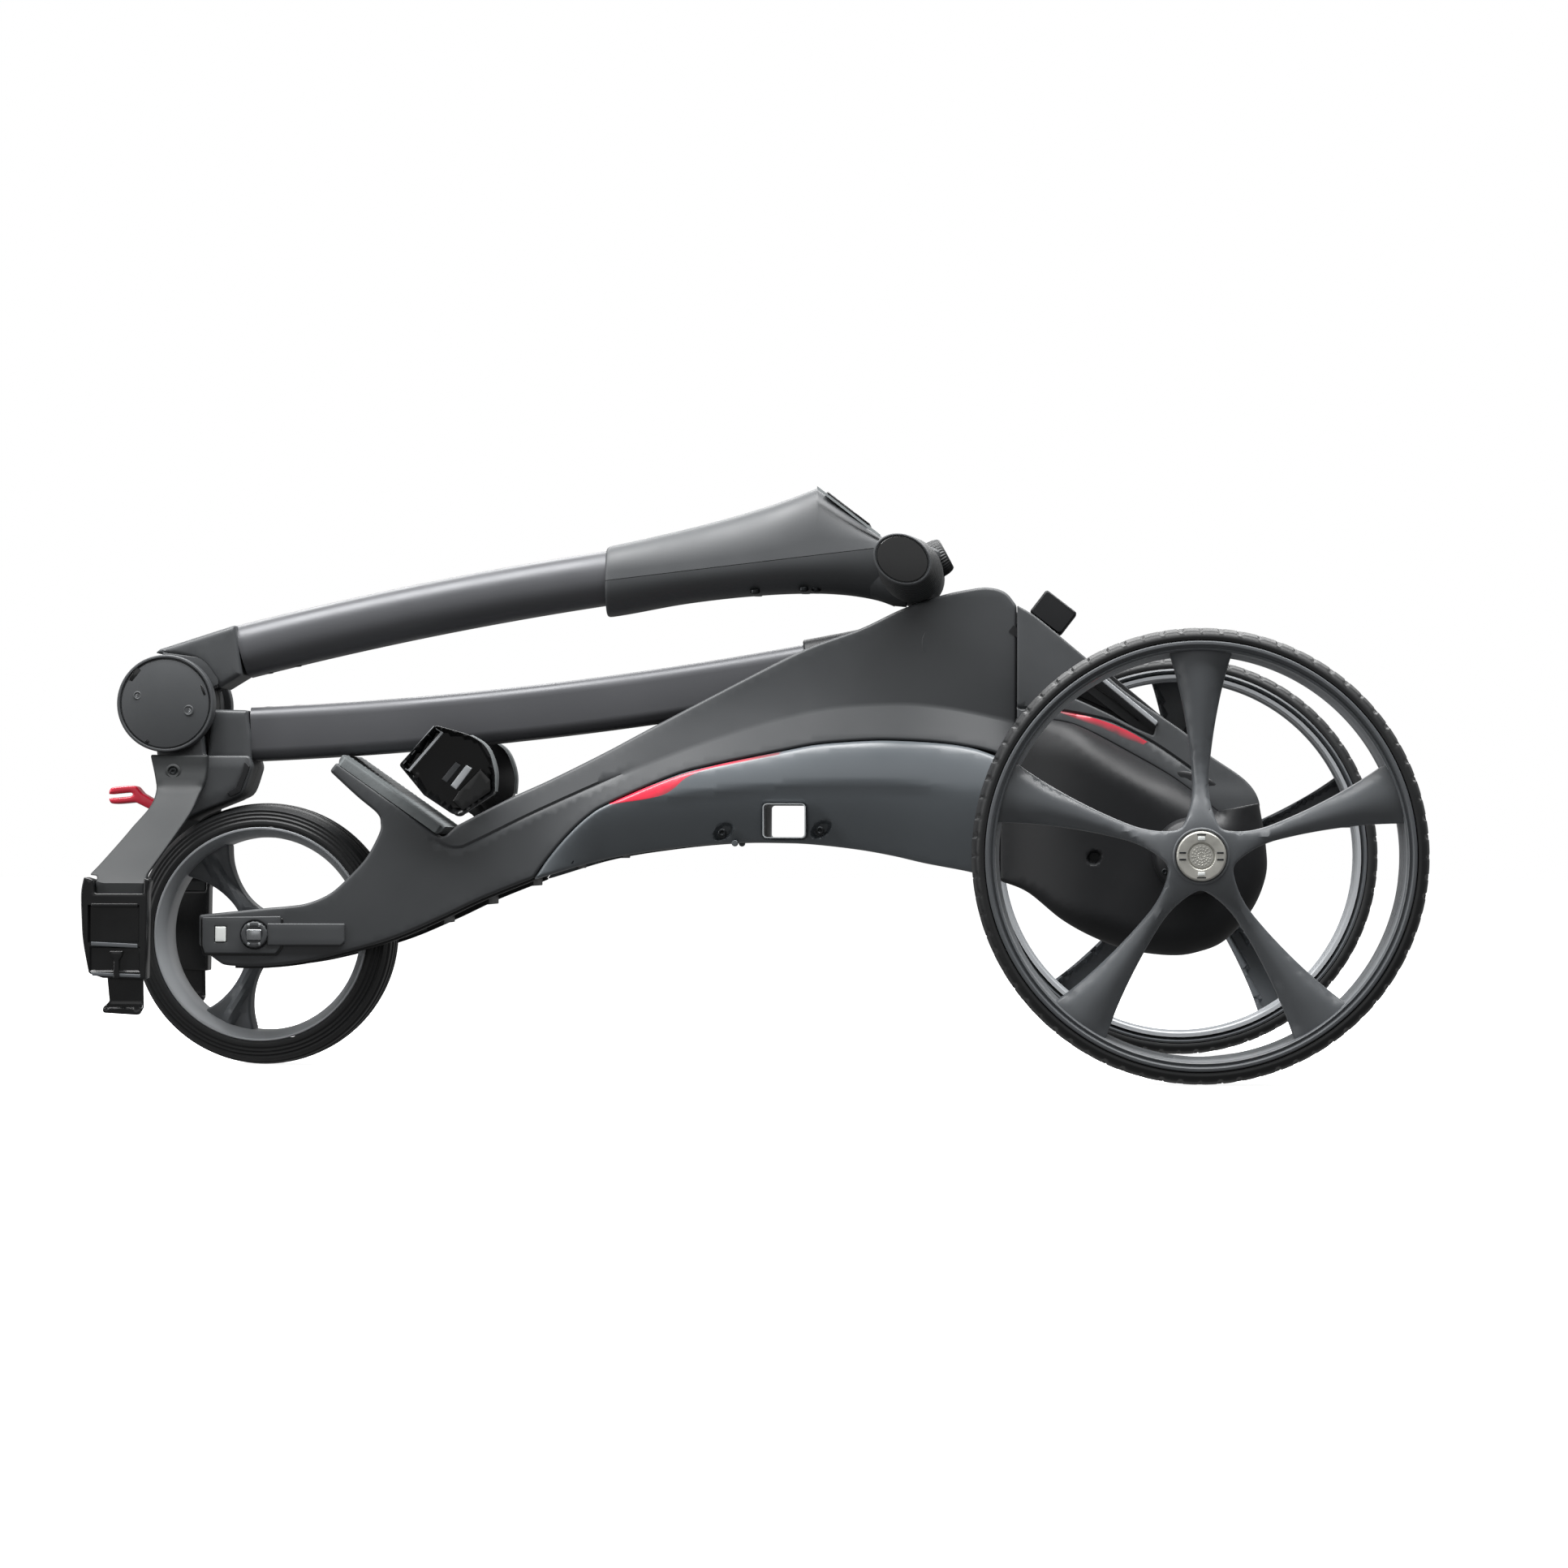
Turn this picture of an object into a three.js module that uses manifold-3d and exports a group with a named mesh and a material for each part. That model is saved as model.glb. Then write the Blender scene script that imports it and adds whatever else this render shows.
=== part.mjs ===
// Electric golf trolley, folded flat: millimetres, +Z up, +X towards the rear wheels.
// Everything is drawn about the rear axle (x = 0, z = 0) and the whole group is set on the
// ground at the end, with its origin under the middle of its bounding box.
// Left is -Y and right is +Y for someone who looks at the trolley from -Y.
import * as THREE from "three";
import { mergeVertices } from "three/addons/utils/BufferGeometryUtils.js";
import Module from "manifold-3d";

const wasm = await Module();
wasm.setup();

// ---------------------------------------------------------------- driving dimensions
const CLEARANCE = 0.4; // running and assembly gap between two pieces
const ROUND_STEPS = 40; // facets of a large round piece
const SMALL_STEPS = 16; // facets of a small round piece

const REAR_RADIUS = 142.5; // rear tyre, to the crown of the tread
const REAR_TRACK = 508; // between the middles of the two rear tyres
const REAR_TYRE_WIDTH = 60;
const REAR_TYRE_DEPTH = 8.5; // tread and sidewall, measured on the radius
const REAR_RIM_LIP = 5; // height of the rim's outer lip
const REAR_BARREL_DRAFT = 2.5; // the rim narrows by this towards its inner edge
const REAR_SPOKES = 5;
const REAR_HUB_RADIUS = 21;
const HUB_BUTTON_RADIUS = 15.6;
const HUB_BUTTON_TRAVEL = 3;
const HUB_OUTSTAND = 8; // hub nose beyond the tyre's outer face

const FRONT_RADIUS = 88.3;
const FRONT_TYRE_WIDTH = 66;
const FRONT_TYRE_DEPTH = 16;
const FRONT_BARREL_RADIUS = 65;
const FRONT_SPOKES = 3;
const FRONT_HUB_RADIUS = 16;
const WHEELBASE = 623;
const WHEEL_GAP = 4; // front tyre to the fork, the lip and the yoke
const FRONT_AXLE_RADIUS = 5;
const CROWN = 3.5; // the tread's middle stands this much over its shoulders

const SHELL_WALL = 12; // thickness of the side shells
const FORK_WALL = 20; // thickness of the two fork legs at the front wheel
const BODY_HALF_WIDTH = FRONT_TYRE_WIDTH / 2 + WHEEL_GAP + FORK_WALL; // outer face of the shells
const SPINE_INSET = 7; // the inner spine stays this far inside the shells' outline
const DRUM_RADIUS = 63; // motor housing
const DRUM_HALF_WIDTH = 78;
const DRUM_WALL = 4;
const AXLE_RADIUS = 6;
const AXLE_TUBE_RADIUS = 15;
const BEARING_WIDTH = 10;
const BEARING_RADIUS = 11;
const FLANGE_RADIUS = 25; // round flange where the axle tube leaves the motor housing
const FLANGE_REACH = 100;
const POCKET_WALL = 9; // walls round the hollows under the spine

const TUBE_HEIGHT = 36; // aluminium shaft section
const TUBE_WIDTH = 48;
const TUBE_WALL = 2.5;
const COLLAR_WALL = 3; // plastic collars stand this much proud of the tube
const PIVOT_PIN_RADIUS = 5;
const SLEEVE_RADIUS = 22; // rounded foot of the lower shaft, round its pivot pin
const HINGE_DISC_RADIUS = 32.7;
const KNUCKLE_RADIUS = 28.7;
const HINGE_DISC_THICKNESS = 15;
const KNUCKLE_OVERHANG = 9; // the hinge knuckles reach this far past the tube's side
const HINGE_HALF_WIDTH = TUBE_WIDTH / 2 + KNUCKLE_OVERHANG + HINGE_DISC_THICKNESS;
const HINGE_PIN_RADIUS = 6;

const ARM_SPLAY = 131; // middle of a bag-support arm's outer end, from the centre plane
const ARM_THICKNESS = 9;
const BRACKET_WIDTH = 18; // across Y
const STRAP_WIDTH = 20;
const STRAP_THICKNESS = 2.4;

const GRIP_HALF_LENGTH = 108;
const GRIP_MAJOR = 23; // half axes of the oval grip
const GRIP_MINOR = 20.4;
const GRIP_TILT = THREE.MathUtils.degToRad(-45);
const STEM_HALF_WIDTH = 27;
const DIAL_RADIUS = 13;
const DIAL_HEIGHT = 11;
const DIAL_PRESS = 1.5; // travel of the dial when it is pressed

const GEAR_TEETH = 30;
const PINION_TEETH = 10;
const GEAR_MODULE = 1.4;
const GEAR_WIDTH = 12;

// ---------------------------------------------------------------- places, about the rear axle
// Stations along X are drawn for a wheelbase of 623. A longer or shorter one stretches the
// chassis and the shafts ahead of the pivot, and moves what lies ahead of the front axle whole.
const DRAWN_WHEELBASE = 623;
const STRETCH_FROM = -254;
function station(x) {
  if (x >= STRETCH_FROM) return x;
  if (x <= -DRAWN_WHEELBASE) return x + DRAWN_WHEELBASE - WHEELBASE;
  const share = (WHEELBASE + STRETCH_FROM) / (DRAWN_WHEELBASE + STRETCH_FROM);
  return STRETCH_FROM + (x - STRETCH_FROM) * share;
}
const GROUND = -REAR_RADIUS;
const FRONT_AXLE = { x: -DRAWN_WHEELBASE, z: GROUND + FRONT_RADIUS };
const PIVOT = { x: -165, z: 142 }; // lower shaft on the chassis
const HINGE = { x: -686, z: 100.5 }; // between the two shafts
const GRIP = { x: -186.5, z: 167.8 + GRIP_MAJOR }; // clear of the arch below it
const WHEEL_TOP_UNDER_SHAFTS = 34.2; // highest wheel that fits under the level shafts
const NOTCH = { x: -494.7, z: 16 }; // where the bag base sits
const LIP_TIP = { x: -566, z: 67 };
const ARCH_FRONT = { x: -143, z: 178 };
const ARCH_REAR = { x: -115, z: 166.5 };
const TRAY_END = { x: 8, z: 72 };
const DRUM = { x: -13, z: -3 };

// ---------------------------------------------------------------- materials
const plain = (color, roughness, metalness = 0) =>
  new THREE.MeshStandardMaterial({ color, roughness, metalness });
const finish = {
  shell: plain(0x3f4244, 0.55),
  belly: plain(0x4b5058, 0.4),
  shaft: plain(0x4e5359, 0.35, 0.6),
  collar: plain(0x37393a, 0.55),
  black: plain(0x151617, 0.5),
  rubber: plain(0x1b1c1d, 0.85),
  wheel: plain(0x45494e, 0.45),
  steel: plain(0xb9bbb8, 0.3, 0.9),
  red: plain(0xc8203c, 0.4),
  glass: plain(0x0c0d10, 0.1),
  strap: plain(0x0f1011, 0.9),
  board: plain(0x1f5a3a, 0.6),
};

// ---------------------------------------------------------------- shape helpers
const trolley = new THREE.Group();
const foldedShafts = new THREE.Group();
trolley.add(foldedShafts);
let group = trolley; // the group that takes the next parts

// A closed mesh as a manifold-3d solid.
function solid(geometry) {
  const bare = (geometry.index ? geometry.toNonIndexed() : geometry.clone());
  bare.deleteAttribute("normal");
  bare.deleteAttribute("uv");
  const merged = mergeVertices(bare, 1e-3);
  return new wasm.Manifold(
    new wasm.Mesh({
      numProp: 3,
      vertProperties: merged.attributes.position.array,
      triVerts: new Uint32Array(merged.index.array),
    }),
  );
}

// A manifold-3d solid as a three.js geometry.
function geometryOf(made) {
  const mesh = made.getMesh();
  return new THREE.BufferGeometry()
    .setAttribute("position", new THREE.BufferAttribute(mesh.vertProperties, 3))
    .setIndex(new THREE.BufferAttribute(mesh.triVerts, 1));
}

const joined = (first, ...rest) => rest.reduce((a, b) => a.add(b), first);
const cut = (first, ...rest) => rest.reduce((a, b) => a.subtract(b), first);

function addPart(name, shape, material) {
  const geometry = shape.isBufferGeometry ? shape : geometryOf(shape);
  geometry.computeVertexNormals();
  const mesh = new THREE.Mesh(geometry, material);
  mesh.name = name;
  group.add(mesh);
}

// Adds one piece on the left (-Y) and its mirror image on the right.
function addPair(name, shapeOfSide, material) {
  for (const [word, side] of [["left", -1], ["right", 1]])
    addPart(`${name}_${word}`, shapeOfSide(side), material);
}

// An outline in the XZ plane, given as a THREE.Shape, made solid between two Y values.
function slab(shape, yLow, yHigh, curveSegments = 10) {
  const geometry = new THREE.ExtrudeGeometry(shape, {
    depth: yHigh - yLow, bevelEnabled: false, curveSegments,
  });
  geometry.rotateX(Math.PI / 2);
  geometry.translate(0, yHigh, 0);
  return geometry;
}

// The same, between two distances from the centre plane, on one side of it.
const sideSlab = (shape, side, near, far, curveSegments) =>
  side < 0 ? slab(shape, -far, -near, curveSegments) : slab(shape, near, far, curveSegments);

// Moves each vertex along Y by an amount that depends on its own X and Z.
function lean(geometry, offset) {
  const at = geometry.attributes.position;
  for (let i = 0; i < at.count; i++)
    at.setY(i, at.getY(i) + offset(at.getX(i), at.getZ(i)));
  return geometry;
}

// A straight round bar along Y.
function bar(x, z, radius, yLow, yHigh, steps = SMALL_STEPS) {
  const geometry = new THREE.CylinderGeometry(radius, radius, yHigh - yLow, steps);
  geometry.translate(station(x), (yLow + yHigh) / 2, z);
  return geometry;
}

const sideBar = (x, z, radius, side, near, far, steps) =>
  side < 0 ? bar(x, z, radius, -far, -near, steps) : bar(x, z, radius, near, far, steps);

function box(xLow, xHigh, yLow, yHigh, zLow, zHigh) {
  const length = station(xHigh) - station(xLow);
  const geometry = new THREE.BoxGeometry(length, yHigh - yLow, zHigh - zLow);
  geometry.translate(station(xLow) + length / 2, (yLow + yHigh) / 2, (zLow + zHigh) / 2);
  return geometry;
}

// A closed [radius, y] profile turned round the Y axis.
function turned(profile, x, z, steps = ROUND_STEPS) {
  const points = profile.map(([r, y]) => new THREE.Vector2(r, y));
  const geometry = new THREE.LatheGeometry(points, steps);
  geometry.translate(station(x), 0, z);
  return geometry;
}

const ring = (inner, outer, yLow, yHigh) =>
  [[inner, yLow], [outer, yLow], [outer, yHigh], [inner, yHigh], [inner, yLow]];

// A shape through points; a point with a third value is on a smooth stretch.
function outline(points) {
  const shape = new THREE.Shape();
  shape.moveTo(station(points[0][0]), points[0][1]);
  let smooth = [];
  points.slice(1).forEach(([x, z, soft]) => {
    smooth.push(new THREE.Vector2(station(x), z));
    if (soft) return;
    if (smooth.length > 1) shape.splineThru(smooth);
    else shape.lineTo(station(x), z);
    smooth = [];
  });
  return shape;
}

function roundedRectangle(width, height, radius) {
  const w = width / 2;
  const h = height / 2;
  const shape = new THREE.Shape();
  shape.moveTo(-w + radius, -h);
  shape.lineTo(w - radius, -h);
  shape.absarc(w - radius, -h + radius, radius, -Math.PI / 2, 0);
  shape.lineTo(w, h - radius);
  shape.absarc(w - radius, h - radius, radius, 0, Math.PI / 2);
  shape.lineTo(-w + radius, h);
  shape.absarc(-w + radius, h - radius, radius, Math.PI / 2, Math.PI);
  shape.lineTo(-w, -h + radius);
  shape.absarc(-w + radius, -h + radius, radius, Math.PI, 1.5 * Math.PI);
  return shape;
}

// A section swept along a curve that lies in the XZ plane.
function swept(section, curve, steps) {
  return new THREE.ExtrudeGeometry(section, {
    extrudePath: curve, steps, curveSegments: 2, bevelEnabled: false,
  });
}

// A gentle bow in the XZ plane: start point, slope there, and radius of the bow.
class Bow extends THREE.Curve {
  constructor(start, slope, bend, length) {
    super();
    Object.assign(this, { start, slope, bend, length });
  }
  heightAt(x) {
    const run = x - this.start.x;
    return this.start.z + this.slope * run + (run * run) / (2 * this.bend);
  }
  slopeAt(x) {
    return this.slope + (x - this.start.x) / this.bend;
  }
  getPoint(t, target = new THREE.Vector3()) {
    const x = this.start.x + t * this.length;
    return target.set(station(x), 0, this.heightAt(x));
  }
}

// ---------------------------------------------------------------- shafts' centre lines
const LOWER_TUBE_START = HINGE.x + 55;
const LOWER_TUBE_END = -254;
const lowerBow = (from, to) => {
  const whole = new Bow({ x: -631, z: 80.6 }, 0.045, 2700, 1);
  return new Bow({ x: from, z: whole.heightAt(from) }, whole.slopeAt(from), 2700, to - from);
};
const UPPER_TUBE_START = HINGE.x + 47;
const UPPER_TUBE_END = -352;
const upperBow = (from, to) => {
  const whole = new Bow({ x: -639, z: 136.8 }, 0.255, -2350, 1);
  return new Bow({ x: from, z: whole.heightAt(from) }, whole.slopeAt(from), -2350, to - from);
};

// ---------------------------------------------------------------- chassis outlines
// The fork, the lip that the bag stands on, and the arch above the belly's seam.
function sideFrameShape() {
  const f = FRONT_AXLE;
  return outline([
    [f.x - 37, f.z + 12.5],
    [f.x - 37, f.z - 7],
    [f.x - 27, f.z - 19.5],
    [f.x - 8, f.z - 21, true],
    [f.x + 35, f.z - 19, true],
    [-526, -54.5, true],
    [-471, -29.5, true],
    [-437, -16],
    [-413.7, 16, true],
    [-386, 34, true],
    [-317, 59.7, true],
    [-248, 73.5, true],
    [-197, 76, true],
    [-130, 69.7, true],
    [-113, 55],
    [ARCH_REAR.x - CLEARANCE, 112],
    [ARCH_REAR.x - CLEARANCE, ARCH_REAR.z],
    [-124, 175.5, true],
    [-134, ARCH_FRONT.z + 0.8, true],
    [ARCH_FRONT.x, ARCH_FRONT.z, true],
    [-167, 172.5, true],
    [-192, 163.5, true],
    [-219, 151, true],
    [-254, 138.9, true],
    [-354.5, 87.5, true],
    [-454, 36.9, true],
    [NOTCH.x + 4, NOTCH.z + 1.6],
    [NOTCH.x, NOTCH.z],
    [LIP_TIP.x + 3.5, LIP_TIP.z - 1.8],
    [LIP_TIP.x, LIP_TIP.z],
    [LIP_TIP.x - 8.3, LIP_TIP.z - 10.7],
    [-555, 38.4, true],
    [-542, 27.6, true],
    [-539.5, 20, true],
    [-549, -2, true],
    [f.x + 62.7, f.z + 38.7, true],
    [f.x + 35.7, f.z + 20.6, true],
    [f.x + 8.4, f.z + 17.9],
  ]);
}

// The rounded lower shell, from its point at the front to the motor housing.
function bellyShape() {
  const g = CLEARANCE;
  return outline([
    [-436, -15.4 - g],
    [-390, -3.4, true],
    [-345, 3.9, true],
    [-290, 7.9, true],
    [-251, 6.9, true],
    [-197, -0.6, true],
    [-146, -11.1, true],
    [-107.6, -24.5, true],
    [-90, -39],
    [-72, 8],
    [-67.6, 31.4],
    [-97, 45 - g, true],
    [-113 - g, 55 - 2 * g, true],
    [-130, 69.7 - 2 * g, true],
    [-197, 76 - 2 * g, true],
    [-248, 73.5 - 2 * g, true],
    [-317, 59.7 - 2 * g, true],
    [-386, 34 - 2 * g, true],
    [-413, 15, true],
    [-435, -14],
  ]);
}

// The rear part of the chassis side, from the arch down to the back of the motor housing.
function rearCoverShape() {
  return outline([
    [ARCH_REAR.x, ARCH_REAR.z],
    [ARCH_REAR.x, 112],
    [-112.5, 88],
    [-98.5, 84.9, true],
    [-72.7, 74.8, true],
    [-47.8, 62.2, true],
    [-25.6, 45.9, true],
    [-6, 22],
    [34, 22],
    [46.5, 22],
    [45.3, 36.8, true],
    [36.3, 52, true],
    [TRAY_END.x, TRAY_END.z],
  ]);
}

function sideVentShape() {
  return outline([
    [-61.6, 117.8], [-80, 106.7], [-66.5, 98.7, true], [-48, 90.6, true], [-24.5, 79.6],
    [-20.8, 85.8],
  ]);
}

// Inner beam between the two sides, below the tunnel that the lower shaft folds into.
function spineShape() {
  const floorUnderShaft = (x) => lowerBow(x, x + 1).heightAt(x) - TUBE_HEIGHT / 2 - COLLAR_WALL - 4;
  const floorUnderPivot = PIVOT.z - 4 - Math.max(SLEEVE_RADIUS,
    TUBE_HEIGHT / 2 + COLLAR_WALL + CLEARANCE);
  return outline([
    [-514, -41],
    [-471, -29.5 + SPINE_INSET, true],
    [-390, -3.4 + SPINE_INSET, true],
    [-290, 8 + SPINE_INSET, true],
    [-197, -0.6 + SPINE_INSET, true],
    [-107.6, -24 + SPINE_INSET, true],
    [-80, -30],
    [-80, 100],
    [-104, 116],
    [PIVOT.x + SLEEVE_RADIUS + 4, floorUnderPivot],
    [PIVOT.x - 12, floorUnderPivot],
    [-254, floorUnderShaft(-254), true],
    [-354, floorUnderShaft(-354) - 8, true],
    [-454, 36.9 - SPINE_INSET, true],
    [NOTCH.x + 3, NOTCH.z - SPINE_INSET],
    [-514, 5],
  ]);
}

// ---------------------------------------------------------------- chassis pieces
const SHELL_INNER = BODY_HALF_WIDTH - SHELL_WALL;
const SPINE_HALF = SHELL_INNER - CLEARANCE;
const WINDOW = { xLow: -283.8, xHigh: -255.5, zLow: 11.4, zHigh: 34 };

function addSideFrames() {
  addPair("side_frame", (side) => {
    const plate = solid(sideSlab(sideFrameShape(), side, SHELL_INNER, BODY_HALF_WIDTH, 3));
    const legInner = BODY_HALF_WIDTH - FORK_WALL;
    const leg = solid(sideSlab(outline([
      [FRONT_AXLE.x - 34, FRONT_AXLE.z + 9],
      [FRONT_AXLE.x - 34, FRONT_AXLE.z - 7],
      [FRONT_AXLE.x - 24, FRONT_AXLE.z - 16],
      [FRONT_AXLE.x + 40, FRONT_AXLE.z - 15],
      [-520, -46],
      [-519, 10],
      [FRONT_AXLE.x + 62, FRONT_AXLE.z + 32],
      [FRONT_AXLE.x + 8, FRONT_AXLE.z + 14],
    ]), side, legInner, SHELL_INNER + 1));
    const boss = solid(sideBar(PIVOT.x, PIVOT.z, 14, side, TUBE_WIDTH / 2 + 8, SHELL_INNER + 1));
    const pinHole = solid(
      bar(PIVOT.x, PIVOT.z, PIVOT_PIN_RADIUS + CLEARANCE, -BODY_HALF_WIDTH + 4, BODY_HALF_WIDTH - 4),
    );
    const axleHole = solid(
      bar(FRONT_AXLE.x, FRONT_AXLE.z, FRONT_AXLE_RADIUS + CLEARANCE, -80, 80),
    );
    const scaleSlot = solid(box(
      FRONT_AXLE.x - 25, FRONT_AXLE.x - 20, -80, 80, FRONT_AXLE.z - 4.8, FRONT_AXLE.z + 4.8,
    ));
    return cut(joined(plate, leg, boss), pinHole, axleHole, scaleSlot);
  }, finish.shell);
}

function addBellyShells() {
  const window = solid(
    box(WINDOW.xLow, WINDOW.xHigh, -BODY_HALF_WIDTH - 5, BODY_HALF_WIDTH + 5, WINDOW.zLow, WINDOW.zHigh),
  );
  addPair("belly_shell", (side) =>
    cut(solid(sideSlab(bellyShape(), side, SHELL_INNER, BODY_HALF_WIDTH, 3)), window, drumRoom()),
  finish.belly);
  // Two hollows, open below, on either side of the window.
  const half = SPINE_HALF - POCKET_WALL;
  const frontHollow = outline([
    [-470, -60], [-297, -40], [-297, 58], [-354, 36], [-420, 8], [-470, -12],
  ]);
  const rearHollow = outline([
    [-243, -50], [-104, -50], [-104, 98], [-128, 104], [-185, 98], [-243, 82],
  ]);
  addPart("chassis_spine", cut(
    solid(slab(spineShape(), -SPINE_HALF, SPINE_HALF, 3)),
    window,
    solid(slab(frontHollow, -half, half)),
    solid(slab(rearHollow, -half, half)),
    drumRoom(),
    wheelRoom(),
  ), finish.black);
  addPart("service_cover", slab(outline([
    [-242, 12], [-197, 7, true], [-150, -2, true], [-105, -14], [-105, -17],
    [-150, -5, true], [-197, 4, true], [-242, 9],
  ]), -half + CLEARANCE, half - CLEARANCE, 3), finish.black);
  addPart("controller_board", box(-232, -150, -30, 30, 50, 58), finish.board);
}

const drumRoom = () =>
  solid(bar(DRUM.x, DRUM.z, DRUM_RADIUS + CLEARANCE, -100, 100, ROUND_STEPS));
const wheelRoom = () => solid(bar(FRONT_AXLE.x, FRONT_AXLE.z, FRONT_RADIUS + WHEEL_GAP * 0.8,
  -FRONT_TYRE_WIDTH / 2 - WHEEL_GAP, FRONT_TYRE_WIDTH / 2 + WHEEL_GAP, ROUND_STEPS));
const shaftRoom = () =>
  solid(swept(tubeSection(WHEEL_GAP / 2), lowerBow(LOWER_TUBE_START, LOWER_TUBE_END), 6));
const neckSection = (grow) => roundedRectangle(
  TUBE_WIDTH + 2 * (COLLAR_WALL + grow), TUBE_HEIGHT - 1 + 2 * grow, 10 + grow);
const neckRoom = () => solid(swept(neckSection(CLEARANCE),
  lowerBow(HINGE.x + 30, LOWER_TUBE_START + 3), 1));

function addRearCovers() {
  addPair("rear_cover", (side) => cut(
    solid(sideSlab(rearCoverShape(), side, SHELL_INNER, BODY_HALF_WIDTH, 3)),
    solid(sideSlab(sideVentShape(), side, SHELL_INNER - 1, BODY_HALF_WIDTH + 1, 3)),
    drumRoom(),
  ), finish.shell);
  // The sloping floor that the battery sits on, between the two covers.
  const along = { x: TRAY_END.x - ARCH_REAR.x, z: TRAY_END.z - ARCH_REAR.z };
  const run = Math.hypot(along.x, along.z);
  const point = (distance, depth) => [
    ARCH_REAR.x + (along.x * distance + along.z * depth) / run,
    ARCH_REAR.z + (along.z * distance - along.x * depth) / run,
  ];
  addPart("battery_tray", cut(
    solid(slab(outline([
      point(6, 12), point(run - 8, 12), point(run - 8, 6), point(run - 4, 6), point(run - 4, 17),
      point(6, 17),
    ]), -SPINE_HALF, SPINE_HALF)),
    solid(slab(outline([
      point(LATCH_START - 2, 0), point(LATCH_START + LATCH_LENGTH + LATCH_TRAVEL + 2, 0),
      point(LATCH_START + LATCH_LENGTH + LATCH_TRAVEL + 2, 40), point(LATCH_START - 2, 40),
    ]), -LATCH_HALF_WIDTH - 1, LATCH_HALF_WIDTH + 1)),
    drumRoom(),
  ), finish.black);
  addPart("frame_latch", joined(
    solid(slab(outline([
      point(LATCH_START, 20), point(LATCH_START, -LATCH_HEIGHT),
      point(LATCH_START + LATCH_LENGTH, -LATCH_HEIGHT), point(LATCH_START + LATCH_LENGTH, 20),
    ]), -LATCH_HALF_WIDTH, LATCH_HALF_WIDTH)),
  ), finish.black);
}
const LATCH_START = 10;
const LATCH_LENGTH = 25.5;
const LATCH_HEIGHT = 18;
const LATCH_TRAVEL = 8;
const LATCH_HALF_WIDTH = 15;

function addMotor() {
  const hollow = (radius, halfWidth) =>
    solid(bar(DRUM.x, DRUM.z, radius, -halfWidth, halfWidth, ROUND_STEPS));
  const hole = (radius, y) => solid(bar(0, 0, radius, -y, y));
  const tubeEnd = REAR_TRACK / 2 - REAR_TYRE_WIDTH / 2 - 8;
  const drum = cut(
    joined(hollow(DRUM_RADIUS, DRUM_HALF_WIDTH), hole(FLANGE_RADIUS, FLANGE_REACH),
      hole(AXLE_TUBE_RADIUS, tubeEnd)),
    hollow(DRUM_RADIUS - DRUM_WALL, DRUM_HALF_WIDTH - DRUM_WALL),
    hole(BEARING_RADIUS + CLEARANCE, tubeEnd + 1),
  );
  addPart("motor_housing", drum, finish.black);
  addPart("motor_can", bar(
    DRUM.x - 26, DRUM.z, 24, -DRUM_HALF_WIDTH + DRUM_WALL + 26, DRUM_HALF_WIDTH - DRUM_WALL - 6, 32,
  ), finish.steel);
  addPair("axle_bearing", (side) => solid(turned(
    ring(AXLE_RADIUS + CLEARANCE, BEARING_RADIUS,
      side < 0 ? -tubeEnd : tubeEnd - BEARING_WIDTH, side < 0 ? -tubeEnd + BEARING_WIDTH : tubeEnd),
    0, 0, SMALL_STEPS)), finish.steel);
}

// A spur gear with straight-sided teeth, turned by a share of one tooth.
function gear(teeth, x, z, yLow, yHigh, boreRadius, phase) {
  const pitch = (teeth * GEAR_MODULE) / 2;
  const shape = new THREE.Shape();
  for (let i = 0; i < teeth; i++)
    for (const [share, radius] of [
      [-0.3, pitch - 1.2 * GEAR_MODULE], [-0.1, pitch + 0.8 * GEAR_MODULE],
      [0.1, pitch + 0.8 * GEAR_MODULE], [0.3, pitch - 1.2 * GEAR_MODULE],
    ]) {
      const angle = ((i + phase + share) / teeth) * 2 * Math.PI;
      const place = [x + radius * Math.cos(angle), z + radius * Math.sin(angle)];
      if (i === 0 && share === -0.3) shape.moveTo(...place);
      else shape.lineTo(...place);
    }
  const bore = new THREE.Path();
  bore.absarc(x, z, boreRadius, 0, 2 * Math.PI, true);
  shape.holes.push(bore);
  return slab(shape, yLow, yHigh, 6);
}

function addDrive() {
  const end = REAR_TRACK / 2 + REAR_TYRE_WIDTH / 2 - 9;
  addPart("drive_axle", bar(0, 0, AXLE_RADIUS, -end, end), finish.steel);
  const yLow = -DRUM_HALF_WIDTH + DRUM_WALL + 6;
  addPart("drive_gear",
    gear(GEAR_TEETH, 0, 0, yLow, yLow + GEAR_WIDTH, AXLE_RADIUS + CLEARANCE, 0), finish.steel);
  const centres = ((GEAR_TEETH + PINION_TEETH) * GEAR_MODULE) / 2 + 0.3;
  addPart("motor_pinion",
    gear(PINION_TEETH, -centres, 0, yLow, yLow + GEAR_WIDTH, 2.5, 0.5), finish.steel);
}

// ---------------------------------------------------------------- wheels
function tyreProfile(radius, width, depth) {
  const w = width / 2;
  return [
    [radius - depth, -w], [radius - CROWN - 2, -w], [radius - CROWN * 0.6, -w * 0.8],
    [radius, -w * 0.15], [radius, w * 0.15], [radius - CROWN * 0.6, w * 0.8],
    [radius - CROWN - 2, w], [radius - depth, w], [radius - depth, -w],
  ];
}

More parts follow.
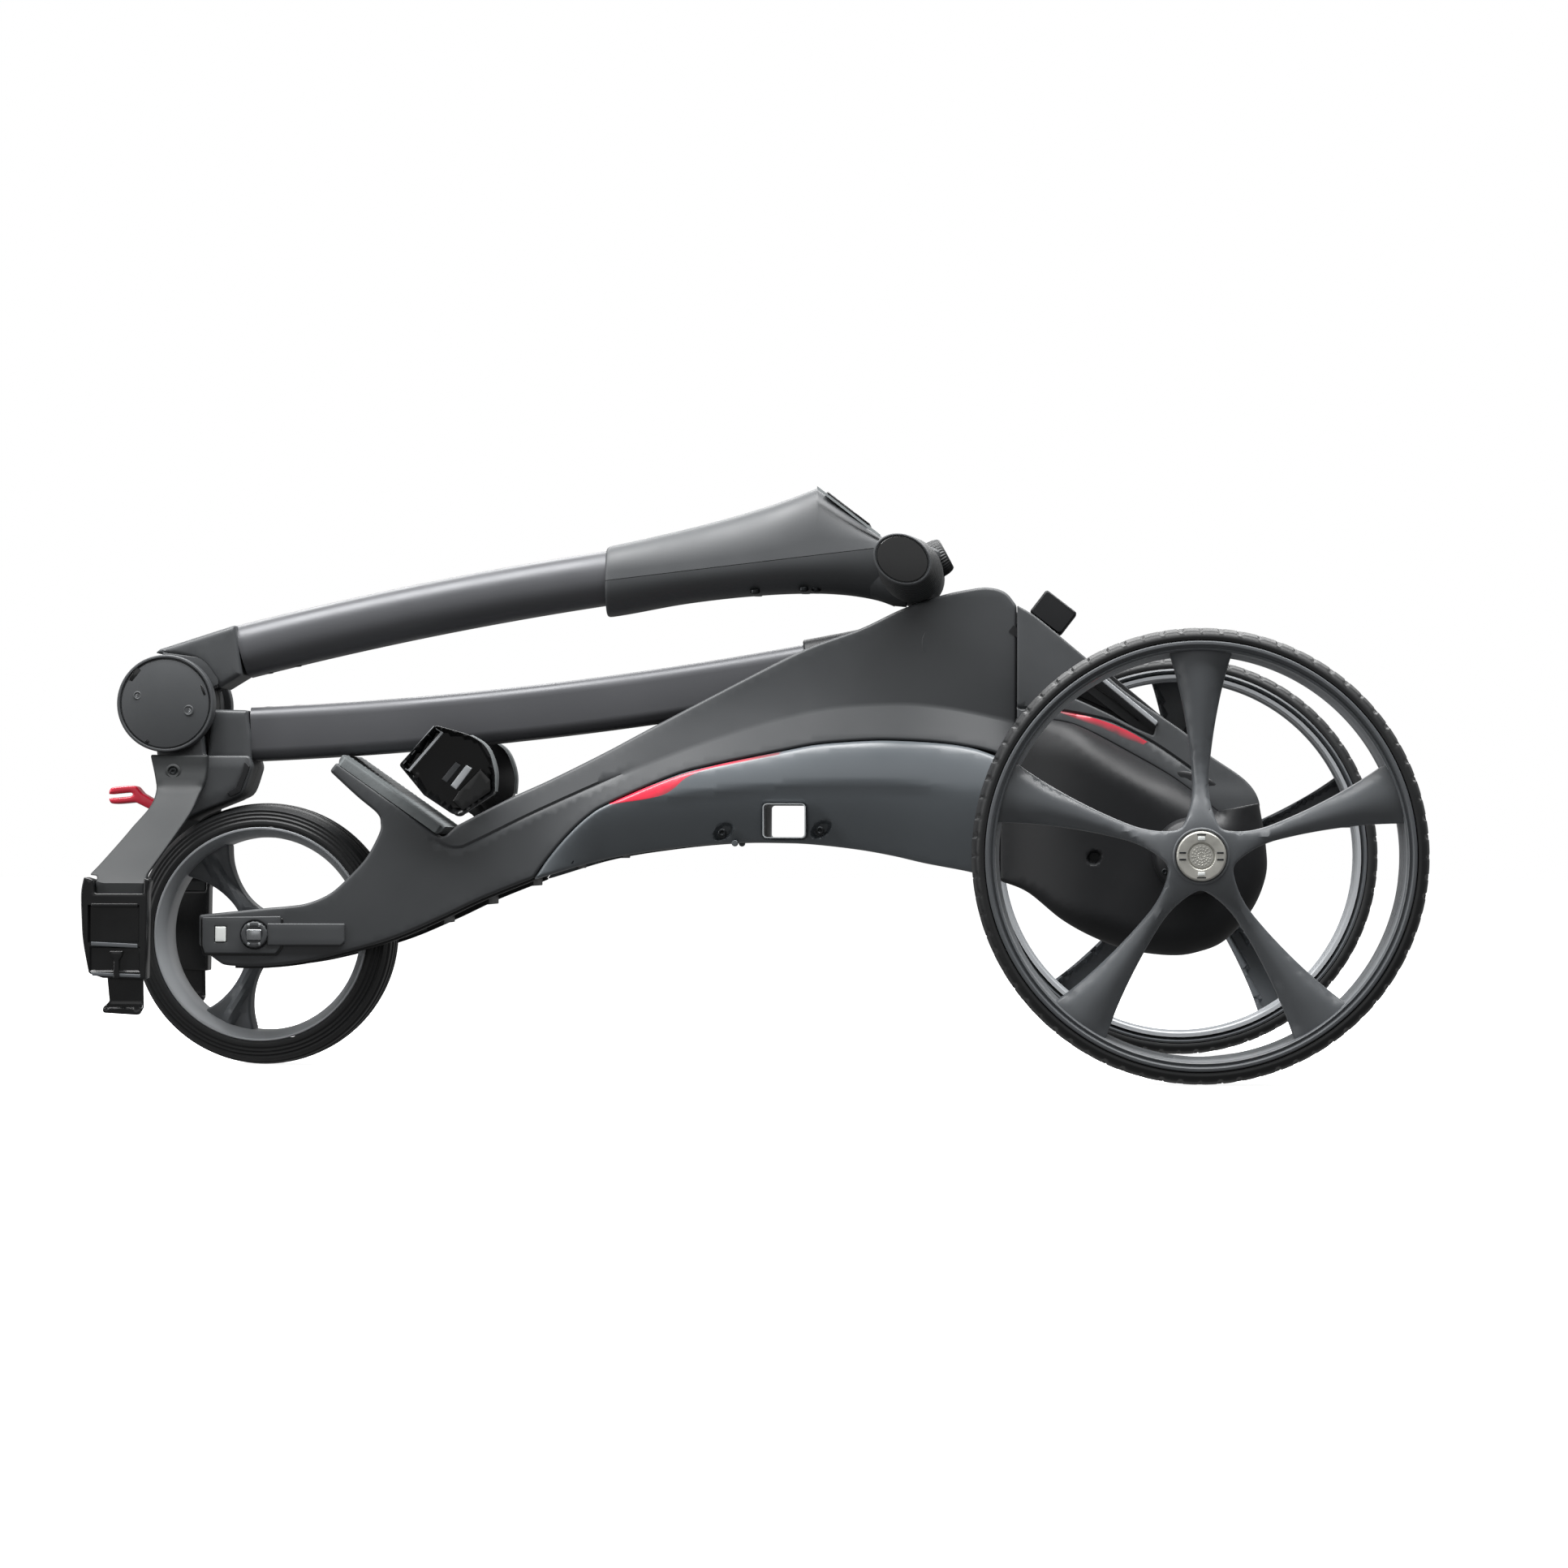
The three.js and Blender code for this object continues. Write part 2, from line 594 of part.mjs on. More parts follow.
// Trumpet-shaped spoke, narrow at its waist and wide where it meets the rim.
function spokeShape(start, end, waistAt, waist, hubFlare, rimFlare) {
  const halfWidth = (r) => r < waistAt
    ? waist + hubFlare * ((waistAt - r) / (waistAt - start)) ** 2
    : waist + rimFlare * ((r - waistAt) / (end - waistAt)) ** 1.7;
  const stations = 6;
  const edge = [];
  for (let i = 0; i <= stations; i++) {
    const r = start + ((end - start) * i) / stations;
    edge.push([r, halfWidth(r)]);
  }
  const shape = new THREE.Shape();
  shape.moveTo(edge[0][0], edge[0][1]);
  edge.slice(1).forEach(([r, w]) => shape.lineTo(r, w));
  edge.reverse().forEach(([r, w]) => shape.lineTo(r, -w));
  return shape;
}

// Solid spokes round an axis along Y, the first of them at the given angle.
function spokes(shape, count, first, x, z, yLow, yHigh) {
  const made = [];
  for (let i = 0; i < count; i++) {
    const spoke = slab(shape, yLow, yHigh);
    spoke.rotateY(-(first + (i * 2 * Math.PI) / count));
    spoke.translate(station(x), 0, z);
    made.push(solid(spoke));
  }
  return joined(...made);
}

function addRearWheels() {
  const rimRadius = REAR_RADIUS - REAR_TYRE_DEPTH - CLEARANCE;
  const barrel = rimRadius - REAR_RIM_LIP;
  const w = REAR_TYRE_WIDTH / 2;
  for (const [word, side] of [["left", -1], ["right", 1]]) {
    const middle = (side * REAR_TRACK) / 2;
    const face = (distance) => middle + side * distance; // outwards from the tyre's middle
    const lathe = (profile) => turned(
      side < 0 ? profile.map(([r, d]) => [r, face(d)]).reverse() : profile.map(([r, d]) => [r, face(d)]),
      0, 0);
    addPart(`rear_tyre_${word}`, lathe(tyreProfile(REAR_RADIUS, REAR_TYRE_WIDTH, REAR_TYRE_DEPTH)),
      finish.rubber);
    const rim = solid(lathe([
      [barrel - REAR_BARREL_DRAFT, -w], [rimRadius, -w], [rimRadius, w], [barrel, w],
      [barrel - REAR_BARREL_DRAFT, -w],
    ]));
    const spokeYs = [face(w - 2), face(w - 24)].sort((a, b) => a - b);
    const arms = spokes(spokeShape(14, barrel + 2, 50, 4.9, 8, 14.2), REAR_SPOKES, Math.PI / 2,
      0, 0, ...spokeYs);
    const nose = w + HUB_OUTSTAND;
    const hub = solid(lathe([[0, -w + 4], [REAR_HUB_RADIUS - 3, -w + 4], [REAR_HUB_RADIUS, w - 24],
      [REAR_HUB_RADIUS, w], [HUB_BUTTON_RADIUS + 3, nose], [0, nose]]));
    const pocket = solid(lathe([[0, w - 4 - HUB_BUTTON_TRAVEL], [HUB_BUTTON_RADIUS + CLEARANCE,
      w - 4 - HUB_BUTTON_TRAVEL], [HUB_BUTTON_RADIUS + CLEARANCE, nose + 1], [0, nose + 1]]));
    const bore = solid(bar(0, 0, AXLE_RADIUS + CLEARANCE, ...[face(-w), face(w)].sort((a, b) => a - b)));
    addPart(`rear_rim_${word}`, cut(joined(rim, arms, hub), pocket, bore), finish.wheel);
    addPart(`hub_button_${word}`, lathe([[0, w - 3], [HUB_BUTTON_RADIUS, w - 3],
      [HUB_BUTTON_RADIUS, nose + 2], [HUB_BUTTON_RADIUS - 2.4, nose + HUB_BUTTON_TRAVEL],
      [0, nose + HUB_BUTTON_TRAVEL]]), finish.steel);
  }
}

function addFrontWheel() {
  const f = FRONT_AXLE;
  const w = FRONT_TYRE_WIDTH / 2;
  const seat = FRONT_RADIUS - FRONT_TYRE_DEPTH;
  addPart("front_tyre", turned(tyreProfile(FRONT_RADIUS, FRONT_TYRE_WIDTH, FRONT_TYRE_DEPTH), f.x, f.z),
    finish.rubber);
  const rimOuter = seat - CLEARANCE;
  const rim = solid(turned([
    [FRONT_BARREL_RADIUS, -w + 12], [rimOuter - 1.5, -w + 1], [rimOuter, -w + 1.5],
    [rimOuter, w - 1.5], [rimOuter - 1.5, w - 1], [FRONT_BARREL_RADIUS, w - 12],
    [FRONT_BARREL_RADIUS, -w + 12],
  ], f.x, f.z));
  const arms = spokes(spokeShape(8, FRONT_BARREL_RADIUS + 2, 32, 5.5, 7, 15), FRONT_SPOKES,
    THREE.MathUtils.degToRad(128), f.x, f.z, -16, 16);
  const hub = solid(bar(f.x, f.z, FRONT_HUB_RADIUS, -w + 1, w - 1));
  const bore = solid(bar(f.x, f.z, FRONT_AXLE_RADIUS + CLEARANCE, -w, w));
  addPart("front_rim", cut(joined(rim, arms, hub), bore), finish.wheel);
  const end = BODY_HALF_WIDTH - 2;
  addPart("front_axle", bar(f.x, f.z, FRONT_AXLE_RADIUS, -end, end), finish.steel);
  // Tracking adjuster on the outside of the left leg, round the end of the axle.
  const y = -BODY_HALF_WIDTH - CLEARANCE;
  addPart("adjuster_plate", cut(
    solid(slab(outline([
      [f.x - 35, f.z + 11], [f.x - 35, f.z - 7], [f.x - 28, f.z - 15], [f.x + 30, f.z - 15],
      [f.x + 34, f.z - 11], [f.x + 34, f.z + 11],
    ]), y - 2.5, y)),
    solid(bar(f.x, f.z, 9 + CLEARANCE, y - 5, y + 1)),
    solid(box(f.x - 25, f.x - 20, y - 5, y + 1, f.z - 4.8, f.z + 4.8)),
  ), finish.collar);
  addPart("adjuster_knob", cut(
    solid(bar(f.x, f.z, 9, y - 6, y)),
    solid(box(f.x - 7, f.x + 7, y - 7, y - 3.5, f.z - 1.6, f.z + 1.6)),
  ), finish.steel);
}

// ---------------------------------------------------------------- bag supports
function addLowerBagSupport() {
  const dx = NOTCH.x - LIP_TIP.x;
  const dz = NOTCH.z - LIP_TIP.z;
  const run = Math.hypot(dx, dz);
  const point = (distance, depth) => [
    LIP_TIP.x + (dx * distance + dz * depth) / run,
    LIP_TIP.z + (dz * distance - dx * depth) / run,
  ];
  addPart("support_lip", cut(solid(slab(outline([
    point(5, 6), point(run - 12, 6), point(run - 12, 12), point(5, 12),
  ]), -SPINE_HALF, SPINE_HALF)), wheelRoom(), shaftRoom()), finish.shell);
  addPart("lip_pad", cut(solid(slab(outline([
    point(4, 1), point(run - 9, 1), point(run - 9, 6 - CLEARANCE), point(4, 6 - CLEARANCE),
  ]), -SPINE_HALF, SPINE_HALF)), shaftRoom()), finish.rubber);
  const wing = () => outline([
    [-489, 26], [-482.5, 26], [-461, 40], [-461, 55, true], [-465, 69, true], [-476, 78.5],
    [-500, 86], [-524.4, 59], [-519, 52.5], [-508, 39],
  ]);
  const flare = (x, z) => 0.18 * Math.max(0, z - 34) + 0.12 * Math.max(0, -480 - x);
  addPair("support_wing", (side) => cut(
    solid(lean(sideSlab(wing(), side, BODY_HALF_WIDTH + CLEARANCE, 70, 3),
      (x, z) => side * flare(x, z))),
    solid(lean(sideSlab(outline([[-499, 36.8], [-489, 49.8], [-485.8, 46.6], [-496, 34.7]]),
      side, 50, 90), (x, z) => side * flare(x, z))),
  ), finish.black);
}

function addUpperBagSupport() {
  addPart("support_yoke", cut(solid(slab(outline([
    [-692, 55], [-674, 62], [-631.5, 62], [-636, 42], [-644, 36], [-672, 24], [-690, 40],
  ]), -34, 34)), wheelRoom(), shaftRoom(), neckRoom()), finish.collar);
  // Each arm splays outwards as it goes down from the yoke.
  const top = 66;
  const underDisc = Math.min(64, HINGE.z - HINGE_DISC_RADIUS - 3);
  const bottom = -19;
  const splay = (z) => 38.5 + CLEARANCE + ((ARM_SPLAY - 38.9) * Math.min(1, Math.max(0, (top - 22 - z)
    / (top - 22 - bottom))));
  addPair("support_arm", (side) => {
    const arm = lean(sideSlab(outline([
      [-696, underDisc], [-657, underDisc], [-658, 44], [-656, 33], [-664, 14], [-684.6, -14.3],
      [-684.6, -26], [-714, -26], [-716, -14.3], [-722.5, -14.3], [-716, -5], [-701, 16.6], [-690, 38],
    ]), side, -ARM_THICKNESS / 2, ARM_THICKNESS / 2), (x, z) => side * splay(z));
    return solid(arm);
  }, finish.collar);
  const low = ARM_SPLAY - BRACKET_WIDTH / 2;
  const high = ARM_SPLAY + BRACKET_WIDTH / 2;
  addPair("strap_bracket", (side) => cut(
    solid(sideSlab(outline([
      [-716.6, -17.5], [-723.6, -15.2], [-725.4, -26, true], [-724.8, -57.8, true], [-720, -78.5],
      [-711, -82], [-682.5, -83], [-681, -24], [-680, -17], [-683.5, -15.6], [-683.5, -27],
      [-716, -27],
    ]), side, low, high, 4)),
    solid(sideSlab(outline([[-719, -34], [-719, -57], [-686, -57], [-686, -34]]),
      side, low - 1, high - 4)),
  ), finish.black);
  addPair("strap_hook", (side) => sideSlab(outline([
    [-710, -84], [-708.5, -97], [-712.3, -101.8], [-711.4, -105], [-687.4, -106.2], [-684.7, -101],
    [-685.3, -84.5],
  ]), side, ARM_SPLAY - 4, ARM_SPLAY + 3), finish.black);
  addPart("bag_strap", box(-718.4, -718.4 + STRAP_THICKNESS, -high + 6, high - 6,
    -56, -56 + STRAP_WIDTH), finish.strap);
  addPart("release_lever", cut(
    solid(slab(outline([
      [-696, 34], [-707, 40], [-712, 46], [-729.6, 43.6], [-730.5, 36.5], [-727, 33], [-712, 34.5],
      [-700, 28],
    ]), -9, 9)),
    solid(box(-735, -716, -10, 10, 37.6, 39.4)),
  ), finish.red);
}

// ---------------------------------------------------------------- folding shafts
function tubeSection(grow) {
  return roundedRectangle(TUBE_WIDTH + 2 * grow, TUBE_HEIGHT + 2 * grow, 13 + grow);
}

function hollowTube(curve, steps) {
  const section = tubeSection(0);
  section.holes.push(new THREE.Path(
    roundedRectangle(TUBE_WIDTH - 2 * TUBE_WALL, TUBE_HEIGHT - 2 * TUBE_WALL, 13 - TUBE_WALL)
      .getPoints(2).reverse(),
  ));
  return swept(section, curve, steps);
}

// Inner stub that a collar puts into the tube's end.
const stubSection = () => roundedRectangle(TUBE_WIDTH - 2 * (TUBE_WALL + 2 * CLEARANCE),
  TUBE_HEIGHT - 2 * (TUBE_WALL + 2 * CLEARANCE), 11.5);

// Half width of the knuckles that sit between the two hinge discs.
const KNUCKLE_HALF = HINGE_HALF_WIDTH - HINGE_DISC_THICKNESS - CLEARANCE;

function addLowerShaft() {
  const insertion = 30; // length of tube inside the socket
  addPart("lower_tube", hollowTube(lowerBow(LOWER_TUBE_START, LOWER_TUBE_END + insertion), 7),
    finish.shaft);
  // Foot of the shaft: a socket round the tube that ends in a rounded eye at the pivot.
  const socket = solid(swept(tubeSection(COLLAR_WALL + CLEARANCE), lowerBow(LOWER_TUBE_END, PIVOT.x), 2));
  const room = joined(
    solid(swept(tubeSection(CLEARANCE), lowerBow(LOWER_TUBE_START, LOWER_TUBE_END + insertion), 7)),
    solid(swept(tubeSection(CLEARANCE),
      lowerBow(LOWER_TUBE_END + insertion - 4, LOWER_TUBE_END + insertion + 1), 1)),
  );
  const eye = solid(bar(PIVOT.x, PIVOT.z, SLEEVE_RADIUS, -TUBE_WIDTH / 2, TUBE_WIDTH / 2, 32));
  const pinHole = solid(bar(PIVOT.x, PIVOT.z, PIVOT_PIN_RADIUS + CLEARANCE, -60, 60));
  addPart("pivot_sleeve", cut(joined(socket, eye), room, pinHole), finish.collar);
  addPart("pivot_pin", bar(PIVOT.x, PIVOT.z, PIVOT_PIN_RADIUS, -BODY_HALF_WIDTH + 5,
    BODY_HALF_WIDTH - 5), finish.steel);

  // Lower half of the hinge: centre knuckle, and the socket that holds the tube.
  const third = KNUCKLE_HALF / 3;
  const hingeHole = solid(bar(HINGE.x, HINGE.z, HINGE_PIN_RADIUS + CLEARANCE, -60, 60));
  const knuckle = solid(bar(HINGE.x, HINGE.z, KNUCKLE_RADIUS, -third, third, 32));
  const web = solid(slab(outline([
    [HINGE.x - 14, HINGE.z - 23], [HINGE.x, HINGE.z - 29], [HINGE.x + 13, HINGE.z - 33.5],
    [HINGE.x + 30, HINGE.z - 36],
    [HINGE.x + 30, HINGE.z - 8], [HINGE.x, HINGE.z],
  ]), -third, third));
  const neck = solid(swept(neckSection(0), lowerBow(HINGE.x + 31, LOWER_TUBE_START - CLEARANCE), 1));
  const stub = solid(swept(stubSection(), lowerBow(HINGE.x + 40, LOWER_TUBE_START + 25), 2));
  const plug = solid(box(HINGE.x + 20, HINGE.x + 36, -third, third, HINGE.z - 36, HINGE.z - 8));
  addPart("lower_hinge_collar", cut(joined(knuckle, web, neck, plug, stub), hingeHole),
    finish.collar);
  addPart("hinge_pin", bar(HINGE.x, HINGE.z, HINGE_PIN_RADIUS, -HINGE_HALF_WIDTH + 8,
    HINGE_HALF_WIDTH - 8), finish.steel);
}

function addUpperShaft() {
  addPart("upper_tube", hollowTube(upperBow(UPPER_TUBE_START, UPPER_TUBE_END), 6), finish.shaft);
  const third = KNUCKLE_HALF / 3;
  const hingeHole = solid(bar(HINGE.x, HINGE.z, HINGE_PIN_RADIUS + CLEARANCE, -60, 60));
  const outer = TUBE_WIDTH / 2 + COLLAR_WALL;
  const collar = solid(slab(outline([
    [HINGE.x - 10.6, HINGE.z + 35.3], [HINGE.x + 44.3, HINGE.z + 53.8], [HINGE.x + 49, HINGE.z + 19.8],
    [HINGE.x + 33, HINGE.z + 10.5], [HINGE.x + 29, HINGE.z + 16], [HINGE.x + 18, HINGE.z + 28.5],
    [HINGE.x, HINGE.z + 33.6],
  ]), -outer, outer));
  const ears = [-1, 1].map((side) => joined(
    solid(sideBar(HINGE.x, HINGE.z, KNUCKLE_RADIUS, side, third + CLEARANCE, KNUCKLE_HALF, 32)),
    solid(sideSlab(outline([
      [HINGE.x - 6, HINGE.z + 20], [HINGE.x + 22, HINGE.z + 6], [HINGE.x + 34, HINGE.z + 13],
      [HINGE.x + 34, HINGE.z + 30], [HINGE.x - 6, HINGE.z + 35],
    ]), side, third + CLEARANCE, KNUCKLE_HALF)),
  ));
  const stub = solid(swept(stubSection(), upperBow(UPPER_TUBE_START - 12, UPPER_TUBE_START + 25), 2));
  const tubeEnd = solid(swept(tubeSection(CLEARANCE),
    upperBow(UPPER_TUBE_START - CLEARANCE, UPPER_TUBE_START + 40), 3));
  const knuckleRoom = solid(bar(HINGE.x, HINGE.z, KNUCKLE_RADIUS + 2, -third - CLEARANCE,
    third + CLEARANCE, 32));
  addPart("upper_hinge_collar",
    joined(cut(joined(collar, ...ears), hingeHole, tubeEnd, knuckleRoom), stub), finish.collar);
  addPair("hinge_disc", (side) => cut(
    solid(sideBar(HINGE.x, HINGE.z, HINGE_DISC_RADIUS, side, KNUCKLE_HALF + CLEARANCE,
      HINGE_HALF_WIDTH, ROUND_STEPS)),
    solid(sideBar(HINGE.x, HINGE.z, HINGE_PIN_RADIUS + CLEARANCE, side, 20, HINGE_HALF_WIDTH - 7)),
  ), finish.collar);
}

// ---------------------------------------------------------------- handle
function ovalShape(x, z, major, minor, tilt) {
  const shape = new THREE.Shape();
  shape.absellipse(station(x), z, major, minor, 0, 2 * Math.PI, false, tilt);
  return shape;
}

function addHandle() {
  const split = (x) => 184.8 + (x + 387) * 0.1175; // height of the seam between the stem's halves
  // Heights of the stem's mouth, past the tube's top or bottom.
  const overTube = (x, wall) => upperBow(x, x + 1).heightAt(x) + TUBE_HEIGHT / 2 + wall;
  const underTube = (x, wall) => upperBow(x, x + 1).heightAt(x) - TUBE_HEIGHT / 2 - wall;
  const upperHalf = outline([
    [-390.5, split(-390.5) + CLEARANCE], [-222, split(-222) + CLEARANCE], [-206, 214.7],
    [-248.9, 247.8], [-290.3, 233, true], [-358.5, overTube(-358.5, 5.1), true],
    [-392, overTube(-392, 2.1)],
  ]);
  const lowerHalf = outline([
    [-390, split(-390)], [-384.6, underTube(-384.6, 7.6)],
    [-338.8, underTube(-338.8, 5.9), true], [-300, 174.5, true],
    [-255, 177, true], [-222, 174.6, true], [-208, 172],
    [-213, 188], [-222, split(-222)],
  ]);
  const room = solid(swept(tubeSection(CLEARANCE), upperBow(-400, UPPER_TUBE_END + CLEARANCE), 4));
  const sides = STEM_HALF_WIDTH;
  const grip = solid(slab(ovalShape(GRIP.x, GRIP.z, GRIP_MAJOR + CLEARANCE, GRIP_MINOR + CLEARANCE,
    GRIP_TILT), -60, 60, 12));
  addPart("stem_upper", cut(solid(slab(upperHalf, -sides, sides, 4)), room, grip), finish.collar);
  addPart("stem_lower", cut(solid(slab(lowerHalf, -sides, sides, 4)), room, grip), finish.collar);
  const middle = 34; // half length of the bar's bare centre, which carries the controls
  const dialAxis = new THREE.Vector3(0.88, 0, 0.475).normalize();
  // A round piece on the dial's axis, between two distances from the middle of the bar.
  const onDialAxis = (radiusLow, radiusHigh, low, high) => {
    const geometry = new THREE.CylinderGeometry(radiusHigh, radiusLow, high - low, 24);
    geometry.applyQuaternion(new THREE.Quaternion().setFromUnitVectors(
      new THREE.Vector3(0, 1, 0), dialAxis));
    const middle = new THREE.Vector3(GRIP.x, 0, GRIP.z)
      .addScaledVector(dialAxis, (low + high) / 2);
    return geometry.translate(middle.x, middle.y, middle.z);
  };
  const seatDepth = 14;
  const dialBase = seatDepth + DIAL_PRESS + CLEARANCE;
  const core = solid(slab(ovalShape(GRIP.x, GRIP.z, GRIP_MAJOR - 4, GRIP_MINOR - 4, GRIP_TILT),
    -GRIP_HALF_LENGTH + 3, GRIP_HALF_LENGTH - 3, 10));
  const pod = solid(slab(ovalShape(GRIP.x, GRIP.z, GRIP_MAJOR, GRIP_MINOR, GRIP_TILT),
    -middle, middle, 10));
  const panel = solid(slab(outline([
    [GRIP.x - 13, GRIP.z + 23], [GRIP.x - 6, GRIP.z + 24.5], [GRIP.x + 20, GRIP.z + 13.5],
    [GRIP.x + 8, GRIP.z - 2], [GRIP.x - 10, GRIP.z + 6],
  ]), -26, 26));
  addPart("handle_bar", cut(joined(core, pod, panel),
    solid(onDialAxis(DIAL_RADIUS + CLEARANCE, DIAL_RADIUS + CLEARANCE, seatDepth, 60)),
    solid(onDialAxis(3 + CLEARANCE, 3 + CLEARANCE, seatDepth - 9, seatDepth + 1))), finish.collar);
  addPair("grip", (side) => cut(
    solid(sideSlab(ovalShape(GRIP.x, GRIP.z, GRIP_MAJOR, GRIP_MINOR, GRIP_TILT), side,
      middle + CLEARANCE, GRIP_HALF_LENGTH, 12)),
    solid(sideSlab(ovalShape(GRIP.x, GRIP.z, GRIP_MAJOR - 4 + CLEARANCE, GRIP_MINOR - 4 + CLEARANCE,
      GRIP_TILT), side, middle, GRIP_HALF_LENGTH - 3 + CLEARANCE, 10)),
  ), finish.rubber);
  addPart("speed_dial", onDialAxis(DIAL_RADIUS, DIAL_RADIUS - 1.5, dialBase,
    dialBase + DIAL_HEIGHT), finish.black);
  addPart("dial_shaft", onDialAxis(3, 3, seatDepth - 6, dialBase - CLEARANCE), finish.steel);
  // Screen let into the sloping face between the stem's peak and the bar.
  addPart("display_window", slab(outline([
    [-243.9, 245.2], [-214, 222.4], [-212.8, 224], [-242.7, 246.8],
  ]), -19, 19), finish.glass);
}

// ---------------------------------------------------------------- whole trolley
addSideFrames();
addBellyShells();
addRearCovers();
addMotor();
addDrive();
addRearWheels();
addFrontWheel();
addLowerBagSupport();
group = foldedShafts;
addUpperBagSupport();
addLowerShaft();
addUpperShaft();
addHandle();

// The folded shafts lie just over the front wheel, and tip up about their pivot to clear it.
const lift = Math.max(0, GROUND + 2 * FRONT_RADIUS - WHEEL_TOP_UNDER_SHAFTS);
const tilt = Math.atan2(lift, PIVOT.x - station(HINGE.x + 60));
const pivot = new THREE.Vector3(PIVOT.x, 0, PIVOT.z);
foldedShafts.rotation.y = tilt;
foldedShafts.position.copy(pivot).sub(pivot.clone().applyEuler(foldedShafts.rotation));

const extent = new THREE.Box3().setFromObject(trolley);
trolley.position.set(-(extent.min.x + extent.max.x) / 2, 0, -extent.min.z);

export default trolley;
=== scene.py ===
"""Electric golf trolley, folded flat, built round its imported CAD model.

Shapes are drawn in millimetres in a side plane: x from the rear axle towards the rear, z up from
the ground, and y as a distance from the trolley's centre plane. They are moved into the row frame
in metres when a piece is made.
"""

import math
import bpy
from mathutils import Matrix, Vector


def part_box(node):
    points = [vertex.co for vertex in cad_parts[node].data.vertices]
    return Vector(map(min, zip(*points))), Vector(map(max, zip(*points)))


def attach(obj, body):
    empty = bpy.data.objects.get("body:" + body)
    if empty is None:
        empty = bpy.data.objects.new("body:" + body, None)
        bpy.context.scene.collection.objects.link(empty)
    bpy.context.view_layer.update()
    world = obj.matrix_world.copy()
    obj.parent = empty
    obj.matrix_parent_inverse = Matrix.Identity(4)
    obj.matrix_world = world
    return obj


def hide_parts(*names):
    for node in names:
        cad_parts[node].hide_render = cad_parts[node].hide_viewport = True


bl_info = {
    "name": "Folding Golf Trolley",
    "version": (1, 0, 0),
    "blender": (4, 5, 0),
    "location": "View3D > Sidebar > Trolley",
    "description": "Builds the looks of a folded electric golf trolley round its CAD frame",
    "category": "Object",
}

import bmesh
import bpy
import numpy as np
from mathutils import Matrix, Vector
from mathutils.geometry import delaunay_2d_cdt

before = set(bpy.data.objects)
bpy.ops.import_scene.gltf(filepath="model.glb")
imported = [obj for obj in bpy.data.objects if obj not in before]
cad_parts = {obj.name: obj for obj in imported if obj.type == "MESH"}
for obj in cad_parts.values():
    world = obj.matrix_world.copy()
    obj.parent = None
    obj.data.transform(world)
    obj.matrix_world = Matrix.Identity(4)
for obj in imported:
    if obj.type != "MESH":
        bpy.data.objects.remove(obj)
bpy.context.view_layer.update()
SIDES = (("left", -1), ("right", 1))


# ------------------------------------------------------------------ places from the CAD frame
def lowest(node):
    """A CAD node's lowest corner in millimetres."""
    return np.array(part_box(node)[0]) * 1000.0


def highest(node):
    """A CAD node's highest corner in millimetres."""
    return np.array(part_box(node)[1]) * 1000.0


def middle(node):
    return (lowest(node) + highest(node)) / 2


AXLE_X = middle("drive_axle")[0]  # every drawn x starts at the rear axle
REAR = (0.0, middle("drive_axle")[2])
REAR_RADIUS = (highest("rear_tyre_left")[2] - lowest("rear_tyre_left")[2]) / 2
REAR_MIDDLE = abs(middle("rear_tyre_left")[1])
REAR_HALF = (highest("rear_tyre_left")[1] - lowest("rear_tyre_left")[1]) / 2
FRONT = (middle("front_tyre")[0] - AXLE_X, middle("front_tyre")[2])
FRONT_RADIUS = (highest("front_tyre")[2] - lowest("front_tyre")[2]) / 2
FRONT_HALF = highest("front_tyre")[1]
HINGE = (middle("hinge_disc_left")[0] - AXLE_X, middle("hinge_disc_left")[2])
DISC_RADIUS = (highest("hinge_disc_left")[2] - lowest("hinge_disc_left")[2]) / 2
DISC_FACE = highest("hinge_disc_right")[1]
PIVOT = (middle("pivot_pin")[0] - AXLE_X, middle("pivot_pin")[2])
SHELL_FACE = highest("belly_shell_right")[1]
SHELL_INSIDE = lowest("belly_shell_right")[1]
DRUM = (-13.0, REAR[1] - 3.0)
DRUM_RADIUS = highest("motor_housing")[0] - AXLE_X - DRUM[0]
GRIP = (middle("grip_left")[0] - AXLE_X, middle("grip_left")[2])
BAR_END = highest("grip_right")[1]
HUB_FACE = highest("hub_button_right")[1]
REAR_SPOKES, FRONT_SPOKES = 5, 3
TUBE_HALF_WIDTH, TUBE_HALF_HEIGHT = 24.0, 18.0  # both shafts
COLLAR_HALF = 27.2  # half width of the collars and the sleeve, which go round the shafts
SCREW = "steel_black_oxide"
# down the battery seat and the screen panel, and square to them
SLOPE_ALONG, SLOPE_OUT = np.array([0.793, -0.609]), np.array([0.609, 0.793])


# ------------------------------------------------------------------ settings
def length_prop(name, description, default):
    """A length in metres that a user can change."""
    return bpy.props.FloatProperty(name=name, description=description, default=default,
                                   min=0.0, unit="LENGTH", subtype="DISTANCE")


def colour_prop(name, description, text):
    """A colour that a user can change, from its sRGB hex value."""
    return bpy.props.FloatVectorProperty(name=name, description=description,
                                         default=linear(text), size=4, min=0.0, max=1.0,
                                         subtype="COLOR")


def linear(text):
    """An sRGB hex colour as linear RGBA."""
    parts = [int(text[i:i + 2], 16) / 255 for i in (0, 2, 4)]
    return (*[c / 12.92 if c <= 0.04045 else ((c + 0.055) / 1.055) ** 2.4 for c in parts], 1.0)


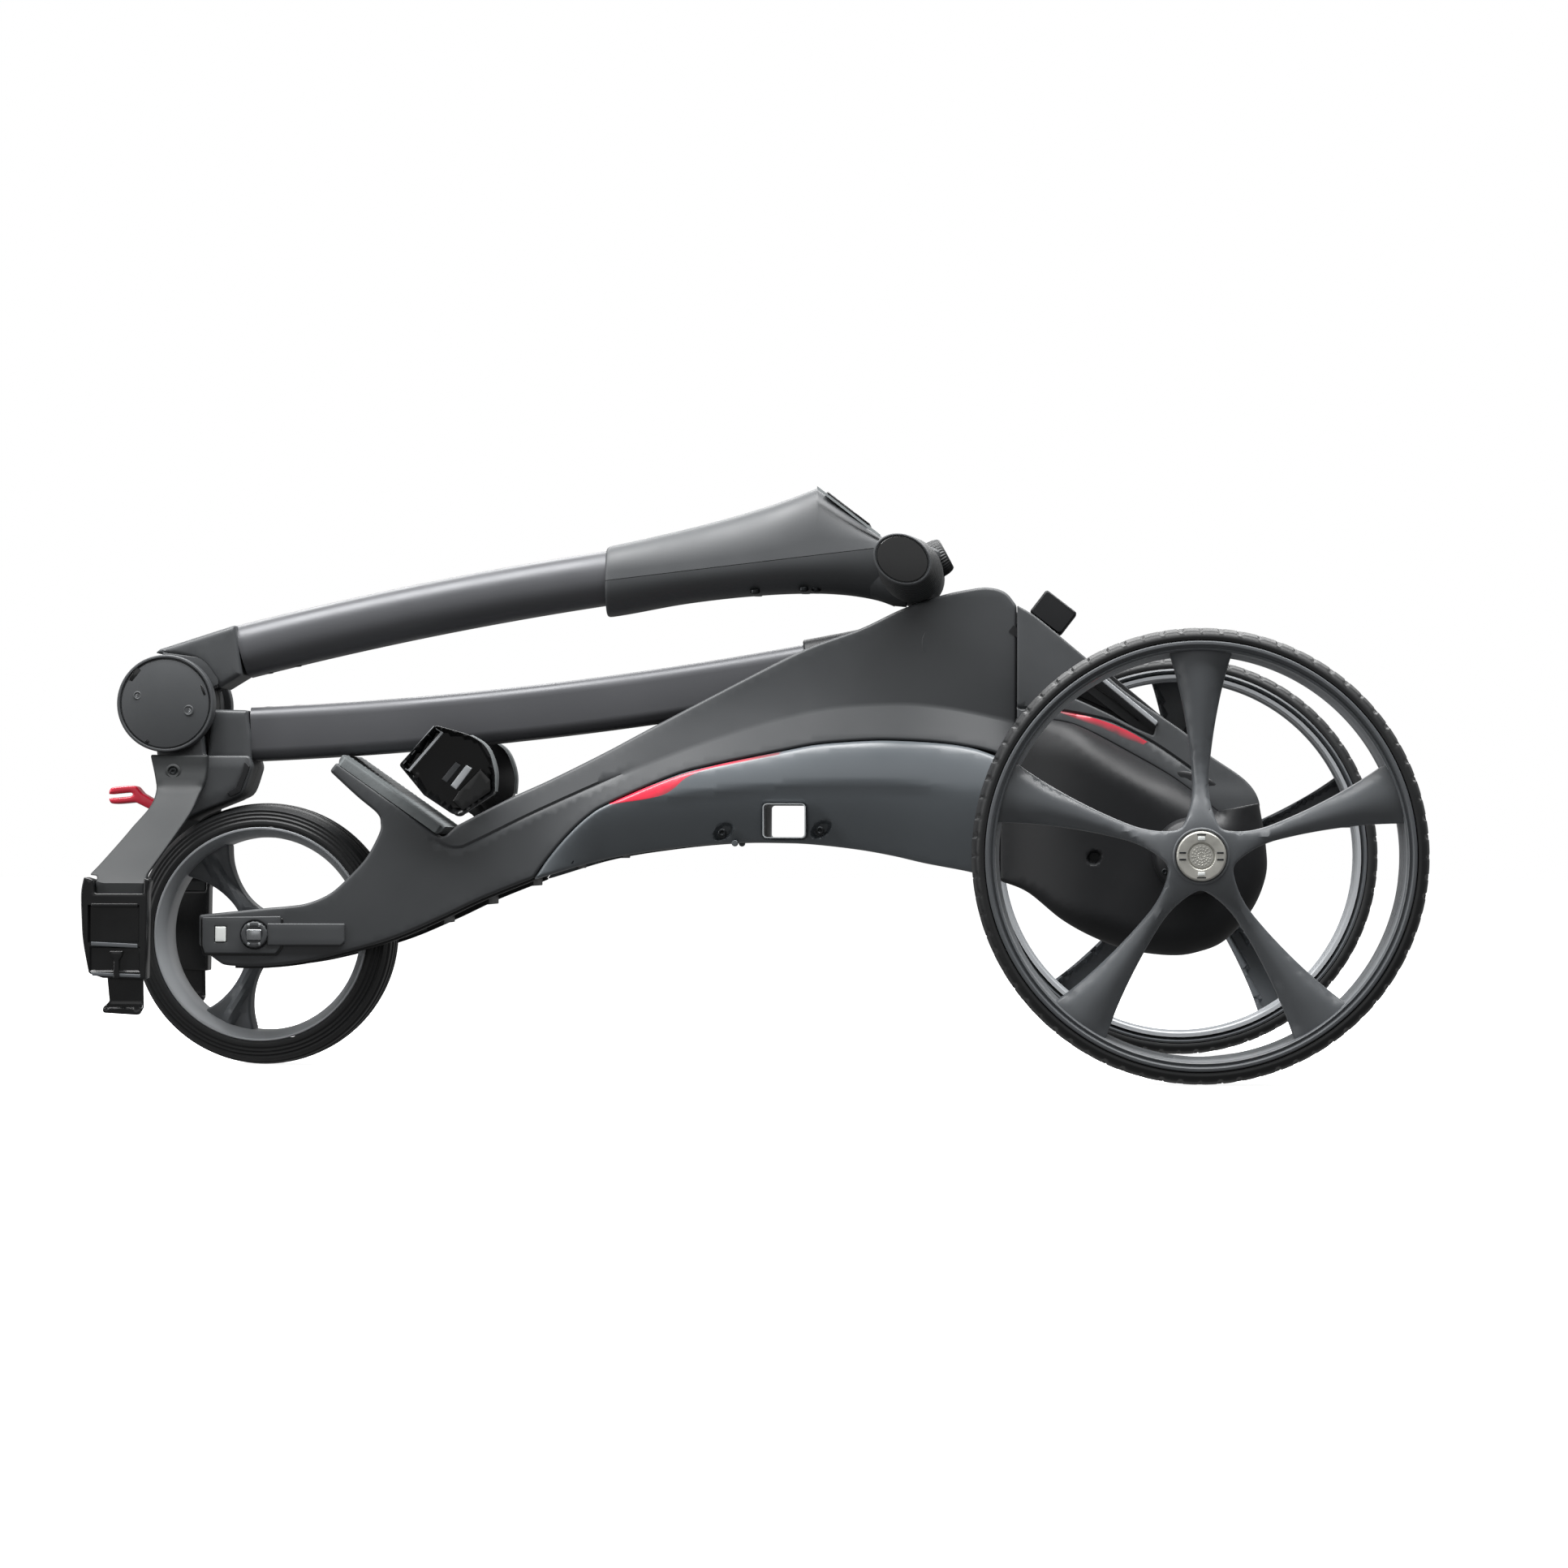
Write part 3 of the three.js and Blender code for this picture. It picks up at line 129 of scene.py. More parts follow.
class TrolleyColours(bpy.types.PropertyGroup):
    """Colours of the trolley's finishes."""

    shell: colour_prop("Side frames", "Moulded side frames and covers", "343638")
    belly: colour_prop("Belly shells", "Painted lower shells", "53585c")
    shaft: colour_prop("Shafts", "Coated aluminium shafts", "48494c")
    collar: colour_prop("Collars", "Hinge collars, arms and stem", "3a3c3e")
    black: colour_prop("Black parts", "Glossy black brackets and wings", "0b0c0d")
    rubber: colour_prop("Rubber", "Tyres and pads", "191a1b")
    rim: colour_prop("Rims", "Wheel rims and spokes", "4e5154")
    hub: colour_prop("Hub buttons", "Nickel-coloured hub buttons", "bdbcb5")
    red: colour_prop("Red parts", "Release lever and stripes", "c81e38")


class TrolleySizes(bpy.types.PropertyGroup):
    """Sizes of details that the CAD model leaves plain."""

    edge_round: length_prop("Edge rounding", "Radius on the edges of the moulded side frames",
                            0.0022)
    tread_groove: length_prop("Tread groove", "Depth of the rear tyres' shoulder grooves", 0.0013)
    rib_depth: length_prop("Rib depth", "Depth of the grooves round the front tyre", 0.0030)
    spoke_wall: length_prop("Spoke wall", "Wall of the hollow spokes behind their face", 0.0024)
    seam_gap: length_prop("Seam gap", "Shadow gap between moulded shells", 0.0004)
    grain: length_prop("Grain", "Spacing of the spark-eroded grain, drawn coarse enough to show",
                       0.0011)


# ------------------------------------------------------------------ material nodes
def add_node(tree, kind, inputs=None, **settings):
    """A node with its settings; an input that is given a socket is linked, and else set."""
    made = tree.nodes.new(kind)
    for key, value in settings.items():
        setattr(made, key, value)
    for key, value in (inputs or {}).items():
        if isinstance(value, bpy.types.NodeSocket):
            tree.links.new(value, made.inputs[key])
        else:
            made.inputs[key].default_value = value
    return made


MATERIALS = {}
# a Mix node names its sockets alike for each data type, so the colour ones go by their place
COLOUR_A, COLOUR_B, COLOUR_OUT = 6, 7, 2
EDGE_RUB_AND_LIGHT_FROM, EDGE_RUB_AND_LIGHT_TO = 0.53, 0.62  # how sharp an edge has to be to look rubbed and to get its painted highlight


def finish(name, colour, roughness, metallic=0.0, grain=1.1, grain_height=0.02, cloud=60.0,
           tone=0.10, wear_and_edge_light=0.12, gloss_spread=0.08, coat=0.0, coat_roughness=0.2,
           specular=0.5, sheen=0.0):
    """A solid surface: its colour drifts over `cloud` mm, its grain is `grain` mm apart and
    `grain_height` mm high, and its raised edges are a little lighter: partly rubbed wear, partly a
    painted edge highlight."""
    material = bpy.data.materials.new(name)
    material.use_nodes = True
    tree = material.node_tree
    tree.nodes.clear()
    out = add_node(tree, "ShaderNodeOutputMaterial")
    where = add_node(tree, "ShaderNodeTexCoord").outputs["Object"]
    drift = add_node(tree, "ShaderNodeTexNoise",
                     {"Vector": where, "Scale": 1000.0 / cloud, "Detail": 4.0, "Roughness": 0.55})
    fine = add_node(tree, "ShaderNodeTexNoise",
                    {"Vector": where, "Scale": 1000.0 / grain, "Detail": 2.0, "Roughness": 0.6})
    dark = [c * (1 - tone) for c in colour[:3]] + [1.0]
    light = [min(1.0, c * (1 + tone) + 0.002) for c in colour[:3]] + [1.0]
    body = add_node(tree, "ShaderNodeMix",
                    {"Factor": drift.outputs["Fac"], COLOUR_A: dark, COLOUR_B: light},
                    data_type="RGBA")
    # raised edges turn lighter: rubbed wear together with a painted highlight along the edges
    edges = add_node(tree, "ShaderNodeMapRange",
                     {"Value": add_node(tree, "ShaderNodeNewGeometry").outputs["Pointiness"],
                      "From Min": EDGE_RUB_AND_LIGHT_FROM, "From Max": EDGE_RUB_AND_LIGHT_TO, "To Min": 0.0,
                      "To Max": wear_and_edge_light})
    rubbed_and_lit = [min(1.0, c * 1.8 + 0.03) for c in colour[:3]] + [1.0]
    worn_and_lit = add_node(tree, "ShaderNodeMix",
                    {"Factor": edges.outputs["Result"], COLOUR_A: body.outputs[COLOUR_OUT],
                     COLOUR_B: rubbed_and_lit}, data_type="RGBA")
    rough = add_node(tree, "ShaderNodeMapRange",
                     {"Value": drift.outputs["Fac"], "From Min": 0.3, "From Max": 0.7,
                      "To Min": max(0.02, roughness - gloss_spread),
                      "To Max": min(1.0, roughness + gloss_spread)})
    bump = add_node(tree, "ShaderNodeBump",
                    {"Height": fine.outputs["Fac"], "Strength": 0.6,
                     "Distance": grain_height / 1000.0})
    shader = add_node(tree, "ShaderNodeBsdfPrincipled",
                      {"Base Color": worn_and_lit.outputs[COLOUR_OUT],
                       "Roughness": rough.outputs["Result"], "Metallic": metallic,
                       "Normal": bump.outputs["Normal"],
                       "Coat Weight": coat, "Coat Roughness": coat_roughness,
                       "Specular IOR Level": specular, "Sheen Weight": sheen})
    tree.links.new(shader.outputs["BSDF"], out.inputs["Surface"])
    MATERIALS[name] = material
    return material


def shader_of(material):
    """The material's principled shader."""
    return next(n for n in material.node_tree.nodes if n.type == "BSDF_PRINCIPLED")


def recolour_by(material, attribute, colour):
    """Lets a vertex attribute turn the surface towards another colour."""
    tree = material.node_tree
    shader = shader_of(material)
    before = shader.inputs["Base Color"].links[0].from_socket
    share = add_node(tree, "ShaderNodeAttribute", attribute_name=attribute)
    mixed = add_node(tree, "ShaderNodeMix",
                     {"Factor": share.outputs["Fac"], COLOUR_A: before, COLOUR_B: colour},
                     data_type="RGBA")
    tree.links.new(mixed.outputs[COLOUR_OUT], shader.inputs["Base Color"])


def weave(name, colour, thread):
    """Woven webbing: two crossing sets of threads, `thread` mm apart, which break up the light."""
    material = finish(name, colour, 0.85, grain=0.8, grain_height=0.03, tone=0.2, wear_and_edge_light=0.0,
                      specular=0.3, sheen=0.3)
    tree = material.node_tree
    where = add_node(tree, "ShaderNodeTexCoord").outputs["Object"]
    bands = [add_node(tree, "ShaderNodeTexWave",
                      {"Vector": where, "Scale": 1000.0 / thread / 6.28, "Distortion": 0.3},
                      bands_direction=way).outputs["Fac"] for way in ("Y", "Z")]
    both = add_node(tree, "ShaderNodeMath", {0: bands[0], 1: bands[1]}, operation="MULTIPLY")
    shader = shader_of(material)
    bump = shader.inputs["Normal"].links[0].from_node
    tree.links.new(both.outputs["Value"], bump.inputs["Height"])
    bump.inputs["Distance"].default_value = 0.0004
    return material


def make_materials():
    """Every finish of the trolley, with its colours and grain from the settings."""
    c = bpy.context.scene.trolley_colours
    grain = bpy.context.scene.trolley_sizes.grain * 1000
    # glass-filled nylon, moulded in a spark-eroded tool: an even, matt charcoal grain
    finish("nylon_moulded", tuple(c.shell), 0.5, grain=grain, grain_height=0.03, specular=0.45)
    # ABS, sprayed with a satin metallic paint: smooth and cooler, with a soft sheen
    finish("abs_painted_satin", tuple(c.belly), 0.36, grain=0.9, grain_height=0.008, wear_and_edge_light=0.05,
           tone=0.06, coat=0.15, coat_roughness=0.25)
    # aluminium tube, powder-coated: fine orange-peel and a metallic tint
    finish("aluminium_powder_coated", tuple(c.shaft), 0.43, metallic=0.25, grain=1.6,
           grain_height=0.012, wear_and_edge_light=0.08, tone=0.05)
    # ABS, moulded and lightly textured: collars, arms and the handle's stem
    finish("abs_moulded_texture", tuple(c.collar), 0.5, grain=grain, grain_height=0.02)
    # ABS, moulded in a polished tool: deep black with crisp reflections
    finish("abs_moulded_gloss", tuple(c.black), 0.2, grain=2.5, grain_height=0.006, wear_and_edge_light=0.05,
           tone=0.05, gloss_spread=0.05)
    # the same black, blasted: the housing between the wheels
    finish("abs_moulded_black", linear("131416"), 0.48, grain=grain, grain_height=0.02, wear_and_edge_light=0.06,
           specular=0.32)
    # EVA and natural rubber, moulded: matt black that goes grey on its edges, partly dust and
    # partly a painted highlight
    finish("rubber_moulded", tuple(c.rubber), 0.5, grain=1.4, grain_height=0.05, wear_and_edge_light=0.25,
           tone=0.18, specular=0.35)
    # soft rubber grip, moulded over the bar
    finish("rubber_overmoulded", linear("1d1f20"), 0.5, grain=0.9, grain_height=0.05, wear_and_edge_light=0.04)
    # thermoplastic pad, moulded and scuffed by bags: paler, blotchy
    finish("rubber_scuffed", linear("4b4f50"), 0.75, grain=2.6, grain_height=0.25, cloud=9.0,
           tone=0.45, wear_and_edge_light=0.5)
    # glass-filled nylon arm, moulded in a blasted tool: flat, dark and dry-looking
    finish("nylon_arm_matt", linear("252728"), 0.6, grain=grain, grain_height=0.03,
           specular=0.35)
    # glass-filled nylon rim, moulded satin
    finish("nylon_rim_satin", tuple(c.rim), 0.43, grain=1.3, grain_height=0.012, wear_and_edge_light=0.1,
           tone=0.06)
    # rim barrel, silver-grey inside under a thin coat: its pale colour is a painted reflection,
    # standing in for the shine of the grey rim; bright bands where it turns to the light
    finish("pale_grey_painted_sheen", linear("9a9da0"), 0.34, metallic=0.25, grain=1.3, grain_height=0.01,
           wear_and_edge_light=0.05, tone=0.05, coat=0.2)
    # zinc button, nickel-plated and bead-blasted
    finish("zinc_nickel_plated", tuple(c.hub), 0.42, metallic=0.75, grain=1.2, grain_height=0.05,
           tone=0.2, cloud=6.0)
    # steel, turned and zinc-plated
    finish("steel_turned", linear("a8abad"), 0.32, metallic=1.0, grain=1.8, grain_height=0.01)
    # steel screws, black oxide
    finish("steel_black_oxide", linear("26282a"), 0.35, metallic=0.8, grain=1.0,
           grain_height=0.01)
    # polycarbonate lever, moulded in red
    finish("polycarbonate_red", tuple(c.red), 0.3, grain=1.5, grain_height=0.01, coat=0.4,
           wear_and_edge_light=0.2)
    # red film under clear lacquer on the shells
    finish("film_red", tuple(c.red), 0.38, grain=0.9, grain_height=0.006, wear_and_edge_light=0.0, coat=0.15)
    recolour_by(MATERIALS["film_red"], "fade", tuple(c.shell))
    # polyester webbing, woven; threads drawn 1.6 mm apart so that they show
    weave("polyester_webbing", linear("141516"), 1.6)
    # acrylic screen, polished
    finish("acrylic_screen", linear("07080a"), 0.06, grain=6.0, grain_height=0.002, wear_and_edge_light=0.0,
           coat=0.6, coat_roughness=0.03)
    # ABS insert, moulded in pale grey and matt: lines the window
    finish("window_grey", linear("8b8f91"), 0.55, grain=1.2, grain_height=0.01)
    # white ink, screen printed: scale marks
    finish("ink_white", linear("d9dcda"), 0.5, grain=1.0, grain_height=0.01, wear_and_edge_light=0.0)
    # epoxy circuit board, laminated
    finish("epoxy_board", linear("1f5a3a"), 0.45, grain=2.0, grain_height=0.03)


# ------------------------------------------------------------------ lines in the side plane
def through(points, step=2.0, closed=True):
    """Points `step` apart along a line; a point with a third value lies on a smooth stretch."""
    listed = list(points)
    if closed:
        corner = next((i for i, p in enumerate(listed) if len(p) == 2), 0)
        listed = listed[corner:] + listed[:corner]
        listed.append(listed[0][:2])
    made, stretch = [np.array(listed[0][:2], float)], [listed[0][:2]]
    for p in listed[1:]:
        stretch.append(p[:2])
        if len(p) > 2 and p is not listed[-1]:
            continue
        knots = np.array(stretch, float)
        if len(knots) == 2:
            count = max(1, int(round(np.linalg.norm(knots[1] - knots[0]) / step)))
            t = np.linspace(0, 1, count + 1)[1:, None]
            made.extend(knots[0] * (1 - t) + knots[1] * t)
        else:
            ends = np.vstack([2 * knots[0] - knots[1], knots, 2 * knots[-1] - knots[-2]])
            for i in range(len(knots) - 1):
                a, b, c, d = ends[i:i + 4]
                count = max(1, int(round(np.linalg.norm(c - b) / step)))
                for t in np.linspace(0, 1, count + 1)[1:]:
                    made.append(0.5 * (2 * b + (c - a) * t + (2 * a - 5 * b + 4 * c - d) * t * t
                                       + (3 * b - a - 3 * c + d) * t ** 3))
        stretch = [p[:2]]
    made = np.array(made)
    return made[:-1] if closed else made


def rounded(loop, radius, least=25.0):
    """A closed loop with the corners that turn by more than `least` degrees rounded off."""
    if radius <= 0:
        return loop
    n = len(loop)
    before, after = loop - np.roll(loop, 1, 0), np.roll(loop, -1, 0) - loop
    turn = np.degrees(np.abs(np.arctan2(before[:, 0] * after[:, 1] - before[:, 1] * after[:, 0],
                                        (before * after).sum(1))))
    corners = [i for i in range(n) if turn[i] > least]
    if not corners:
        return loop
    run = np.concatenate([[0], np.cumsum(np.linalg.norm(after, axis=1))])
    total = run[-1]
    extended = np.vstack([loop, loop[:1]])

    def at(s):
        s %= total
        i = min(n - 1, int(np.searchsorted(run, s, side="right") - 1))
        share = (s - run[i]) / max(1e-9, run[i + 1] - run[i])
        return extended[i] * (1 - share) + extended[i + 1] * share

    reach = []
    for k, i in enumerate(corners):
        back = (run[i] - run[corners[k - 1]]) % total or total
        ahead = (run[corners[(k + 1) % len(corners)]] - run[i]) % total or total
        reach.append(min(radius, 0.45 * back, 0.45 * ahead))
    made = []
    for i in range(n):
        near = [k for k, c in enumerate(corners)
                if min((run[i] - run[c]) % total, (run[c] - run[i]) % total) < reach[k] - 1e-9]
        if not near:
            made.append(loop[i])
            continue
        if i in corners:
            k = corners.index(i)
            a, b, c = at(run[i] - reach[k]), loop[i], at(run[i] + reach[k])
            for t in np.linspace(0, 1, 6):
                made.append(a * (1 - t) ** 2 + 2 * b * t * (1 - t) + c * t * t)
    return np.array(made)


def outline(points, step=2.0, corner=0.0):
    """A closed loop through points, with its corners rounded."""
    return rounded(through(points, step), corner)


def distance_to(points, lines):
    """Distance from each point to the nearest of some polylines, given as (points, closed)."""
    points = np.asarray(points, float)
    best = np.full(len(points), 1e9)
    for line, closed in lines:
        a = line if closed else line[:-1]
        b = np.roll(line, -1, 0) if closed else line[1:]
        d = b - a
        size = np.maximum((d ** 2).sum(1), 1e-12)
        for start in range(0, len(points), 2000):
            p = points[start:start + 2000, None, :]
            t = np.clip(((p - a) * d).sum(2) / size, 0, 1)
            gap = np.sqrt((((p - a) - t[..., None] * d) ** 2).sum(2)).min(1)
            best[start:start + 2000] = np.minimum(best[start:start + 2000], gap)
    return best


def inside(points, loop):
    """Which points lie within a closed loop."""
    x, z = np.asarray(points, float).T[:, :, None]
    a, b = loop, np.roll(loop, -1, 0)
    crosses = (a[:, 1] > z) != (b[:, 1] > z)
    with np.errstate(divide="ignore", invalid="ignore"):
        edge_x = a[:, 0] + (z - a[:, 1]) / (b[:, 1] - a[:, 1]) * (b[:, 0] - a[:, 0])
    return (crosses & (x < edge_x)).sum(1) % 2 == 1


def curve_at(*pairs):
    """A smooth function of one number through (at, value) pairs."""
    xs, ys = np.array(pairs, float).T
    slopes = np.gradient(ys, xs)

    def value(x):
        x = np.clip(np.asarray(x, float), xs[0], xs[-1])
        i = np.clip(np.searchsorted(xs, x, side="right") - 1, 0, len(xs) - 2)
        h = xs[i + 1] - xs[i]
        t = (x - xs[i]) / h
        return ((2 * t ** 3 - 3 * t ** 2 + 1) * ys[i] + (t ** 3 - 2 * t ** 2 + t) * h * slopes[i]
                + (3 * t ** 2 - 2 * t ** 3) * ys[i + 1] + (t ** 3 - t ** 2) * h * slopes[i + 1])
    return value


def ease(value, low, high):
    """0 below low, 1 above high, and smooth between."""
    t = np.clip((np.asarray(value, float) - low) / (high - low), 0, 1)
    return t * t * (3 - 2 * t)


# ------------------------------------------------------------------ meshes
class Shape:
    """Vertices in drawn millimetres with faces, one material, and an optional vertex value."""

    def __init__(self, points, faces, material, fade=None, face_materials=None):
        self.points = np.asarray(points, float).reshape(-1, 3)
        self.faces = faces
        self.material = material
        self.fade = fade
        self.face_materials = face_materials

    def moved(self, x=0.0, y=0.0, z=0.0):
        return Shape(self.points + (x, y, z), self.faces, self.material, self.fade,
                     self.face_materials)

    def turned(self, matrix):
        turn = np.array(matrix)[:3, :3]
        return Shape(self.points @ turn.T, self.faces, self.material, self.fade,
                     self.face_materials)

    def mirrored(self):
        return Shape(self.points * (1, -1, 1), [f[::-1] for f in self.faces], self.material,
                     self.fade, self.face_materials)


def level(y):
    """A flat face at a distance from the centre plane."""
    return lambda x, z, d: y


def skin(loop, outer, inner, material, holes=(), creases=(), fine=(), spacing=5.0, edge=1.5,
         inner_edge=0.0, paint=None):
    """A closed shell over a loop in the side plane, on the +Y side, between inner(x, z, d) and
    outer(x, z, d) from the centre plane, where d is the distance to the shell's edge."""
    loops = [loop, *holes]
    lines = [(l, True) for l in loops]
    creases = [np.asarray(c, float) for c in creases]
    seeds, links = [], []
    for l in loops:
        start = len(seeds)
        seeds.extend(l)
        links.extend((start + i, start + (i + 1) % len(l)) for i in range(len(l)))

    def within(points):
        ok = inside(points, loop)
        for h in holes:
            ok &= ~inside(points, h)
        return ok

    for c in creases:
        ok = within(c) & (distance_to(c, lines) > 0.25)
        start = len(seeds)
        kept = np.flatnonzero(ok)
        seeds.extend(c[kept])
        links.extend((start + i, start + i + 1) for i in range(len(kept) - 1)
                     if kept[i + 1] == kept[i] + 1)
    extra = []
    for l in loops:
        way = np.roll(l, -1, 0) - np.roll(l, 1, 0)
        across = np.stack([-way[:, 1], way[:, 0]], 1) / np.maximum(
            np.linalg.norm(way, axis=1), 1e-9)[:, None]
        for share in (0.12, 0.35, 0.65, 1.0) if edge > 0 else ():
            for sign in (-1, 1):
                ring = l + across * sign * share * edge
                ring = ring[within(ring)]
                if len(ring):
                    extra.append(ring[distance_to(ring, lines) > 0.9 * share * edge])
    lo, hi = loop.min(0), loop.max(0)

    def grid(low, high, gap):
        rows = np.arange(low[1], high[1] + gap, gap * 0.866)
        return np.array([(x + (k % 2) * gap / 2, z) for k, z in enumerate(rows)
                         for x in np.arange(low[0], high[0] + gap, gap)])

    crease_lines = [(c, False) for c in creases]
    base = grid(lo, hi, spacing)
    base = base[within(base)]
    base = base[distance_to(base, lines) > edge + 0.35 * spacing]
    for x, z, r, _gap in fine:
        base = base[np.hypot(base[:, 0] - x, base[:, 1] - z) > r]
    if crease_lines and len(base):
        base = base[distance_to(base, crease_lines) > 0.4 * spacing]
    extra.append(base)
    for x, z, r, gap in fine:
        patch = grid(np.array([x - r, z - r]), np.array([x + r, z + r]), gap)
        patch = patch[np.hypot(patch[:, 0] - x, patch[:, 1] - z) < r]
        patch = patch[within(patch)]
        if len(patch):
            extra.append(patch[distance_to(patch, lines) > max(edge, 0.6 * gap)])
    seeds = np.vstack([np.array(seeds)] + [e for e in extra if len(e)])
    flat, _e, tris, *_ = delaunay_2d_cdt([Vector(p) for p in seeds], links, [], 0, 1e-5)
    flat = np.array([tuple(p) for p in flat])
    tris = np.array([t for t in tris if len(t) == 3])
    tris = tris[within(flat[tris].mean(1))]
    # same way round for all: seen from -Y, x to the right and z up
    a, b, c = flat[tris[:, 0]], flat[tris[:, 1]], flat[tris[:, 2]]
    area = (b[:, 0] - a[:, 0]) * (c[:, 1] - a[:, 1]) - (b[:, 1] - a[:, 1]) * (c[:, 0] - a[:, 0])
    tris = tris[np.abs(area) > 1e-7]
    area = area[np.abs(area) > 1e-7]
    tris[area < 0] = tris[area < 0][:, ::-1]
    used = np.unique(tris)
    index = np.full(len(flat), -1)
    index[used] = np.arange(len(used))
    flat, tris = flat[used], index[tris]
    d = distance_to(flat, lines)
    x, z = flat.T
    drop = np.where(d < edge, edge - np.sqrt(np.maximum(edge ** 2 - (edge - d) ** 2, 0)), 0) \
        if edge > 0 else 0
    rise = np.where(d < inner_edge, inner_edge - np.sqrt(np.maximum(
        inner_edge ** 2 - (inner_edge - d) ** 2, 0)), 0) if inner_edge > 0 else 0
    far = np.asarray(outer(x, z, d), float) * np.ones(len(x)) - drop
    near = np.asarray(inner(x, z, d), float) * np.ones(len(x)) + rise
    near = np.minimum(near, far - 0.3)
    n = len(flat)
    points = np.vstack([np.stack([x, far, z], 1), np.stack([x, near, z], 1)])
    seen = {}
    for t in tris:
        for i in range(3):
            seen[(t[i], t[(i + 1) % 3])] = True
    faces = [tuple(t[::-1]) for t in tris] + [tuple(t + n) for t in tris]
    kinds = [0] * len(tris) * 2
    for (i, j) in seen:
        if (j, i) not in seen:
            faces.append((i, j, j + n, i + n))
            kinds.append(0)
    fade = None
    if paint:
        region, paint_material, fade_of = paint
        red = inside(flat[tris].mean(1), region)
        kinds[:len(tris)] = [1 if r else 0 for r in red]
        fade = np.concatenate([fade_of(x, z)] * 2)
        return Shape(points, faces, material, fade, (paint_material, kinds))
    return Shape(points, faces, material)


def plate(points, low, high, material, corner=1.2, edge=0.8, spacing=9.0, step=2.0, holes=(),
          **more):
    """A flat plate between two distances from the centre plane, with rounded edges."""
    return skin(outline(points, step, corner), level(high), level(low), material,
                holes=holes, spacing=spacing, edge=edge, inner_edge=edge, **more)


def lathe(profile, centre, material, steps=96, closed=True, ripple=None):
    """A profile of (radius, y) points turned round an axis along Y through centre (x, z)."""
    profile = np.array(profile, float)
    angles = np.arange(steps) * 2 * math.pi / steps
    r = np.repeat(profile[None, :, 0], steps, 0)
    y = np.repeat(profile[None, :, 1], steps, 0)
    a = np.repeat(angles[:, None], len(profile), 1)
    if ripple:
        r, y = ripple(r, y, a)
    points = np.stack([centre[0] + r * np.cos(a), y, centre[1] + r * np.sin(a)], 2).reshape(-1, 3)
    k = len(profile)
    faces = []
    for i in range(steps):
        j = (i + 1) % steps
        for m in range(k if closed else k - 1):
            n = (m + 1) % k
            if profile[m, 0] < 1e-6 and profile[n, 0] < 1e-6:
                continue
            faces.append((i * k + m, i * k + n, j * k + n, j * k + m))
    return Shape(points, faces, material)


def soft_profile(points, radius=0.6):
    """An open (radius, y) profile with its inner corners rounded; its ends stay."""
    points = [np.array(p, float) for p in points]
    made = [points[0]]
    for a, b, c in zip(points, points[1:], points[2:]):
        reach = min(radius, 0.45 * np.linalg.norm(b - a), 0.45 * np.linalg.norm(c - b))
        if reach < 1e-6:
            made.append(b)
            continue
        start = b + (a - b) / np.linalg.norm(a - b) * reach
        end = b + (c - b) / np.linalg.norm(c - b) * reach
        for t in (0, 0.25, 0.5, 0.75, 1):
            made.append(start * (1 - t) ** 2 + 2 * b * t * (1 - t) + end * t * t)
    made.append(points[-1])
    return made


def loft(rings, material, capped=True):
    """A skin over rings of equally many points; the ends are closed."""
    rings = [np.asarray(r, float) for r in rings]
    k = len(rings[0])
    points = np.vstack(rings)
    faces = []
    for i in range(len(rings) - 1):
        for m in range(k):
            n = (m + 1) % k
            faces.append((i * k + m, i * k + n, (i + 1) * k + n, (i + 1) * k + m))
    if capped:
        faces.append(tuple(range(k))[::-1])
        faces.append(tuple((len(rings) - 1) * k + m for m in range(k)))
    return Shape(points, faces, material)


def oval(half_width, half_height, power=2.0, count=48):
    """Points (across, up) round a superellipse."""
    t = (np.arange(count) + 0.5) * 2 * math.pi / count
    c, s = np.cos(t), np.sin(t)
    return np.stack([half_width * np.sign(c) * np.abs(c) ** (2 / power),
                     half_height * np.sign(s) * np.abs(s) ** (2 / power)], 1)


def box_section(half_width, half_height, radius, arc=6):
    """Points (across, up) round a rectangle with round corners."""
    made = []
    for cx, cz, start in ((1, 1, 0), (-1, 1, 90), (-1, -1, 180), (1, -1, 270)):
        for i in range(arc + 1):
            a = math.radians(start + 90 * i / arc)
            made.append((cx * (half_width - radius) + radius * math.cos(a),
                         cz * (half_height - radius) + radius * math.sin(a)))
    return np.array(made)


def ring_at(section, x, z, slope=0.0):
    """A section set across a shaft that climbs by `slope` at (x, z)."""
    up = np.array([-slope, 0.0, 1.0]) / math.hypot(1, slope)
    return np.array([(x, 0.0, z)]) + section[:, :1] * (0, 1, 0) + section[:, 1:] * up


def dome(x, y, z, radius, height, side, material, steps=24):
    """A screw head on a face that looks along Y, with a recess."""
    r, h = radius, height
    profile = [(0, 0.35 * h), (0.34 * r, 0.35 * h), (0.40 * r, 0.95 * h), (0.72 * r, h),
               (0.93 * r, 0.75 * h), (r, 0.2 * h), (r, -1.2), (0, -1.2)]
    return lathe([(a, y + side * b) for a, b in soft_profile(profile, 0.15 * r)], (x, z),
                 material, steps, closed=False)


def slab_box(x0, x1, y0, y1, z0, z1, material, radius=0.6):
    """A rounded block along X."""
    half_y, half_z = (y1 - y0) / 2, (z1 - z0) / 2
    radius = min(radius, half_y * 0.9, half_z * 0.9)
    rings = []
    for x, shrink in ((x0, radius), (x0 + radius * 0.3, radius * 0.3), (x0 + radius, 0),
                      (x1 - radius, 0), (x1 - radius * 0.3, radius * 0.3), (x1, radius)):
        s = box_section(half_y - shrink, half_z - shrink, max(0.05, radius - shrink * 0.6), 3)
        rings.append(np.stack([np.full(len(s), x), s[:, 0] + (y0 + y1) / 2,
                               s[:, 1] + (z0 + z1) / 2], 1))
    return loft(rings, material)


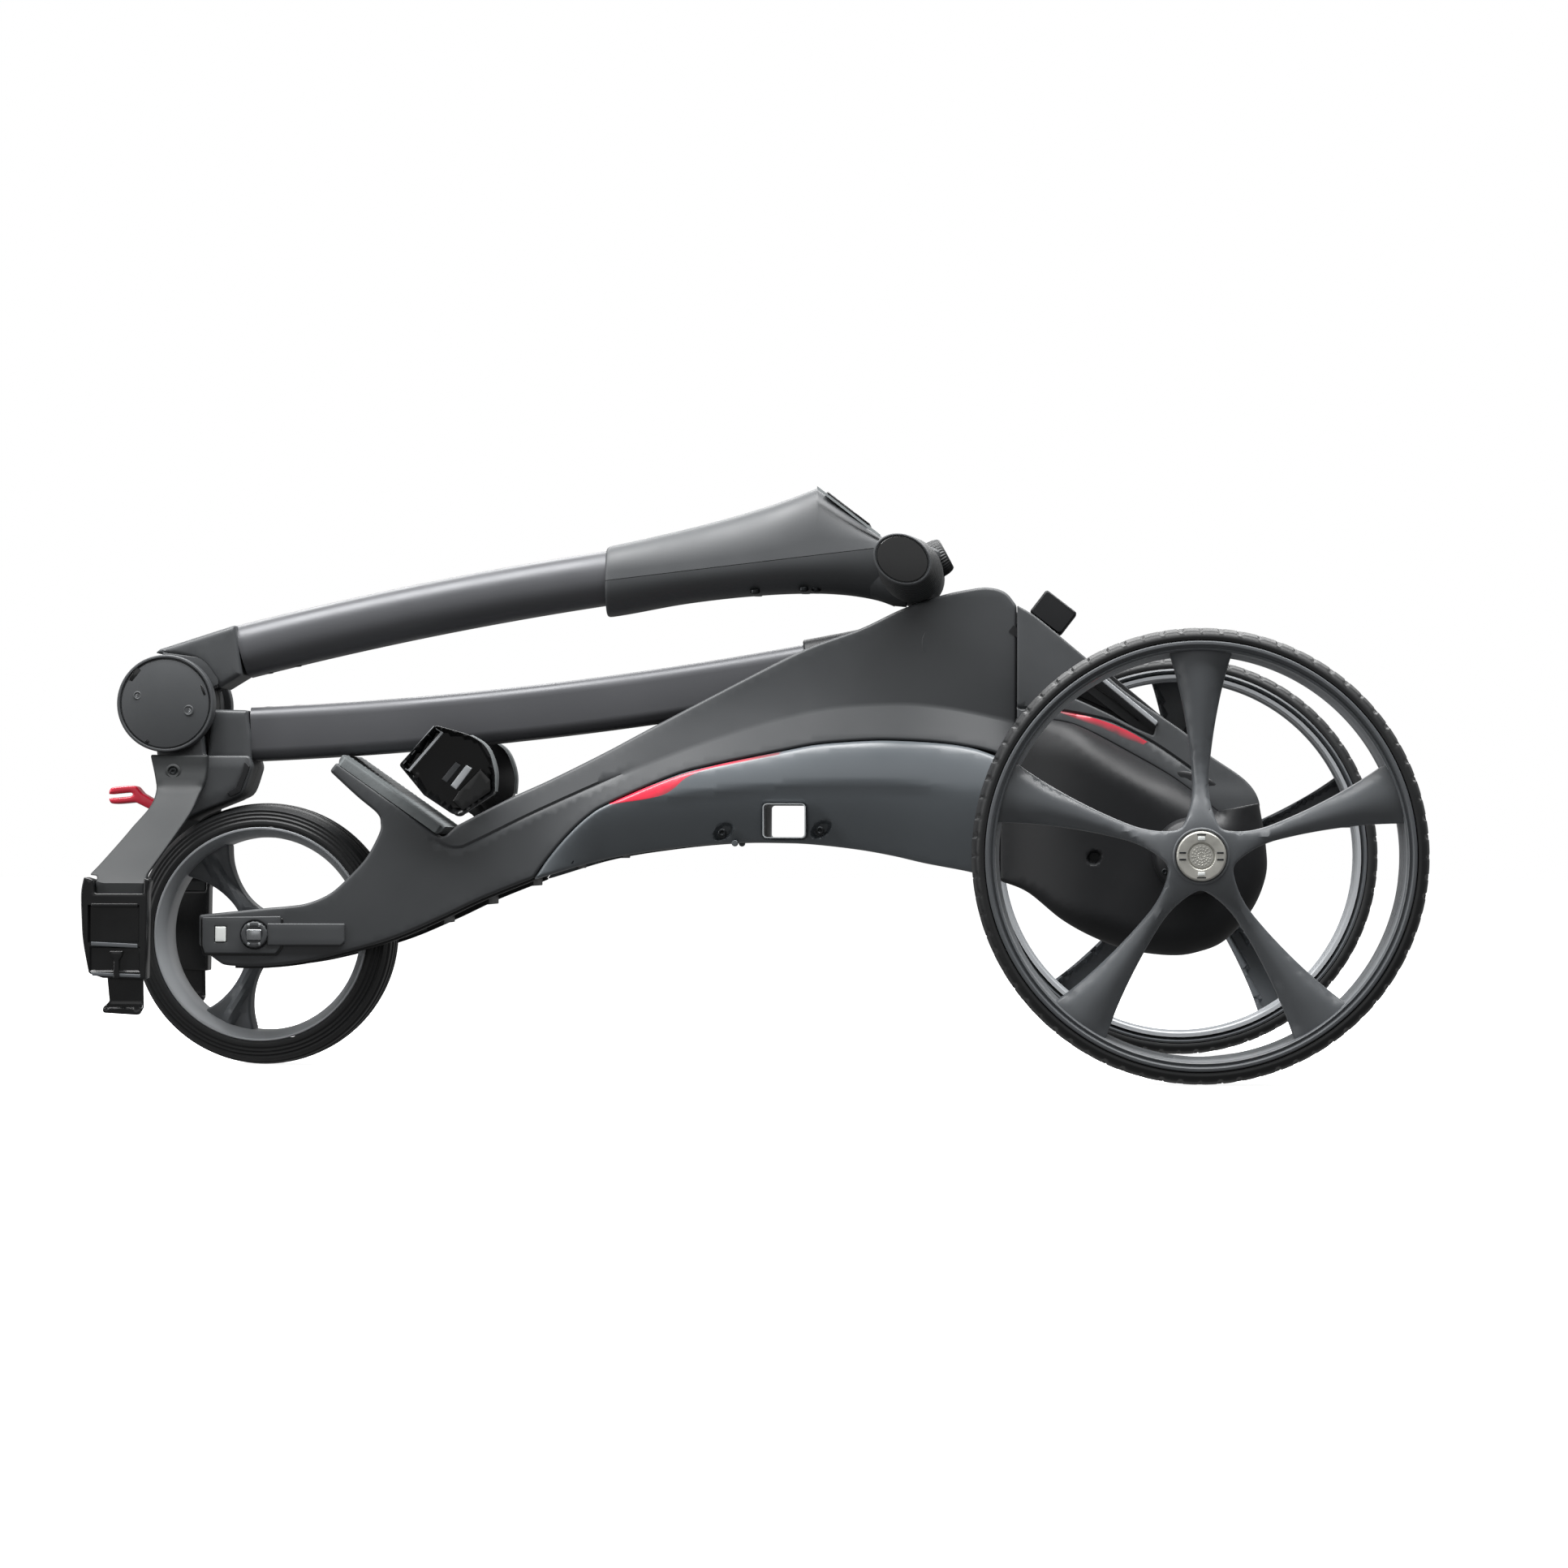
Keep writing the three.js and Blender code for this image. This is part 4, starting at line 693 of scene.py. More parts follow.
def piece(name, shapes, body, replaces=(), sharp=38.0):
    """One object from shapes; it rides on a body and stands for CAD nodes."""
    mesh = bpy.data.meshes.new(name)
    points, faces, kinds, names, fades = [], [], [], [], []
    count = 0
    for s in shapes:
        points.append(s.points)
        faces.extend(tuple(int(i) + count for i in f) for f in s.faces)
        for wanted in (s.material, *(s.face_materials[:1] if s.face_materials else ())):
            if wanted not in names:
                names.append(wanted)
        if s.face_materials:
            other, which = s.face_materials
            kinds.extend(names.index(other if w else s.material) for w in which)
        else:
            kinds.extend([names.index(s.material)] * len(s.faces))
        fades.append(s.fade if s.fade is not None else np.zeros(len(s.points)))
        count += len(s.points)
    points = np.vstack(points) / 1000.0 + (AXLE_X / 1000.0, 0, 0)
    mesh.from_pydata(points.tolist(), [], faces)
    for n in names:
        mesh.materials.append(MATERIALS[n])
    mesh.polygons.foreach_set("material_index", kinds)
    if any(s.fade is not None for s in shapes):
        layer = mesh.attributes.new("fade", "FLOAT", "POINT")
        layer.data.foreach_set("value", np.concatenate(fades).astype(np.float32))
    work = bmesh.new()
    work.from_mesh(mesh)
    bmesh.ops.remove_doubles(work, verts=work.verts, dist=2e-6)
    bmesh.ops.dissolve_degenerate(work, dist=1e-6, edges=work.edges)
    bmesh.ops.recalc_face_normals(work, faces=work.faces)
    work.to_mesh(mesh)
    work.free()
    mesh.shade_smooth()
    mesh.set_sharp_from_angle(angle=math.radians(sharp))
    made = bpy.data.objects.new(name, mesh)
    bpy.context.scene.collection.objects.link(made)
    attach(made, body)
    if replaces:
        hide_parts(*replaces)
    return made


def pair(name, shapes, body, replaces=(), sharp=38.0):
    """The same piece on both sides, from shapes that are drawn on the +Y side."""
    for word, side in SIDES:
        piece(f"{name}_{word}", shapes if side > 0 else [s.mirrored() for s in shapes],
              body.format(word), [r.format(word) for r in replaces], sharp)


def coat_node(name, material):
    """Gives a carried-over CAD node its material."""
    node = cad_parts[name]
    node.data.materials.clear()
    node.data.materials.append(MATERIALS[material])
    for p in node.data.polygons:
        p.material_index = 0


# ------------------------------------------------------------------ the chassis's main lines
BELLY_CREASE = [(-386, 176.2), (-352, 181.2, 1), (-324.3, 184.8, 1), (-289.3, 188.2, 1),
                (-248.1, 190.9, 1), (-197.4, 191.4, 1), (-148.8, 186.5)]
UPPER_CREASE = [(-563.5, 205.8), (-545, 189.3), (-507.5, 155.2), (-496.2, 148.2, 1),
                (-486.6, 146.4, 1), (-475.8, 150.6, 1), (-430.9, 172.6, 1), (-371.5, 199.0, 1),
                (-305.5, 223.6, 1), (-249.6, 238.9, 1), (-201.4, 243.4, 1), (-162.9, 241.1, 1),
                (-114, 231.2)]
SEAM = [(-437, 126.5), (-427, 140, 1), (-413.7, 155.6, 1), (-399.9, 168.3, 1),
        (-386.1, 176.6, 1), (-344.7, 194.6, 1), (-317.1, 202.2, 1), (-270.2, 212, 1),
        (-248.2, 216.2, 1), (-220.7, 218.5, 1), (-197.5, 219, 1), (-162.8, 217, 1),
        (-130.1, 210.8, 1), (-113, 197.5)]
TOP_EDGE = [(-115.4, 309), (-122.7, 317.7, 1), (-132.3, 321.0, 1), (-143.9, 320.6, 1),
            (-167.1, 315.7, 1), (-192.2, 307, 1), (-219.2, 294.2, 1), (-254, 281.4, 1),
            (-290.7, 263.4, 1), (-354.5, 230, 1), (-390.4, 210.6, 1), (-426.4, 192.4, 1),
            (-454.4, 179.4, 1), (-485, 163.4), (-494.2, 158.8)]
LOWER_EDGE = [(-660.8, 101.5), (-660.7, 80.9), (-651.4, 72.8), (-645, 68.2), (-637, 67.3, 1),
              (-615.4, 67.4, 1), (-588.1, 70.6, 1), (-552, 79.4, 1), (-526.6, 87.5, 1),
              (-497.8, 100.1, 1), (-470.8, 112.9, 1), (-437, 126.5)]
FORK_CUT = [(-574.3, 199.2), (-555.3, 180.9, 1), (-541.7, 169.5, 1), (-539.3, 162.8, 1),
            (-540.4, 155.7, 1), (-548.8, 140.0, 1), (-560.5, 127, 1), (-573.0, 116.0, 1),
            (-587.5, 109.6, 1), (-601, 107.4, 1), (-614.8, 106.2), (-658.4, 101.6)]
PAD = 6.5  # the lip's edge is this much lower than the rubber pad on it


def height_of(line):
    """Height of a side-plane line as a function of x."""
    dense = through(line, 2.0, closed=False)
    order = np.argsort(dense[:, 0])
    return lambda x: np.interp(x, dense[order, 0], dense[order, 1])


seam_z = height_of(SEAM)
crease_z = height_of(UPPER_CREASE[3:])
top_z = height_of(TOP_EDGE)
belly_crease_z = height_of(BELLY_CREASE)
lower_z = height_of([(-437, 126.5), (-434.8, 127.3, 1), (-389.8, 139.1, 1), (-344.8, 146.4, 1),
                     (-305.6, 150.1, 1), (-275.8, 150.4, 1), (-251, 149.4, 1), (-220.7, 146, 1),
                     (-197.4, 141.9, 1), (-175.8, 137, 1), (-146.3, 131.4)])
# distance of the side surface from the centre plane along those lines
AT_SEAM = curve_at((-450, 57), (-420, 56.8), (-386, 55.5), (-344, 52.5), (-290, 50.0),
                   (-230, 48.5), (-170, 48.5), (-114, 49.5))
AT_CREASE = curve_at((-520, 57), (-480, 56.6), (-450, 54.6), (-420, 52.0), (-371, 47.6),
                     (-305, 43.0), (-250, 40.2), (-200, 38.6), (-160, 38.2), (-114, 40.4))
AT_TOP = curve_at((-520, 54), (-490, 53.2), (-450, 49.6), (-420, 46), (-371, 41.0),
                  (-305, 38.0), (-260, 36.4), (-220, 35.6), (-180, 37.6), (-145, 41.2),
                  (-114, 45.0))


def side_surface(x, z, d):
    """Distance of the side frame's outer face from the centre plane."""
    from_crease = distance_to(np.stack([x, z], 1), [(CREASE_LINE, False)])
    seam, crease, top = seam_z(x), crease_z(x), top_z(x)
    band = np.clip((z - seam) / np.maximum(crease - seam, 1.0), 0, 1)
    low = AT_SEAM(x) + (AT_CREASE(x) - AT_SEAM(x)) * band
    up = np.clip((z - crease) / np.maximum(top - crease, 1.0), 0, 1)
    # hollow just above the crease, upright near the top
    bow = 1 + 1.2 * ease(x, -360, -260)
    high = AT_CREASE(x) + (AT_TOP(x) - AT_CREASE(x)) * (1 - (1 - up) ** bow)
    body = np.where(z > crease, high, low)
    above = np.where(x < -507, lip_side(x, z) > 0, z > crease)
    front = 57.0 - 0.34 * from_crease * above
    value = front + (body - front) * ease(x, -500, -468)
    groove = 1.3 * (1 - ease(from_crease, 0.2, 1.6)) * ease(x, -512, -500) * (
        1 - ease(x, -400, -360))
    return value - groove


CREASE_LINE = through(UPPER_CREASE, 1.6, closed=False)


def beside(line, gap):
    """A line drawn `gap` away from another."""
    way = np.gradient(line, axis=0)
    across = np.stack([-way[:, 1], way[:, 0]], 1) / np.linalg.norm(way, axis=1)[:, None]
    return line + across * gap


def lip_side(x, z):
    """Positive on the notch's side of the crease along the lip."""
    a, b = np.array(UPPER_CREASE[0]), np.array(UPPER_CREASE[2])
    run = b - a
    return (x - a[0]) * -run[1] + (z - a[1]) * run[0]


def side_inside(x, z, d):
    """Inner face of the side frame: thin beside the shaft's tunnel, thicker in the fork leg."""
    leg = 37.0 + 8.0 * ease(x, -521, -515)
    return np.where(x > -470, np.minimum(leg, side_surface(x, z, d) - 3.2), leg)


def pocket(x, z, at, depth=5.0, length=8.5, width=5.0):
    """Depth of a slanted screw pocket, steep at its upper left."""
    a = math.radians(38.0)
    along = (x - at[0]) * math.cos(a) + (z - at[1]) * math.sin(a)
    across = -(x - at[0]) * math.sin(a) + (z - at[1]) * math.cos(a)
    r = np.sqrt((along / length) ** 2 + (across / width) ** 2)
    return depth * (1 - ease(r, 0.62, 1.0))


class TROLLEY_OT_side_frames(bpy.types.Operator):
    """Side frames: fork legs, lip and arch in one moulding on each side"""
    bl_idname = "trolley.side_frames"
    bl_label = "Side frames"

    def execute(self, context):
        edge = context.scene.trolley_sizes.edge_round * 1000
        gap = context.scene.trolley_sizes.seam_gap * 1000
        seam = [(p[0], p[1] + gap / 2, *p[2:]) for p in SEAM]
        lip_drop = np.array([-0.68, -0.733]) * PAD  # square to the lip's top
        tip, notch = np.array((-564.5, 208.2)) + lip_drop, np.array((-494.5, 158.6)) + lip_drop
        points = (LOWER_EDGE + seam[1:-1] + [(-115.2, 201)] + TOP_EDGE[:-1]
                  + [(-488.5, 161.6), (notch[0] + 3.0, notch[1] + 1.0), tuple(notch), tuple(tip)]
                  + [(-573.5, 197.6)] + FORK_CUT[1:])
        loop = outline(points, 2.0, 2.0)
        slot_hole = outline([(-648.4, 83.5), (-643.1, 83.5), (-643.1, 93.2), (-648.4, 93.2)],
                            1.0, 0.8)
        screw_x, screw_z = -411.8, 139.5

        def outer(x, z, d):
            return side_surface(x, z, d) - pocket(x, z, (screw_x, screw_z))

        frame_side = skin(loop, outer, side_inside, "nylon_moulded", holes=[slot_hole],
                          creases=[CREASE_LINE, beside(CREASE_LINE, 1.7),
                                   beside(CREASE_LINE, -1.7)],
                          fine=[(screw_x, screw_z, 11, 1.3)], spacing=4.2, edge=edge)
        # boss that carries the pivot pin
        boss = lathe(soft_profile([(0, 32.4), (14, 32.4), (14, 38), (0, 38)], 1.0), PIVOT,
                     "nylon_moulded", 40, closed=False)
        screw = dome(screw_x - 1.2, 50.6, screw_z - 1.1, 3.0, 1.2, 1, SCREW)
        pair("side_frame_skin", [frame_side, boss, screw], "chassis", ["side_frame_{}"])
        self.core()
        self.flange()
        return {"FINISHED"}

    def flange(self):
        """Thin dark flange under the fork and the belly's tip."""
        line = through(LOWER_EDGE[4:], 3.0, closed=False)
        way = np.gradient(line, axis=0)
        down = np.stack([way[:, 1], -way[:, 0]], 1)
        down /= np.linalg.norm(down, axis=1)[:, None]
        inner_y, outer_y = 40, 51.5
        rings = []
        for p, q in zip(line, down):
            a, b = p - q * 2.0, p + q * 1.5
            rings.append([(a[0], inner_y, a[1]), (a[0], outer_y, a[1]), (b[0], outer_y, b[1]),
                          (b[0], inner_y, b[1])])
        pair("fork_flange", [loft(rings, "abs_moulded_black")], "chassis")

    def core(self):
        """Black inner beam below the tunnel that the lower shaft folds into."""
        loop = outline([(-514, 102.5), (-471, 121, 1), (-390, 147, 1), (-290, 158.5, 1),
                        (-244, 157.5), (-242, 160.5), (-197, 155.5, 1), (-150, 147), (-106, 131.0),
                        (-104, 125.5), (-80, 112.5), (-80, 242.5), (-104, 258.0),
                        (-139, 258.4), (-177, 258.4), (-254, 241.0, 1), (-354, 216.4, 1),
                        (-454, 172.0, 1), (-491.5, 151.4), (-514, 147)], 4.0, 1.0)
        window = outline([(-285.2, 152.4), (-254.4, 152.4), (-254.4, 178.0), (-285.2, 178.0)],
                         3.0, 3.0)

        def half(x, z, d):
            beam = np.minimum(40.0, side_surface(x, z, d) - 5.0)
            behind_belly = 40.0 - 5.0 * (z < 160)
            return np.where(z < seam_z(x) - 3, behind_belly, beam) - 3.0 * (x < -486)

        side = skin(loop, half, level(0.2), "abs_moulded_black",
                    holes=[window], spacing=9.0, edge=1.5)
        ribs = []
        for x in (-500, -470, -440, -410, -380):  # stiffening ribs on the underside
            z = float(lower_z(x)) if x > -437 else 97.0 + (x + 500) * 0.42
            ribs.append(slab_box(x - 1.2, x + 1.2, -33, 33, z - 1.0, z + 6.0,
                                 "abs_moulded_black", 0.5))
        piece("inner_beam", [side, side.mirrored(), *ribs], "chassis",
              ["chassis_spine"])


class TROLLEY_OT_belly_shells(bpy.types.Operator):
    """Painted belly shells with their window, screw pockets and red sweep"""
    bl_idname = "trolley.belly_shells"
    bl_label = "Belly shells"

    def execute(self, context):
        gap = context.scene.trolley_sizes.seam_gap * 1000
        bottom = [(-436.4, 125.6), (-389.8, 139.1, 1), (-344.8, 146.4, 1), (-305.6, 150.1, 1),
                  (-275.8, 150.4, 1), (-251, 149.4, 1), (-220.7, 146, 1), (-197.4, 141.9, 1),
                  (-175.8, 137, 1), (-146.3, 131.4, 1), (-126.6, 126.0)]
        top = [(p[0], p[1] - gap / 2, *p[2:]) for p in SEAM[1:-2]] + [(-148, 214.6)]
        points = bottom + [(-126.2, 150), (-126.2, 207.4), (-139.2, 212.2, 1)] + top[::-1]
        loop = outline(points, 2.0, 0.8)
        window = outline([(-284.0, 153.5), (-255.3, 153.5), (-255.3, 176.9), (-284.0, 176.9)],
                         1.5, 3.0)
        pockets = [(-310.7, 158.0), (-245.5, 159.6)]
        crease = through(BELLY_CREASE, 1.8, closed=False)
        sweep = through([(-387.3, 175.7), (-378.5, 180.0, 1), (-359.5, 188.0, 1),
                         (-332.5, 197.4, 1), (-302.7, 204.9, 1), (-272.0, 211.0)], 1.8,
                        closed=False)
        lower = through([(-272.0, 209.4), (-302.7, 203.4, 1), (-321.7, 199.3, 1),
                         (-335.0, 193.8, 1), (-343.0, 186.6, 1), (-350.5, 182.2, 1),
                         (-364.0, 179.0, 1), (-387.3, 175.7)], 1.8, closed=False)
        region = np.vstack([sweep, lower[1:-1]])
        half = curve_at((-450, 57), (-400, 57), (-344, 56.8), (-290, 56.6), (-146, 57))

        def outer(x, z, d):
            seam, fold, foot = seam_z(x), belly_crease_z(x), lower_z(x)
            fold = np.where(x < -386, seam, fold)
            up = np.clip((z - fold) / np.maximum(seam - fold, 1.0), 0, 1)
            # rounded shoulder: nearly level with the side frame at the seam
            start = AT_SEAM(x) - 0.6
            high = start + (half(x) - start) * np.sqrt(np.clip(1 - up ** 1.6, 0, 1))
            down = np.clip((fold - z) / np.maximum(fold - foot, 1.0), 0, 1)
            # the foot tucks in under the body, with a fine step along the fold
            tuck = 14.5 * down ** 1.4 * ease(x, -430, -390)
            low = half(x) - tuck - 1.2 * ease(down, 0, 0.15) * ease(x, -386, -330) * (
                1 - ease(x, -190, -150))
            value = np.where(x < -386, half(x) - tuck, np.where(z > fold, high, low))
            for at in pockets:
                value = value - pocket(x, z, at, 6.0)
            return value

        def inner(x, z, d):
            return np.minimum(SHELL_INSIDE + 0.2, outer(x, z, d) - 2.6)

        def fade_of(x, z):
            """The red thins out into the paint towards its lower right."""
            depth = np.clip((seam_z(x) - 1.0 - z) / 13.0, 0, 1)
            return 0.8 * ease(depth + 0.012 * (x + 356), 0.35, 1.0) * ease(x, -372, -345)

        made = [skin(loop, outer, inner, "abs_painted_satin", holes=[window],
                     creases=[crease, sweep, lower],
                     fine=[(x, z, 12, 1.3) for x, z in pockets], spacing=4.2, edge=2.4,
                     paint=(region, "film_red", fade_of))]
        made += [dome(x - 0.6, 48.2, z - 1.0, 3.0, 1.3, 1, SCREW) for x, z in pockets]
        # drain nipple under the shell
        made.append(lathe(soft_profile([(0, 41), (2.2, 41), (2.2, 45), (0, 45)], 0.8),
                          (-303, 150.2), "abs_painted_satin", 16, closed=False))
        pair("belly_skin", made, "chassis", ["belly_shell_{}"])
        self.window_lining()
        return {"FINISHED"}

    def window_lining(self):
        """Lining of the window right through the body."""
        reach, stations = 56.2, 10

        def sleeve(half_width, half_height, radius):
            section = box_section(half_width, half_height, radius, 4)
            return loft([[(u - 269.65, y, v + 165.2) for u, v in section]
                         for y in np.linspace(-reach, reach, stations)], "window_grey",
                        capped=False)

        outer, inner = sleeve(14.3, 11.6, 2.8), sleeve(13.6, 10.9, 2.2)
        shift = len(outer.points)
        k = shift // stations
        faces = list(outer.faces) + [tuple(i + shift for i in f[::-1]) for f in inner.faces]
        for end in (0, shift - k):
            faces += [(end + m, end + (m + 1) % k, shift + end + (m + 1) % k, shift + end + m)
                      for m in range(k)]
        piece("window_lining", [Shape(np.vstack([outer.points, inner.points]), faces,
                                      "window_grey")], "chassis")


class TROLLEY_OT_rear_covers(bpy.types.Operator):
    """Rear covers with their vent and red stripe, and the battery seat's rim"""
    bl_idname = "trolley.rear_covers"
    bl_label = "Rear covers"

    def execute(self, context):
        points = [(-115.1, 309.2), (-115.1, 256), (-115.1, 233.2), (-95.6, 232.8, 1),
                  (-73.6, 228.0, 1), (-36, 208.6, 1), (-9.1, 192.6, 1), (17.7, 171.9),
                  (30, 167), (44.5, 166), (45.6, 178.8, 1), (36.6, 192.8, 1), (13.8, 208.8),
                  (-3.8, 224.6, 1), (-40.1, 249.5, 1), (-69.5, 274.4, 1), (-101.2, 300.5, 1)]
        loop = outline(points, 2.0, 1.2)
        vent = outline([(-61.2, 261.2), (-83.0, 249.6), (-69.0, 243.8, 1), (-52.7, 236.2, 1),
                        (-36.3, 227.6, 1), (-24.5, 222.6), (-22.4, 229.4)], 1.5, 1.0)
        stripe_line = [(-90.0, 239.2), (-79.0, 237.6, 1), (-59.2, 232.5, 1), (-42.8, 226.2, 1),
                       (-27.8, 217.9)]
        stripe = through(stripe_line, 1.5, closed=False)
        under = through([(-29.6, 216.0), (-44.5, 220.6, 1), (-59.2, 227.4, 1),
                         (-76.0, 233.6, 1), (-90.0, 239.2)], 1.5, closed=False)
        region = np.vstack([stripe, under[1:-1]])
        fold = [(-114.0, 240.4), (-92.0, 239.6, 1), (-59.2, 233.6, 1), (-42.8, 227.2, 1),
                (-20.0, 214.6, 1), (12, 192)]
        fold_line = through(fold, 1.6, closed=False)
        stripe_top, fold_z = height_of(stripe_line), height_of(fold)

        def outer(x, z, d):
            top = np.interp(x, [-115, -101.2, -69.5, -40.1, -3.8, 13.8, 36.6, 45.6],
                            [309, 300.5, 274.4, 249.5, 224.6, 208.8, 192.8, 178.8])
            tall = np.clip((top - z) / 60.0, 0, 1)
            below = np.clip((fold_z(x) - z) / 10.0, 0, 1)
            step = 1.5 * (1 - ease(np.abs(z - fold_z(x) - 0.4), 0.3, 1.3)) * (x < 8)
            return (46.6 + 3.6 * np.sin(tall * math.pi / 2) ** 1.2 + 1.0 * below
                    + 2.4 * ease(x, -10, 30) - step)

        def fade_of(x, z):
            """The stripe sinks into the shell below its upper edge and at both ends; the red is
            also turned a quarter of the way to the shell colour all over, which is painted shade.
            """
            depth = (stripe_top(x) - z) / 5.0
            return np.clip(0.25 + 0.75 * ease(depth, 0.25, 1.0) + 0.5 * (1 - ease(x, -88, -66)),
                           0, 1)

        cover = skin(loop, outer, level(41.5), "nylon_moulded", holes=[vent],
                     creases=[stripe, under, fold_line, beside(fold_line, 1.5),
                              beside(fold_line, -1.5)], spacing=4.0, edge=1.4,
                     paint=(region, "film_red", fade_of))
        # dark floor behind the vent, a pale inner rail along its upper side, whose pale grey is a
        # painted highlight where the vent's upper wall catches the light, and a louvre
        floor = plate([(-88, 262), (-86, 246), (-60, 232), (-22, 214), (-12, 230), (-58, 268)],
                      36.0, 38.4, "abs_moulded_black")
        painted_highlight_rail = plate([(-63.0, 262.0), (-60.2, 263.2), (-21.4, 231.6), (-23.0, 229.0)],
                     41.8, 51.0, "pale_grey_painted_sheen", corner=0.5, edge=0.5, spacing=5)
        louvre = plate([(-80.0, 251.0), (-70, 246.6), (-46, 236), (-33, 232.5), (-50, 246.5),
                        (-66, 256.5)], 38.2, 41.6, "abs_moulded_black", corner=1.2, edge=0.8,
                       spacing=6)
        # strip behind the joint with the side frame
        backing = plate([(-124, 300), (-124, 214), (-106, 214), (-106, 296)], 33.5, 37.0,
                        "abs_moulded_black", spacing=12)
        pair("rear_cover_skin", [cover, floor, painted_highlight_rail, louvre, backing], "chassis",
             ["rear_cover_{}"])
        return {"FINISHED"}


class TROLLEY_OT_battery_seat(bpy.types.Operator):
    """Sloping battery seat between the rear covers, with ribs and a latch block"""
    bl_idname = "trolley.battery_seat"
    bl_label = "Battery seat and latch"

    def execute(self, context):
        coat_node("battery_tray", "abs_moulded_black")
        along, out = SLOPE_ALONG, SLOPE_OUT
        start = np.array([lowest("battery_tray")[0] - AXLE_X, highest("battery_tray")[2]])
        made = []
        for y in (-37.0, -22.2, 22.2, 37.0):  # ribs each side of the plug's channel
            a = start + along * 12 - out * 1.5
            b = start + along * 122 - out * 1.5
            made.append(loft([[(p[0], y - 1.2, p[1]), (p[0], y + 1.2, p[1]),
                               (p[0] + 3 * out[0], y + 0.8, p[1] + 3 * out[1]),
                               (p[0] + 3 * out[0], y - 0.8, p[1] + 3 * out[1])]
                              for p in (a, b)], "abs_moulded_black"))
        # terminal block at the lower end of the seat
        foot = start + along * 108 + out * 0.5
        section = box_section(16, 7, 2)
        rings = []
        for run in (0, 1.5, 13.5, 15):
            shrink = 1.0 if run in (0, 15) else 0.0
            p = foot + along * run
            rings.append([(p[0] + (v + 7) * out[0] * (1 - 0.05 * shrink), u * (1 - 0.05 * shrink),
                           p[1] + (v + 7) * out[1]) for u, v in section])
        made.append(loft(rings, "abs_moulded_gloss"))
        piece("battery_seat_ribs", made, "chassis")
        corners = [(-107.0, 306.3), (-95.5, 321.3), (-74.8, 305.4), (-86.2, 290.6)]
        centre = np.mean(corners, 0)
        half = highest("frame_latch")[1]

        def block(shrink, y):
            return [(p[0] + (centre[0] - p[0]) * shrink, y, p[1] + (centre[1] - p[1]) * shrink)
                    for p in outline(corners, 2.0, 2.0)]

        shapes = [loft([block(0.09, -half), block(0.02, -half + 0.8), block(0, -half + 2),
                        block(0, half - 2), block(0.02, half - 0.8), block(0.09, half)],
                       "abs_moulded_black")]
        for k in range(4):  # thumb ridges across the latch's top
            top, end = np.array(corners[1]), np.array(corners[2])
            p = top + (end - top) * (0.2 + 0.2 * k)
            shapes.append(lathe(soft_profile([(0, -half + 3), (1.1, -half + 3), (1.1, half - 3),
                                              (0, half - 3)], 0.5), tuple(p - 0.9 * out),
                                "abs_moulded_black", 12, closed=False))
        piece("frame_latch_block", shapes + [plate(
            [(-103.6, 304.0), (-88.5, 292.4), (-98.4, 279.6), (-113.2, 291.2)], -half + 2,
            half - 2, "abs_moulded_black")], "latch", ["frame_latch"])
        return {"FINISHED"}


